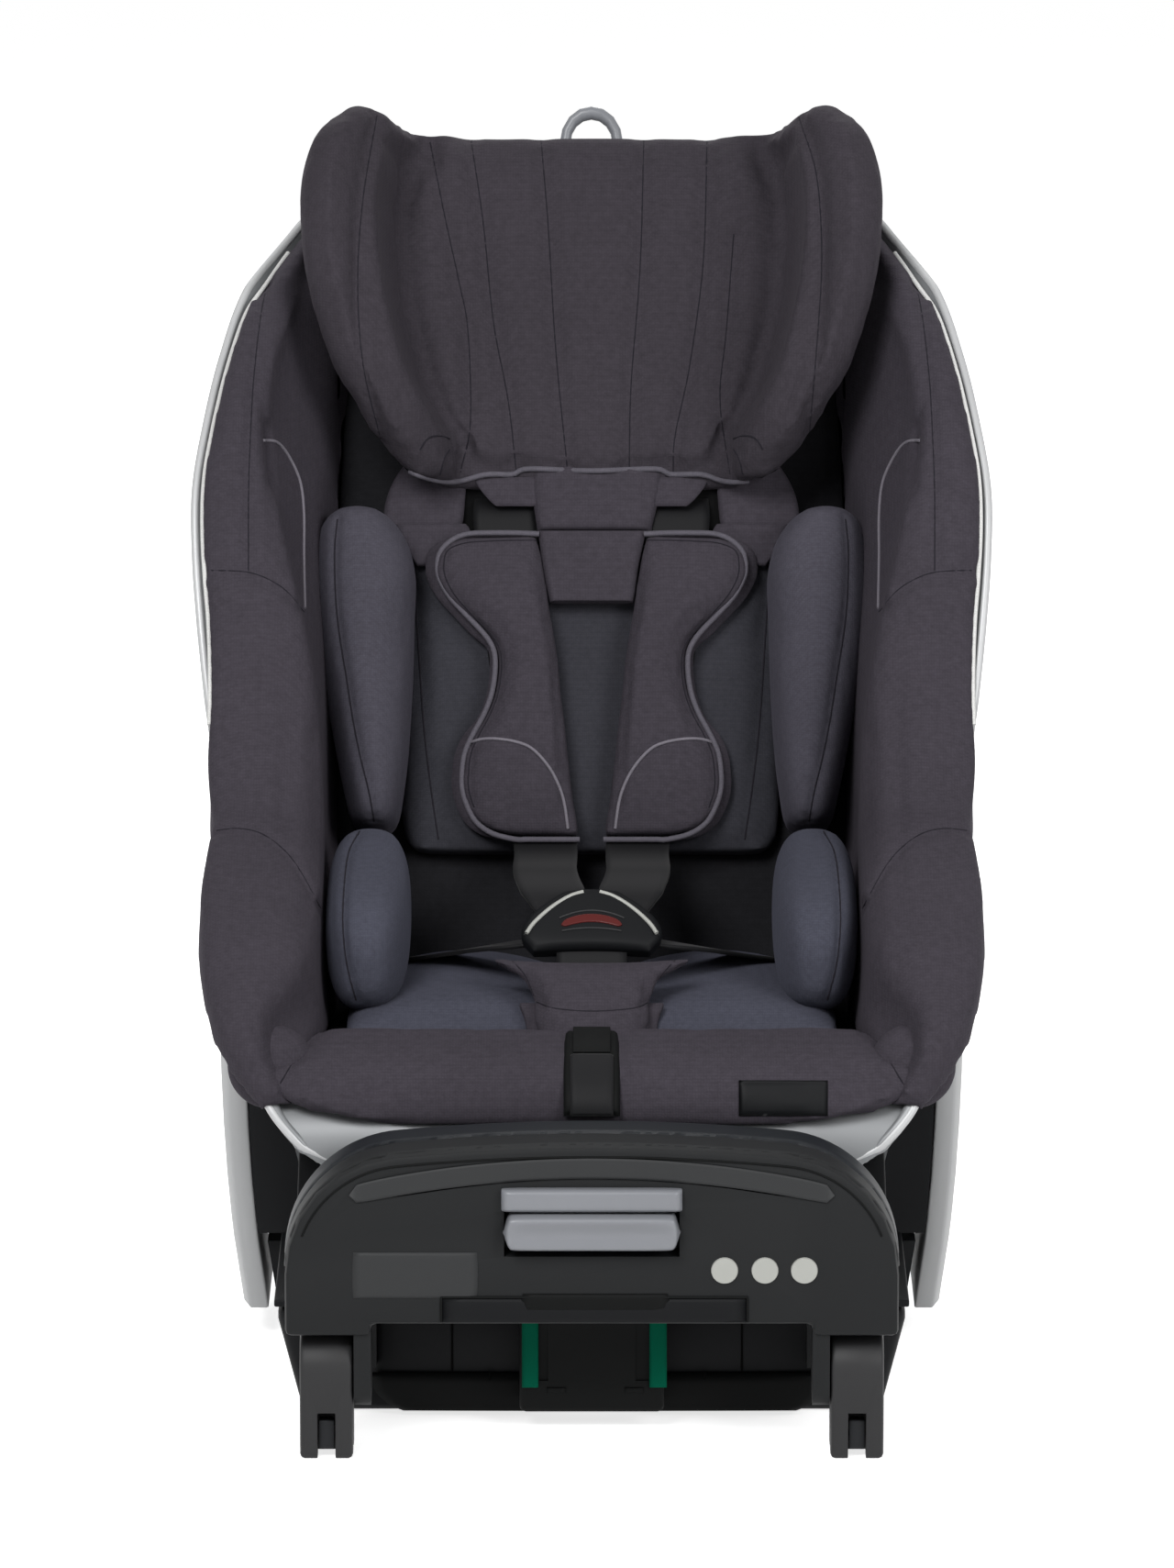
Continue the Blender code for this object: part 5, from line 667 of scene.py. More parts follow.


# the headrest cover takes the darker copy of the cover cloth: painted shade
headCover = shaped("headrestCover", (60, 24, 4), onHeadrest, headShadeCloth)
puff(headCover, headrest["voxel"], headrest["cap"], headrest["shrink"])
headTree, paths = sewn(headCover, [
    [(411, 126), (396, 215), (390, 305), (396, 398), (419, 494)],
    [(469, 155), (485, 236), (500, 305), (510, 359), (513, 459), (502, 515)],
    [(513, 148), (527, 244), (538, 351), (554, 436), (563, 515)],
    [(590, 153), (598, 251), (606, 382), (619, 515)],
    [(702, 149), (698, 290), (688, 421), (686, 515)],
    [(771, 146), (767, 282), (752, 398), (736, 475), (734, 515)],
    [(800, 255), (792, 359), (785, 436), (796, 517)],
    [(871, 128), (890, 190), (896, 275), (892, 359), (881, 490)]], 0.0055, 0.0026, -0.0002)
cordsAlong("headrestSeamLines", paths, sewing["headThread"], seamShadeThread, "headrest")
fitted(headCover, "headrest", "cover_fabric", "headrest_pad", 0.7)
hem = [(395, 481), (412, 493), (430, 504), (460, 519), (495, 525), (530, 517), (560, 517), (575, 511),
       (645, 513), (715, 511), (730, 517), (765, 517), (795, 525), (835, 520), (862, 504), (880, 493),
       (895, 481)]
paths = [pixelPath(headTree, hem, sewing["widePitch"], 0.0002)]
cordsAlong("headrestHem", paths, sewing["binding"], bindingCloth, "headrest")
slots = [[(458, 490), (466, 478), (478, 475), (490, 478)], [(480, 517), (484, 500), (490, 490)]]
slots += [flipPixels(line) for line in slots]
paths = [pixelPath(headTree, line, sewing["pitch"]) for line in slots]
cordsAlong("headrestSlotStitches", paths, sewing["thread"], seamShadeThread, "headrest")
print("headrest cover made")


# side bolsters, from the lip's corners up to the shell's top: widths are shares of the shell's half width
bolster = dict(lead=0.03, gap=0.0019, clear=0.0035, roll=0.012, nose=0.010, padHalf=0.138, padFoot=0.024,
               padOver=0.012, voxel=0.0045, cap=0.004, shrink=0.0022, footRise=0.0025, footRounds=24,
               middleWall=0.012, innerWall=0.014, least=(0.001, 0.003, 0.004, 0.008, 0.011, 0.013),
               place=(1.8, 2.4, 3, 3.5, 4, 5, 6, 7, 8, 9, 10, 11, 12, 13, 14, 15),
               middle=(0.80, 0.80, 0.755, 0.70, 0.682, 0.679, 0.679, 0.682, 0.690, 0.704, 0.713, 0.722, 0.718,
                       0.709, 0.682, 0.640),
               inner=(0.81, 0.82, 0.78, 0.73, 0.700, 0.684, 0.684, 0.688, 0.698, 0.722, 0.762, 0.799, 0.813,
                      0.795, 0.745, 0.677),
               foot=(0.1500, 0.1560, 0.1520, 0.1450, 0.1425, 0.1425, 0.1425, 0.1425, 0.1425, 0.1425, 0.1425,
                     0.1425, 0.1400, 0.1350, 0.127, 0.112),
               out=(0.003, 0.004, 0.005, 0.007, 0.009, 0.0105, 0.010, 0.007, 0.001, -0.0015, -0.0015, -0.0015,
                    -0.0015, -0.0015, -0.002, -0.003))


def bolsterRing(place):
    # one section: from the foot along the shell, over its rim and down the inside
    _, _, depth, bottom, rim, power = stationFacts(place)
    middle, inner, foot, out = (tableAt(bolster["place"], bolster[word], place)
                                for word in ("middle", "inner", "foot", "out"))
    gap, high, radius = bolster["gap"], bolster["roll"], min(bucket["corner"], 0.45 * depth)
    corner = radius * (1 - math.sqrt(0.5))
    clear = gap + bolster["clear"] * ramp((place - 11) / 1.5)
    wrap, edge = ramp((7.8 - place) / 1.3), rim + out

    def wall(share):
        return bottom + (rim - bottom) * share ** power

    # each point stays a little outside the foot
    least = [foot + step for step in bolster["least"]]
    middle = max(min(bucket["halfWidth"] * middle, wall(0.5) - bolster["middleWall"]), least[0])
    inner = max(min(bucket["halfWidth"] * inner, wall(0.88) - bolster["innerWall"]), least[1])
    outline = [(foot, clear), (max(bottom - radius, least[2]), clear),
               (max(bottom - corner - clear, least[3]), corner + clear),
               (max(bottom - clear, least[4]), radius)]
    for share in (0.6, 0.78):
        near = gap + (clear - gap) * (0.9 - share) * 3
        outline.append((max(wall(share) - near, least[5]), depth * share))
    inside = [(wall(0.9) - gap, depth * 0.9), (edge - gap, depth), (edge - high / 3, depth + high * 0.8)]
    outside = [(rim + out * 0.8, depth * 0.86 - 0.012), (edge, depth * 0.98 - 0.004),
               (rim + out * 0.7, depth + high * 0.6)]
    outline += [Vector(a).lerp(Vector(b), wrap) for a, b in zip(inside, outside)]
    outline += [((rim + min(out, 0) + inner) / 2, depth + high * 1.1), (inner + high / 3, depth + high * 0.6),
                (inner, depth * 0.88), (middle, depth * 0.5), ((foot + middle) / 2, depth * 0.22)]
    return [Vector(p) for p in outline]


def onBolster(turn, share):
    first, last, lead = bolster["place"][0], bolster["place"][-1], bolster["lead"]
    place = first + max(share - lead, 0) / (1 - lead) * (last - first)
    outline = bolsterRing(place)
    point = inSection(place, *closedAt(outline, turn))
    if share < lead:
        # the nose: drawn in and pushed forward
        middle = sum((inSection(place, *p) for p in outline), Vector()) / len(outline)
        t = 1 - share / lead
        forward = Vector((-0.3, -0.8, -0.2)) * bolster["nose"] * t
        point = middle + (point - middle) * (1 - 0.45 * t ** 2) + forward
    return point


def heldBolster(point):
    # the side that rests in the shell keeps its shape
    return point.x > bolster["padHalf"] + 0.01 and point.x > 0.172 + 0.1 * max(point.z - 0.4, 0)


rightBolster = finishPiece("sideBolsterRight", roll(72, 150, onBolster), coverCloth)
for vertex in rightBolster.data.vertices:
    if vertex.co.y < -0.150 and vertex.co.z < 0.235:
        vertex.co.z += bolster["footRise"]
puff(rightBolster, bolster["voxel"], bolster["cap"], bolster["shrink"], heldBolster)
bm = bmesh.new()
bm.from_mesh(rightBolster.data)
footVerts = [v for v in bm.verts if v.co.y < -0.110 and v.co.z < 0.262]
for _ in range(bolster["footRounds"]):
    bmesh.ops.smooth_vert(bm, verts=footVerts, factor=0.5, use_axis_x=True, use_axis_y=True, use_axis_z=True)
bm.to_mesh(rightBolster.data)
bm.free()
seams = [[(300, 280), (286, 335), (277, 410), (273, 480), (271, 540), (271, 622)],
         [(212, 622), (250, 622), (280, 626), (310, 642), (332, 667)],
         [(236, 905), (262, 903), (290, 911), (320, 938), (350, 990)]]
bolsterTree, paths = sewn(rightBolster, [flipPixels(line) for line in seams], 0.0045, 0.002, -0.0003)
cordsAlong("bolsterSeamLines", bothSides(paths), sewing["thread"], seamShadeThread, "seat")
contrast = flipPixels([(287, 480), (302, 482), (315, 498), (327, 525), (331, 559), (331, 605), (332, 663)])
paths = bothSides([pixelPath(bolsterTree, contrast, sewing["pitch"], 0.0002)])
cordsAlong("bolsterContrastPiping", paths, sewing["contrast"], greyCord, "seat")
leftBolster = mirroredPiece(rightBolster, "sideBolsterLeft")
# filled corner where the bolster's foot turns into the front lip
corner = Matrix.Translation((0.1715, -0.1840, 0.1870)) @ Matrix.Diagonal((0.0230, 0.0160, 0.0230, 1))
bm = bmesh.new()
bmesh.ops.create_uvsphere(bm, u_segments=40, v_segments=24, radius=1, matrix=corner)
rightCorner = finishPiece("bolsterCornerRight", bm, coverCloth)
for piece in (rightCorner, mirroredPiece(rightCorner, "bolsterCornerLeft")):
    fitted(piece, "seat", "cover_fabric", fill=0.5)
edgePath = []
for step in range(161):
    place = 7.5 + 7.2 * step / 160
    _, _, depth, _, rim, _ = stationFacts(place)
    near, normal, _, _ = bolsterTree.find_nearest(inSection(place, rim + 0.004, depth + 0.004))
    edgePath.append(near + normal * 0.0006)
for _ in range(30):
    inner = [(a + b + c) / 3 for a, b, c in zip(edgePath, edgePath[1:], edgePath[2:])]
    edgePath = edgePath[:1] + inner + edgePath[-1:]
paths = bothSides([evenPath(edgePath, sewing["widePitch"])])
cordsAlong("bolsterEdgePiping", paths, sewing["edge"], paleCord, "seat")
print("bolsters made")


# front lip: wide at its foot where it turns round the shell's corners
lip = dict(start=bucket["noseDrop"] + noseArc * 0.22, end=sNose + bucket["panLength"] * 0.14,
           thickness=0.026, gap=0.001, cornerRise=0.0135,
           place=(0.0, 0.05, 0.12, 0.19, 0.27, 0.36, 0.46, 0.56, 0.66, 0.77, 0.88, 0.96, 1.0),
           half=(0.166, 0.172, 0.176, 0.177, 0.176, 0.173, 0.169, 0.165, 0.161, 0.156, 0.151, 0.1465, 0.143),
           fill=(0.16, 0.34, 0.46, 0.51, 0.54, 0.58, 0.64, 0.72, 0.81, 0.92, 1.0, 0.98, 0.88))


def lipTop(s):
    share = (s - lip["start"]) / (lip["end"] - lip["start"])
    return lip["gap"] + lip["thickness"] * tableAt(lip["place"], lip["fill"], share)


def onLip(u, v, w):
    share = (v + 1) / 2
    rise = lip["cornerRise"] * abs(u) ** 5 * (1 - share)
    s = lip["start"] + rise + (lip["end"] - lip["start"] - rise) * share
    swell = 0.5 + w * 0.5 * (0.55 + 0.45 * bellEdge(u, 9))
    lift = lip["gap"] + (lipTop(s) - lip["gap"]) * swell + 0.006 * abs(u) ** 6 * (1 - share)
    return onSpine(tableAt(lip["place"], lip["half"], share) * u, s, lift)


frontLip = shaped("frontLip", (80, 26, 3), onLip, coverCloth)
puff(frontLip, voxel=0.004, cap=0.003, shrink=0.001)
seam = [(362, 1119), (345, 1126), (330, 1140), (318, 1160), (300, 1190)]
lipTree, paths = sewn(frontLip, [seam, flipPixels(seam)], 0.004, 0.0014, -0.0002)
cordsAlong("lipSeamLines", paths, sewing["thread"], seamShadeThread, "seat")
print("lip made")


# seat and back pads under the insert
def onPad(sStart, sEnd, low, high):
    def place(u, v, w):
        s = sStart + (sEnd - sStart) * (v + 1) / 2
        half = bucket["halfWidth"] * smoothAt(bottomWidth, stationPlace(s)) - bolster["padFoot"]
        half = (min(bolster["padHalf"], half) + bolster["padOver"]) * (1 - 0.03 * v ** 6)
        swell = 0.3 + 0.7 * bellEdge(u, 6) * bellEdge(v, 8)
        return onSpine(half * u, s, low + (high - low) * (0.5 + 0.5 * w * swell))
    return place


padSplit = sPan + cornerArc * 0.5
# both pads take the near-black cloth: painted shade of the recess under the insert
seatPad = shaped("seatPad", (40, 30, 2), onPad(lip["end"] + 0.001, padSplit, 0.001, 0.017), paintedShadeCloth)
backPad = shaped("backPad", (40, 70, 2), onPad(padSplit + 0.001, sTop - 0.016, 0.0045, 0.020), paintedShadeCloth)
for pad in (seatPad, backPad):
    subdivided(pad)


# cloth shapes drawn on the photograph and laid on a plane of the seat
outBack = Vector((0, *square(bucket["backAngle"])))


def quilt(name, rows, origin, normal, thickness, material, cuts=(24, 40, 2), edge=4, crown=0.0):
    # rows run from the foot up, as (pixel line, left pixel, right pixel)
    rows = [Vector(row) for row in rows]

    def place(u, v, w):
        line, left, right = smoothAt(rows, (v + 1) / 2 * (len(rows) - 1))
        point = onPlane(left + (right - left) * (u + 1) / 2, line, origin, normal)
        swell = 0.3 + 0.7 * bellEdge(u, edge) * bellEdge(v, edge + 2)
        return point + normal * (thickness * w / 2 * swell + crown * (1 - u * u) * (1 - v * v))
    return shaped(name, cuts, place, material)


def backQuilt(name, rows, lift, thickness, material, **choices):
    return quilt(name, rows, onBack(0, 0, lift), outBack, thickness, material, **choices)


def signedPower(value, power):
    return math.copysign(abs(value) ** power, value)


# baby insert: stuffed wings, hip pads, back and two thigh pads
insert = dict(seatHalf=0.135, seatLow=0.018, seatFace=0.031, hip=(0.025, 0.084, 0.040), hipPower=0.72,
              hipX=0.1215, hipY=-0.064, hipTilt=math.radians(13), hipLift=0.0433, wingLift=0.0565,
              wingDeep=0.038)
wingRows = [Vector(row) for row in (
    (910, 396, 426), (897, 381, 437), (870, 374, 442), (830, 366, 447), (780, 357, 450), (730, 349, 452),
    (680, 342, 453), (655, 340, 455), (630, 340, 456), (600, 342, 450), (578, 347, 438), (564, 358, 423),
    (558, 373, 407))]


def onWing(turn, share):
    line, left, right = smoothAt(wingRows, share * (len(wingRows) - 1))
    angle = 2 * math.pi * turn
    u = (left + right) / 2 + (right - left) / 2 * signedPower(math.cos(angle), 0.85)
    swell = bellEdge(share * 2 - 1, 3.4) * 0.86 + 0.14
    point = onPlane(u, line, onBack(0, 0, insert["wingLift"]), outBack)
    return point + outBack * insert["wingDeep"] * swell * signedPower(math.sin(angle), 0.8)


leftWing = finishPiece("insertWingLeft", roll(48, 60, onWing), insertCloth)
puff(leftWing, voxel=0.004, cap=0.003, shrink=0.0015)
_, wingSeams = sewn(leftWing, [[(368, 566), (365, 600), (366, 650), (370, 690), (378, 740), (385, 785),
                                (393, 825), (402, 862), (408, 895)]])
rightWing = mirroredPiece(leftWing, "insertWingRight")
hipAlong = Vector((0, *heading(bucket["panSlope"] + insert["hipTilt"])))
hipRise = Vector((0, *square(bucket["panSlope"] + insert["hipTilt"])))
hipReach = (insert["hipY"] - bucket["panFront"].x) / math.cos(bucket["panSlope"])
hipCentre = onSpine(-insert["hipX"], sNose + hipReach, insert["seatFace"] + 0.001 + insert["hipLift"])
bm = bmesh.new()
bmesh.ops.create_uvsphere(bm, u_segments=48, v_segments=32, radius=1)
for vertex in bm.verts:
    a, b, c = (signedPower(value, insert["hipPower"]) for value in vertex.co)
    across, along, high = insert["hip"]
    vertex.co = hipCentre + Vector((across * b, 0, 0)) + hipAlong * (along * c) + hipRise * (high * a)
leftHip = finishPiece("insertHipLeft", bm, insertBlue)
puff(leftHip, voxel=0.004, cap=0.003, shrink=0.002)
_, hipSeams = sewn(leftHip, [[(392, 906), (380, 930), (375, 970), (374, 1010), (378, 1050), (388, 1090)]])
rightHip = mirroredPiece(leftHip, "insertHipRight")
# the back panel takes the darker jersey: painted shade for its recess behind the wings and pads
insertBack = backQuilt("insertBack", ((936, 470, 820), (930, 446, 842), (900, 434, 854), (840, 434, 856),
                                      (760, 436, 856), (680, 438, 854), (620, 442, 850), (590, 452, 838)),
                       0.030, 0.018, insertShade, cuts=(50, 60, 3), edge=7)
puff(insertBack, voxel=0.0045, cap=0.003, shrink=0.001)
_, backSeams = sewn(insertBack, [[(452, 640), (456, 700), (462, 790), (470, 860), (478, 915)],
                                 [(838, 640), (834, 700), (828, 790), (820, 860), (812, 915)]], 0.006, 0.0016)


def onInsertSeat(u, v, w):
    # two crowned thigh pads with a valley for the crotch pad between them
    s = lip["end"] + 0.001 + (sPan - lip["end"] - 0.001) * (v + 1) / 2
    lobe = math.sin(math.pi * min(abs(u) * 0.98, 1)) ** 0.75
    top = insert["seatFace"] - 0.002 + 0.024 * lobe * bellEdge(v - 0.12, 2.4) * (0.75 + 0.25 * v)
    swell = 0.3 + 0.7 * bellEdge(u, 8) * bellEdge(v, 8)
    lift = insert["seatLow"] + (top - insert["seatLow"]) * (0.5 + 0.5 * w * swell)
    return onSpine(insert["seatHalf"] * u, s, lift)


insertSeat = shaped("insertSeat", (70, 44, 3), onInsertSeat, insertBlue)
puff(insertSeat, voxel=0.0045, cap=0.003, shrink=0.001)
paths = bothSides(wingSeams + hipSeams) + backSeams
cordsAlong("insertSeamLines", paths, sewing["thread"], seamShadeThread, "seat")
print("insert made")


# shoulder pads with their backing layer, and the yoke, flaps and slots above them
# every padRows entry is (pixel line, left pixel, right pixel), from the foot up
shoulder = dict(lift=0.0545, thickness=0.017, binding=0.0555, layerLift=0.0475, layerThickness=0.004)
padRows = ((915, 560, 636), (909, 536, 636), (897, 518, 635), (880, 508, 632), (860, 502, 629.5),
           (840, 502, 627), (820, 505, 625), (800, 514, 623), (780, 525, 620.5), (760, 533, 618),
           (740, 537, 616), (720, 538, 614), (705, 535, 612), (690, 525, 609.5), (670, 506, 606),
           (650, 488, 603), (630, 477, 600), (615, 475, 597.5), (600, 479, 594.5), (588, 492, 592),
           (582, 508, 590))
leftPad = backQuilt("shoulderPadLeft", padRows, shoulder["lift"], shoulder["thickness"], coverCloth,
                    cuts=(30, 90, 3), edge=3)
puff(leftPad, voxel=0.0032, cap=0.003, shrink=0.0012)
patchLine = [(508, 812), (525, 806), (548, 806), (575, 813), (593, 829), (605, 848), (614, 872), (619, 903)]
stitchLine = [(row[1] + 9, row[0]) for row in padRows[3:-2]]
stitchLine += [(506, 592), (530, 590), (560, 589), (584, 589)]
padTree, _ = sewn(leftPad, (patchLine, stitchLine), 0.003, 0.001)
paths = bothSides([pixelPath(padTree, patchLine, sewing["pitch"], 0.0004)])
cordsAlong("padContrastPiping", paths, sewing["contrast"], greyCord, "headrest")
paths = bothSides([pixelPath(padTree, stitchLine, sewing["pitch"])])
cordsAlong("padStitchLines", paths, sewing["fineThread"], seamShadeThread, "headrest")
edges = [(560 + 12 * k, 915) for k in range(6, 0, -1)] + [(row[1] + 2, row[0]) for row in padRows]
edges += [(530, 581), (560, 581), (588, 582)]
edges = smoothPath([onPlane(u, v, onBack(0, 0, shoulder["binding"]), outBack) for u, v in edges], 4)
paths = bothSides([evenPath(edges, sewing["widePitch"])])
cordsAlong("padBinding", paths, sewing["binding"], bindingCloth, "headrest")
rightPad = mirroredPiece(leftPad, "shoulderPadRight")
# the backing shows beside the pad: wide above, narrow at its waist
layerRows = [(v + 2, left - (11 if v < 700 else 4 if v < 790 else 9), right - 14)
             for v, left, right in padRows]
layer = backQuilt("padBackingLeft", layerRows, shoulder["layerLift"], shoulder["layerThickness"], coverCloth,
                  cuts=(12, 80, 1))
yokeParts = [layer, mirroredPiece(layer, "padBackingRight")]
for name, lift, thickness, material, cuts, edge, rows in (
        ("harnessYoke", 0.0530, 0.009, coverCloth, (24, 20, 2), 8,
         ((657, 600, 690), (650, 598, 692), (620, 592, 696), (590, 588, 702), (579, 586, 704))),
        ("yokeFlapLeft", 0.0440, 0.005, coverCloth, (20, 16, 2), 4,
         ((617, 455, 467), (605, 446, 480), (592, 438, 507), (580, 434, 513), (571, 432, 508))),
        ("yokeStripLeft", 0.0400, 0.009, coverCloth, (24, 18, 2), 4,
         ((577, 424, 502), (567, 418, 505), (545, 421, 507), (525, 429, 508), (508, 440, 507),
          (488, 455, 500))),
        ("yokeCentre", 0.0450, 0.012, coverCloth, (30, 20, 2), 4,
         ((580, 586, 710), (565, 584, 713), (545, 581, 718), (528, 580, 721), (508, 582, 720))),
        ("beltTabLeft", 0.0470, 0.003, coverCloth, (16, 8, 1), 4,
         ((552, 541, 590), (546, 534, 590), (538, 527, 590), (530, 521, 590), (520, 516, 590))),
        # the belt slot's opening: a near-black sheet as painted shadow
        ("beltSlotLeft", 0.0350, 0.003, shadowCloth, (12, 8, 1), 4,
         ((584, 498, 596), (550, 498, 596), (512, 498, 596)))):
    piece = subdivided(backQuilt(name, rows, lift, thickness, material, cuts=cuts, edge=edge))
    yokeParts.append(piece)
    if "Left" in name:
        yokeParts.append(mirroredPiece(piece, name.replace("Left", "Right")))
for piece in yokeParts:
    fitted(piece, "headrest", "cover_fabric", fill=0.3)


# crotch pad: wide folded corners above, narrow below, with a second layer under it
crotch = dict(rear=-0.1165, front=-0.1720, thickness=0.012, share=(0.0, 0.10, 0.22, 0.40, 0.60, 0.80, 1.0),
              half=(0.0530, 0.0545, 0.0500, 0.0400, 0.0345, 0.0325, 0.0290),
              height=(0.2290, 0.2315, 0.2310, 0.2265, 0.2190, 0.2100, 0.2000),
              facing=Vector((0, -0.55, 0.83)))


def onCrotchPad(u, v, w):
    share = (1 - v) / 2
    half, z = (tableAt(crotch["share"], crotch[word], share) for word in ("half", "height"))
    z += 0.004 * abs(u) ** 3 * (1 - share) ** 2 - 0.005 * (abs(u) ** 4) * share
    y = crotch["rear"] + (crotch["front"] - crotch["rear"]) * share + 0.010 * abs(u) ** 3 * share
    swell = 0.35 + 0.65 * bellEdge(u, 4) * bellEdge(v, 5)
    return Vector((half * u, y, z)) + crotch["facing"] * (w - 1) * crotch["thickness"] / 2 * swell


def onCrotchLayer(u, v, w):
    return onCrotchPad(u * 0.93, v * 0.5 - 0.42, w * 0.4) + Vector((0.004 * u, 0.002, -0.0105))


crotchPad = shaped("crotchPad", (40, 30, 3), onCrotchPad, coverCloth)
puff(crotchPad, voxel=0.0035, cap=0.003, shrink=0.001)
_, paths = sewn(crotchPad, [[(585, 1092), (605, 1099), (645, 1102), (690, 1099), (708, 1092)],
                            [(556, 1045), (572, 1062), (582, 1085)],
                            [(738, 1045), (722, 1062), (712, 1085)]], 0.003, 0.0009)
cordsAlong("crotchSeamLines", paths, sewing["fineThread"], seamShadeThread, "seat")
crotchLayer = subdivided(shaped("crotchPadLayer", (30, 16, 2), onCrotchLayer, coverCloth))
fitted(crotchLayer, "seat", "cover_fabric", fill=0.3)
for fill, body, slotName, pieces in (
        (0.6, "seat", "cover_fabric", {
            "cover_side_right": rightBolster, "cover_side_left": leftBolster, "cover_front_roll": frontLip,
            "cover_seat_pad": seatPad, "cover_back_pad": backPad, "crotch_pad": crotchPad}),
        (0.6, "seat", "insert_fabric", {
            "insert_wing_right": rightWing, "insert_wing_left": leftWing, "insert_hip_right": rightHip,
            "insert_hip_left": leftHip, "insert_back": insertBack, "insert_seat": insertSeat}),
        (0.5, "headrest", "cover_fabric", {"shoulder_pad_right": rightPad, "shoulder_pad_left": leftPad})):
    for node, piece in pieces.items():
        fitted(piece, body, slotName, node, fill)
print("harness pads made")


# webbing
belts = dict(width=0.035, thickness=0.0022, hipWidth=0.025, crotchWidth=0.038, crotchThickness=0.002,
             tongueX=0.0255, slotX=0.048, top=headrest["bottom"] - 0.002, pitch=0.004, taperLength=0.030,
             buckle=Vector((0, -0.098, 0.245)), tilt=math.radians(-48))
buckleAt = (Matrix.Translation(belts["buckle"]) @ Matrix.Rotation(belts["tilt"], 4, "X")
            @ Matrix(((1, 0, 0, 0), (0, 0, -1, 0), (0, 1, 0, 0), (0, 0, 0, 1))))
buckleOut = (buckleAt.to_3x3() @ Vector((0, 0, 1))).normalized()


def onBuckle(x, up, out):
    return buckleAt @ Vector((x, up, out))


def strap(name, points, width, thickness, level=None, taper=0.0):
    # a flat strap along a smooth route, with its own UV map in metres
    # its width runs along the given level, or else stays horizontal
    pitch = belts["pitch"]
    path = evenPath(smoothPath(points, 10), pitch)
    rows = len(path) - 1
    bm = grid(8, rows)
    uvLayer = bm.loops.layers.uv.verify()
    frames = []
    for i, here in enumerate(path):
        along = (path[min(i + 1, rows)] - path[max(i - 1, 0)]).normalized()
        side = level or Vector((along.y, -along.x, 0)).normalized()
        narrow = 1 - taper * max(0, 1 - i * pitch / belts["taperLength"]) ** 1.5
        frames.append((here, (side - along * side.dot(along)).normalized() * narrow))
    for face in bm.faces:
        for loop in face.loops:
            x, y, _ = loop.vert.co
            loop[uvLayer].uv = (x * width / 2, (y + 1) / 2 * rows * pitch)
    for vertex in bm.verts:
        here, edge = frames[round((vertex.co.y + 1) / 2 * rows)]
        vertex.co = here + edge * (vertex.co.x * width / 2)
    return modified(finishPiece(name, bm, beltWeb), "SOLIDIFY", thickness=thickness, offset=0)


sideways = Vector((1, 0, 0))
for side, word in ((-1, "Left"), (1, "Right")):
    tx, sx, top = side * belts["tongueX"], side * belts["slotX"], belts["top"]
    route = [onBuckle(side * 0.017, 0.004, 0.002), Vector((side * 0.021, -0.072, 0.2570)),
             Vector((tx, -0.010, 0.2550)), onBack(tx, 0.040, 0.0530), onBack(side * 0.030, 0.085, 0.0445),
             onBack(side * 0.040, 0.150, 0.0440), onBack(sx, top - 0.0288, 0.0430),
             onBack(sx, top - 0.0107, 0.0375), onBack(sx, top - 0.0030, 0.0250)]
    belt = strap("shoulderBelt" + word, route, belts["width"], belts["thickness"], sideways, 0.45)
    onBack(0, 0.02, 0.05)
    onBack(0, 0.10, 0.05)
    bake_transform(belt)
    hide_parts("shoulder_belt_" + word.lower())
    route = [Vector((side * x, y, z)) for x, y, z in (
        (0.030, -0.096, 0.2350), (0.046, -0.086, 0.2310), (0.064, -0.066, 0.2240), (0.082, -0.040, 0.2150),
        (0.098, -0.010, 0.2060), (0.108, 0.025, 0.1950))]
    belt = strap("hipBelt" + word, route, belts["hipWidth"], belts["thickness"], taper=0.3)
    fitted(belt, "seat", "webbing", "hip_belt_" + word.lower())
route = [onBuckle(0, -0.010, -0.001), onBuckle(0, -0.020, -0.001), Vector((0, -0.121, 0.205)),
         Vector((0, -0.125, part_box("crotch_strap")[0].z))]
belt = strap("crotchStrap", route, belts["crotchWidth"], belts["crotchThickness"], sideways)
fitted(belt, "seat", "webbing", "crotch_strap")


# buckle: a black dome with an arched release button, and steel edges on the two tongues
def onBuckleShell(u, v, w):
    half = tableAt((-1, -0.6, -0.2, 0.25, 0.65, 1), (0.0315, 0.0370, 0.0375, 0.0325, 0.0235, 0.0150), v)
    swell = 0.4 + 0.6 * bellEdge(u, 3) * bellEdge(v, 4)
    return onBuckle(half * u, 0.0015 + 0.0195 * v - 0.0015 * u * u, 0.0078 * w * swell)


def onButton(u, v, w):
    up = -0.0055 + 0.0045 * (1 - u * u) + 0.0027 * v * bellEdge(u, 4)
    return onBuckle(0.0165 * u, up, 0.0062 + 0.0022 * w)


buckleShell = subdivided(shaped("buckleShell", (30, 22, 6), onBuckleShell, blackPp))
fitted(buckleShell, "seat", "black_plastic", "buckle_body")
buckleButton = subdivided(shaped("buckleButton", (20, 6, 2), onButton, redAbs))
fitted(buckleButton, "buckle_button", "red_plastic", "buckle_button")
arches = [[onBuckle(half * t / 10, low + rise * (1 - (t / 10) ** 2), 0.0078) for t in range(-10, 11)]
          for half, low, rise in ((0.0175, -0.0010, 0.0050), (0.0160, -0.0095, 0.0020))]
cordsAlong("buckleArch", arches, 0.0005, greyPp, "seat")
tongueRows = ((1020, 570, 636), (1010, 574, 636), (996, 590, 637), (984, 606, 637), (974, 624, 637))
tongue = subdivided(quilt("buckleTongueLeft", tongueRows, onBuckle(0, 0, 0.0045), buckleOut, 0.003, blackPp,
                          cuts=(16, 16, 1)))
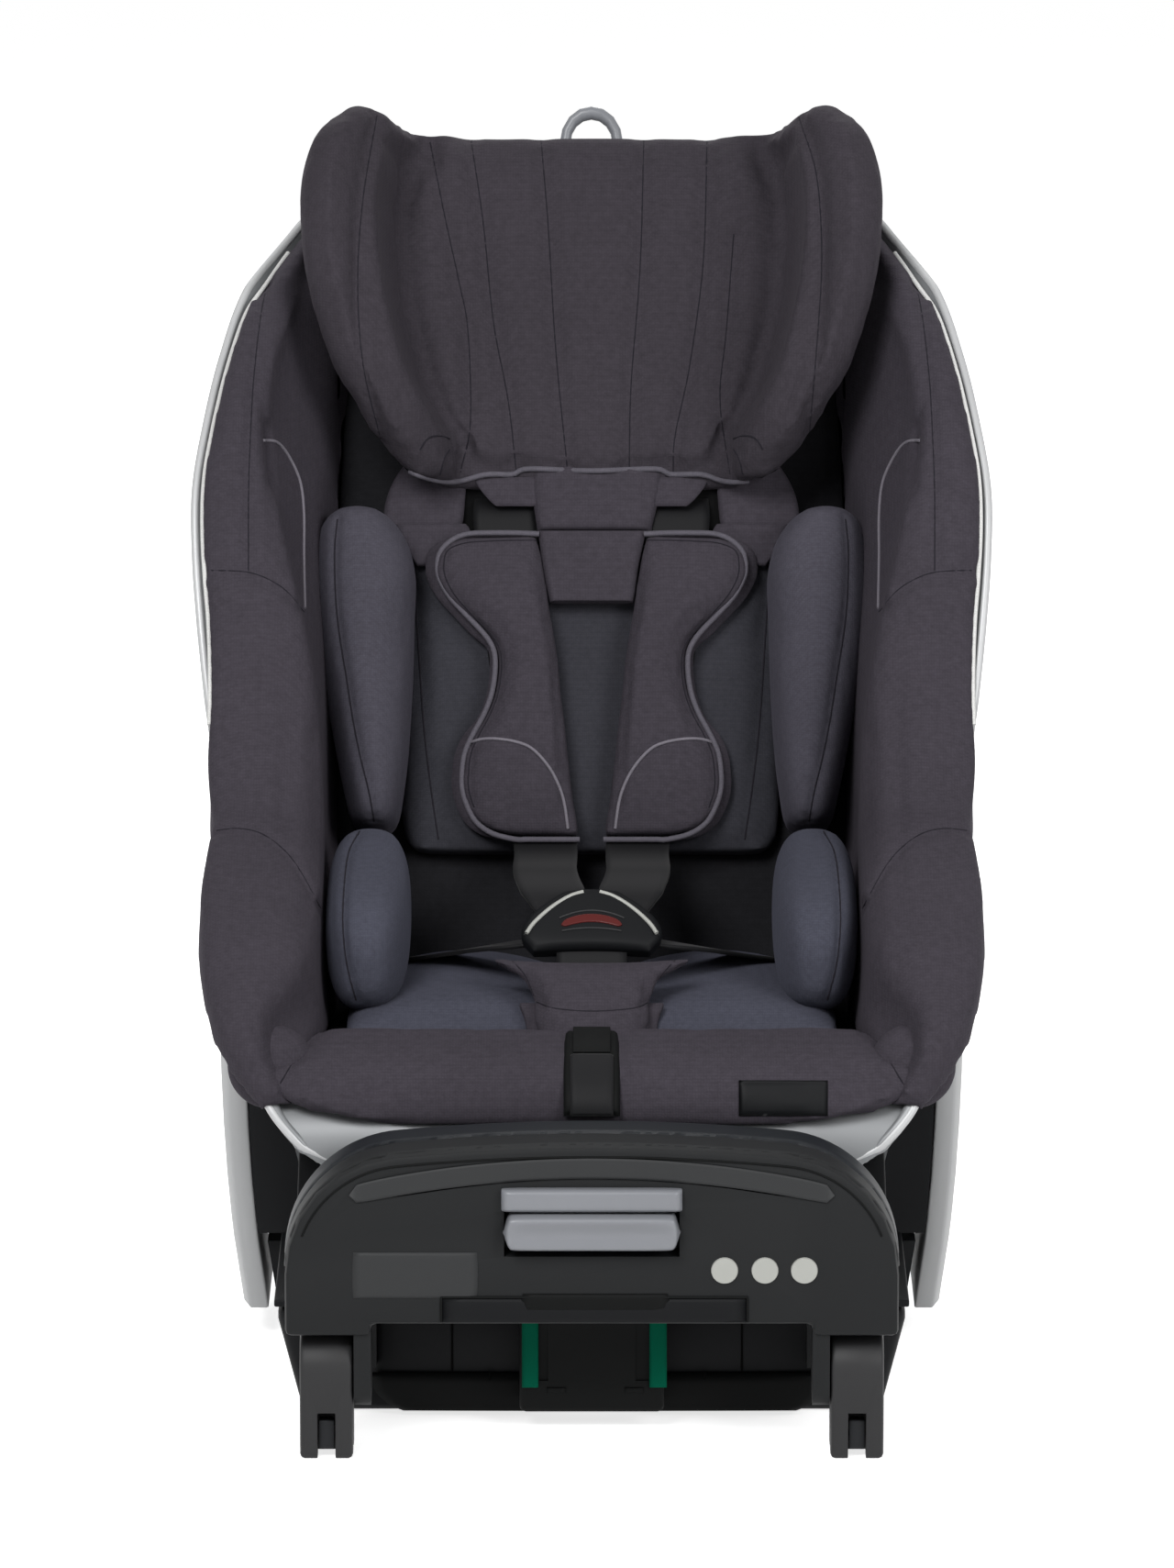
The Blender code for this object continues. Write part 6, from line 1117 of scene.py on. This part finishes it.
fitted(tongue, "seat", "steel", "buckle_tongue_left")
fitted(mirroredPiece(tongue, "buckleTongueRight"), "seat", "steel", "buckle_tongue_right")
tongueEdge = [onPlane(u, v, onBuckle(0, 0, 0.0068), buckleOut)
              for u, v in ((574, 1017), (582, 1006), (596, 993), (610, 983), (623, 976), (636, 972))]
cordsAlong("buckleTongueEdges", bothSides([smoothPath(tongueEdge, 5)]), 0.0012, discAbs, "seat")


# harness adjuster on the lip: the plate, the strap's end and a bare patch beside them
def lipStrip(name, half, sStart, sEnd, gap, thickness, material, rounded=False):
    def place(u, v, w):
        x = half * u * (bellEdge(max(v, 0), 2.2) if rounded else 1)
        s = sStart + (sEnd - sStart) * (v + 1) / 2
        return onSpine(x, s, lipTop(s) + gap + thickness * (w + 1) / 2 * (0.5 + 0.5 * bellEdge(u, 6)))
    return shaped(name, (12, 40, 1), place, material)


adjuster = dict(half=0.0115, length=0.022, end=lip["end"] - 0.0406, gap=0.0056, thickness=0.002,
                plateHalf=0.0150, plateStart=lip["end"] - 0.062, plateEnd=lip["end"] + 0.001,
                plateGap=0.0008, plateThickness=0.0038)
piece = lipStrip("adjusterStrap", adjuster["half"], adjuster["end"] - adjuster["length"], adjuster["end"],
                 adjuster["gap"], adjuster["thickness"], beltWeb)
fitted(piece, "seat", "webbing", "adjuster_strap")
piece = lipStrip("adjusterPlate", adjuster["plateHalf"], adjuster["plateStart"], adjuster["plateEnd"],
                 adjuster["plateGap"], adjuster["plateThickness"], deepPp, True)
fitted(piece, "seat", "black_plastic", "adjuster_bezel")


def onLipPatch(u, v, w):
    hit, normal, _, _ = lipTree.ray_cast(eye, pixelRay(854 + 48.5 * u, 1197 - 19 * v))
    if hit is None:
        hit, normal, _, _ = lipTree.find_nearest(Vector((0.106 + 0.0245 * u, -0.214, 0.170)))
    return hit + normal * (0.0006 + 0.0009 * w * bellEdge(u, 12) * bellEdge(v, 12))


fitted(shaped("lipPatch", (20, 10, 1), onLipPatch, blackPp), "seat", "black_plastic")
print("harness made")


# shell: one smooth moulding with a rim bead and the two cheeks that turn in the base
def onShell(u, v, w):
    place = (v + 1) / 2 * (len(stations) - 1)
    profile = offsetProfile(wallProfile(place), bucket["wall"] / 2)
    # the rim is lower where the bolster wraps over it
    hidden = 3.1 * ramp((6.8 - place) / 1.6) * ramp((place - 0.4) / 0.8)
    x, depth = smoothAt(profile, abs(u) * (len(profile) - 1 - hidden))
    return inSection(place, math.copysign(x, u), depth)


cheek = dict(pivot=0.232, radius=0.152, thickness=0.005, topX=0.176, lean=0.16, angle=math.radians(66),
             topHalf=0.100, topRise=0.007)


def cheekAt(z):
    return cheek["topX"] - cheek["lean"] * (cheek["pivot"] - z)


def onCheek(u, v, w):
    angle = u * cheek["angle"]
    radius = cheek["radius"] * (1 - 0.11 * abs(u) ** 9)
    arc = Vector((radius * math.sin(angle), cheek["pivot"] - radius * math.cos(angle)))
    y, z = Vector((u * cheek["topHalf"], cheek["pivot"] + cheek["topRise"])).lerp(arc, (v + 1) / 2)
    return Vector((cheekAt(z) + w * cheek["thickness"] / 2, y, z))


def onWeb(u, v, w):
    # closes the gap between an arm and the cheek
    z = 0.128 + 0.066 * v
    inside, outside = cheekAt(z) + 0.0062, 0.190 - 0.017 * (1 - z / 0.232) ** 3 - 0.0006
    return Vector((inside + (outside - inside) * (u + 1) / 2, 0.012 + (0.048 - 0.018 * v) * w, z))


# the painted shadow sheet, just inside the shell's inner face
def onGapShadow(u, v, w):
    place = 5 + 4.9 * (v + 1)
    x, depth = smoothAt(offsetProfile(wallProfile(place), -0.0009), abs(u) * 3.6)
    return inSection(place, math.copysign(x, u), depth)


# the shell takes the darker silver: painted shade
shell = finishPiece("shellBucket", placed(grid(80, 170), onShell), shadedSilverAbs)
modified(shell, "SOLIDIFY", thickness=bucket["wall"], offset=0)
fitted(shell, "seat", "silver_plastic", "seat_shell")
rim = [onShell(-1, -1 + 2 * k / 240, 0) for k in range(241)]
otherSide = [Vector((-p.x, p.y, p.z)) for p in rim[::-1]]
rim += [onShell(-1 + 2 * k / 60, 1, 0) for k in range(1, 60)] + otherSide
# the rim bead takes the lightest silver: painted highlight
cordsAlong("shellRimBead", [evenPath(rim, 0.003)], 0.0024, highlightSilverAbs, "seat", "silver_plastic", 3)
for name, cuts, place, material, body, slotName, sharp in (
        ("shellCheek", (48, 20, 1), onCheek, shadedSilverAbs, "seat", "silver_plastic", 50),
        ("cradleWeb", (3, 20, 8), onWeb, blackPp, "base", "black_plastic", 40)):
    piece = shaped(name + "Right", cuts, place, material)
    for side in (piece, mirroredPiece(piece, name + "Left")):
        side.data.set_sharp_from_angle(angle=math.radians(sharp))
        fitted(side, body, slotName)
# a near-black sheet on the shell's inner face: painted shadow for the deep clefts beside the headrest
fitted(finishPiece("shellLiner", placed(grid(60, 90), onGapShadow), shadowCloth), "seat", "cover_fabric")
print("shell made")


# rigid parts: the solids with their edges rounded and their round faces smooth
rigid = dict(armShift=0.0045, loopScale=(1.1, 1.0, 1.4), loopFoot=0.603, segments=3, bevelFrom=38,
             sharpFrom=42)
bodyNames = {empty: word for word, empty in frame["bodies"].items()}
finishes = (
    (blackPp, "black_plastic", 0.0010, ("base_tray", "base_top", "shell_back_panel", "headrest_shell",
                                        "headrest_carrier", "recline_rack", "release_button_left",
                                        "release_button_right")),
    (deepPp, "black_plastic", 0.0010, ("leg_foot",)),
    (facePp, "black_plastic", 0.0012, ("front_bar",)),
    (greyPp, "grey_plastic", 0.0008, ("connector_housing_left", "connector_housing_right")),
    (deepPp, "grey_plastic", 0.0004, ("adjuster_lever",)),
    (handleAbs, "handle_plastic", 0.0010, ("headrest_handle",)),
    # the arms take their own silver level: painted shade against the lamps
    (armShadeSilverAbs, "silver_plastic", 0.0014, ("side_arm_left", "side_arm_right")),
    (greenPom, "green_plastic", 0.0003, ("leg_button",)),
    (zincSteel, "steel", 0.0004, ("crotch_anchor", "recline_pawl", "anchor_rail_left", "anchor_rail_right",
                                  "leg_outer_tube", "leg_inner_tube", "leg_hinge_pin")),
    (darkSteel, "steel", 0.0004, ("connector_hook_left", "connector_hook_right")))
for material, slotName, width, names in finishes:
    for name in names:
        node = frame["nodes"][name]
        first, *others = name.split("_")
        bm = bmesh.new()
        bm.from_mesh(node.data)
        if name.startswith("side_arm"):
            # the arms stand a little wider than the solids, as in the photograph
            shift = math.copysign(rigid["armShift"], bm.verts[:][0].co.x)
            bmesh.ops.translate(bm, verts=bm.verts, vec=(shift, 0, 0))
        if name == "headrest_handle":
            bmesh.ops.scale(bm, verts=bm.verts, vec=rigid["loopScale"],
                            space=Matrix.Translation((0, 0, -rigid["loopFoot"])))
        bmesh.ops.remove_doubles(bm, verts=bm.verts, dist=1e-6)
        bmesh.ops.dissolve_limit(bm, angle_limit=math.radians(0.4), verts=bm.verts, edges=bm.edges)
        piece = finishPiece(first + "".join(word.capitalize() for word in others), bm, material)
        modified(piece, "BEVEL", width=width, segments=rigid["segments"], limit_method="ANGLE",
                 angle_limit=math.radians(rigid["bevelFrom"]), miter_outer="MITER_ARC")
        piece.data.set_sharp_from_angle(angle=math.radians(rigid["sharpFrom"]))
        fitted(piece, bodyNames[node.parent], slotName, name)
print("rigid parts refined")


# front bar: crown band, grooves, grip, bezel, handle, plate and discs
arch = dict(half=0.1615, top=0.171, drop=0.0125, share=0.64, front=-0.300)
archSlope = math.atan(2 * arch["drop"] * arch["share"] / arch["half"])
archRadius = arch["half"] * (1 - arch["share"]) / (1 - math.sin(archSlope))
archEnd = arch["top"] - arch["drop"] * arch["share"] ** 2
archCentre = Vector((arch["half"] - archRadius, archEnd - archRadius * math.cos(archSlope)))


def onArch(t, inset):
    # along the bar's outline from its left shoulder to its right one
    if abs(t) < 0.6:
        x = arch["half"] * arch["share"] * abs(t) / 0.6
        point = Vector((x, arch["top"] - arch["drop"] * (x / arch["half"]) ** 2 - inset))
    else:
        angle = (math.pi / 2 - archSlope) * (1 - (abs(t) - 0.6) / 0.4)
        point = archCentre + (archRadius - inset) * heading(angle)
    return math.copysign(point.x, t), point.y


def onBand(height, edge, middle, half):
    # a thin layer on top of the bar, middle and half wide from front to back
    def place(u, v, w):
        x, z = onArch(u * 0.985, 0.0004 - height * (w + 1) / 2 * bellEdge(v, edge))
        return Vector((x, arch["front"] + middle + half * v, z))
    return place


def onGrip(u, v, w):
    z = 0.1598 - 0.0145 * u * u + 0.0055 * v * bellEdge(u, 10)
    return Vector((0.1275 * u, arch["front"] - 0.0003 - 0.0006 * (1 + w) / 2, z))


def onHandle(u, v, w):
    # a cupped pull: hollow above its lip, round at its ends
    ends = 0.45 + 0.55 * bellEdge(u, 10)
    scoop = 0.0035 * max(0, math.sin(math.pi * (v + 1) / 2 * 1.15)) * (1 - abs(u) ** 6)
    y = -0.298 - 0.0135 * (1 - w) / 2 * (0.55 + 0.45 * bellEdge(v, 3)) * ends + scoop
    x, z = 0.0468 * u * (1 - 0.012 * v * v), 0.1262 + 0.0098 * v * bellEdge(u, 12)
    return Vector((x, y if w < 0 else -0.286, z))


def onBezel(u, v, w):
    y = -0.3003 - 0.0065 * (1 - w) / 2 * (0.6 + 0.4 * bellEdge(v, 4)) * (0.5 + 0.5 * bellEdge(u, 14))
    return Vector((0.0475 * u, y if w < 0 else -0.2995, 0.1432 + 0.0062 * v * (1 - 0.05 * abs(u) ** 8)))


front = Vector((0, arch["front"], 0))
towards = Vector((0, -1, 0))
for name, cuts, place, material, body, slotName, node in (
        # the crown band in lighter slate is a painted highlight
        ("barCrown", (110, 8, 1), onBand(0.0014, 4, 0.0450, 0.0142), crownHighlightPp, "base", "black_plastic", None),
        ("barBand", (110, 8, 1), onBand(0.0010, 6, 0.0175, 0.0125), facePp, "base", "black_plastic", None),
        ("barGrip", (60, 6, 1), onGrip, gripPp, "base", "grey_plastic", "bar_grip_strip"),
        ("handleCup", (40, 16, 6), onHandle, handleAbs, "recline_handle", "handle_plastic", "recline_handle"),
        ("handleFrame", (40, 10, 4), onBezel, handleAbs, "base", "handle_plastic", "handle_bezel")):
    piece = shaped(name, cuts, place, material)
    if material is handleAbs:
        subdivided(piece)
    fitted(piece, body, slotName, node)


def onFront(u, v, lift=0.0004):
    return onPlane(u, v, front + towards * lift, towards)


groove = [onArch(t / 60, 0.0052) for t in range(-54, 55)]
lines = [[Vector((x, arch["front"] - 0.0001, z)) for x, z in groove]]
for a, b in (((481, 1441), (481, 1414)), ((815, 1441), (815, 1414)), ((481, 1414), (815, 1414))):
    lines.append(evenPath([onFront(*a), onFront(*b)], 0.004))
cordsAlong("barGrooves", lines, 0.0006, deepPp, "base", "black_plastic")
bm = bmesh.new()
for u in (790, 834, 877):
    turned = Matrix.Translation(onFront(u, 1385)) @ Matrix.Rotation(math.pi / 2, 4, "X")
    bmesh.ops.create_cone(bm, cap_ends=True, segments=40, radius1=0.0072, radius2=0.0068, depth=0.0012,
                          matrix=turned)
fitted(finishPiece("barDiscs", bm, discAbs, 40), "base", "silver_plastic")


# flat parts seen from the front: the bar's plate, a black sheet of painted shade, a slot's painted shadow,
# and the base's two panels
shelf, foot = Vector((0, -0.2035, 0)), Vector((0, -0.2382, 0))
flats = [
    ("barPlate", front, 0.0016, gripPp, "base", (12, 8, 1), 14, 0,
     ((1415, 385, 520), (1400, 384, 521), (1380, 384, 521), (1365, 385, 520))),
    ("barShade", front, 0.0012, blackPp, "base", (12, 4, 1), 30, 0,
     ((1441, 482, 814), (1430, 482, 814), (1415, 482, 814))),
    # the slot's opening: a flat deep-black sheet as painted shadow
    ("barSlot", front, 0.0024, deepPp, "base", (12, 4, 1), 10, 0,
     ((1428, 572, 726), (1420, 568, 730), (1410, 570, 728))),
    ("baseUpperPanel", shelf, 0.004, blackPp, "base", (30, 10, 2), 20, 0.004,
     ((1500, 404, 904), (1480, 402, 906), (1450, 402, 906), (1425, 402, 906))),
    ("baseLowerPanel", shelf + towards * 0.004, 0.006, deepPp, "base", (30, 10, 2), 16, 0.003,
     ((1537, 440, 868), (1530, 424, 884), (1515, 408, 900), (1496, 402, 906)))]
# the leg's foot: a slot's painted shadow and a green strip on each side
for word, slotSides, stripSides in (("Left", (596, 617), (569, 587)), ("Right", (681, 702), (708, 727))):
    flats.append(("footSlot" + word, foot, 0.0012, deepPp, "leg_inner", (4, 2, 1), 10, 0,
                  [(v, *slotSides) for v in (1518, 1512)]))
    flats.append(("legStrip" + word, foot + towards * 0.0003, 0.0045, greenPom, "leg_inner", (8, 24, 2), 6, 0,
                  [(v, *stripSides) for v in (1512, 1500, 1470, 1436)]))
for name, origin, thickness, material, body, cuts, edge, crown, rows in flats:
    piece = quilt(name, rows, origin, towards, thickness, material, cuts, edge, crown)
    if name.startswith("legStrip"):
        fitted(piece, body, "green_plastic", name.replace("legStrip", "indicator_strip_").lower())
    else:
        fitted(piece, body, "black_plastic")
lines = []
for u, top, bottom in ((493, 1436, 1494), (809, 1436, 1494), (534, 1496, 1536), (768, 1496, 1536)):
    origin = shelf + towards * (0.0075 if top > 1494 else 0.0046)
    lines.append(evenPath([onPlane(u, v, origin, towards) for v in (top, bottom)], 0.004))
cordsAlong("basePanelLines", lines, 0.0006, jointPp, "base", "black_plastic")

# rear cover: upright ribs
bm = bmesh.new()
for k in range(-3, 4):
    turned = (Matrix.Translation(onBack(0.026 * k, 0.215, -0.0495))
              @ Matrix.Rotation(bucket["backAngle"] - math.pi / 2, 4, "X"))
    bmesh.ops.create_cube(bm, size=1, matrix=turned @ Matrix.Diagonal((0.005, 0.004, 0.24, 1)))
ribs = modified(finishPiece("backPanelRibs", bm, blackPp), "BEVEL", width=0.0014, segments=3)
fitted(ribs, "seat", "black_plastic")
print("bar and base detailed")


# studio: a white floor and world that are brighter to the camera than to the seat
studio = dict(floor=0.74, worldLow=0.24, worldHigh=1.0, aim=Vector((0, 0, 0.3)),
              lamps=(("keyLamp", (-1.0, -2.4, 2.4), 1.4, 78), ("fillLamp", (1.8, -2.2, 1.6), 1.4, 42),
                     ("backLamp", (0, 2.4, 2.2), 1.6, 40)))


def seenBy(tree):
    # 1 for camera, glossy and transmission rays
    path = addNode(tree, "ShaderNodeLightPath")
    camera, glossy, through = (path.outputs["Is %s Ray" % word]
                               for word in ("Camera", "Glossy", "Transmission"))
    both = addNode(tree, "ShaderNodeMath", {0: camera, 1: glossy}, operation="MAXIMUM").outputs[0]
    return addNode(tree, "ShaderNodeMath", {0: both, 1: through}, operation="MAXIMUM").outputs[0]


# matt white paint with no visible edge
floorPaint, tree = emptyMaterial("Painted studio floor, white")
lift = addNode(tree, "ShaderNodeMath", {0: seenBy(tree), 1: studio["floor"]}, operation="MULTIPLY").outputs[0]
diffuse = addNode(tree, "ShaderNodeBsdfDiffuse", {"Color": toLinear("#f4f4f4")})
glow = addNode(tree, "ShaderNodeEmission", {"Color": (1, 1, 1, 1), "Strength": lift})
both = addNode(tree, "ShaderNodeAddShader", {0: diffuse.outputs[0], 1: glow.outputs[0]})
addNode(tree, "ShaderNodeOutputMaterial", {"Surface": both.outputs[0]})
bm = bmesh.new()
bmesh.ops.create_grid(bm, x_segments=1, y_segments=1, size=6)
finishPiece("studioFloor", bm, floorPaint)
world = bpy.data.worlds.new("Studio")
scene.world = world
world.use_nodes = True
tree = world.node_tree
tree.nodes.clear()
level = addNode(tree, "ShaderNodeMapRange", {"Value": seenBy(tree), "To Min": studio["worldLow"],
                                             "To Max": studio["worldHigh"]})
back = addNode(tree, "ShaderNodeBackground", {"Color": (1, 1, 1, 1), "Strength": level.outputs[0]})
addNode(tree, "ShaderNodeOutputWorld", {"Surface": back.outputs[0]})
for name, place, size, power in studio["lamps"]:
    data = bpy.data.lights.new(name, "AREA")
    data.shape, data.size, data.energy = "DISK", size, power
    lamp = bpy.data.objects.new(name, data)
    lamp.location = place
    lamp.rotation_euler = (studio["aim"] - lamp.location).to_track_quat("-Z", "Y").to_euler()
    scene.collection.objects.link(lamp)
cameraData = bpy.data.cameras.new("photoCamera")
cameraData.sensor_width, cameraData.sensor_fit = 36, "AUTO"
cameraData.lens = 36 * photo["focus"] / photo["height"]
camera = bpy.data.objects.new("photoCamera", cameraData)
camera.location = eye
camera.rotation_euler = sight.to_track_quat("-Z", "Y").to_euler()
scene.collection.objects.link(camera)
scene.camera = camera

print("scene made")
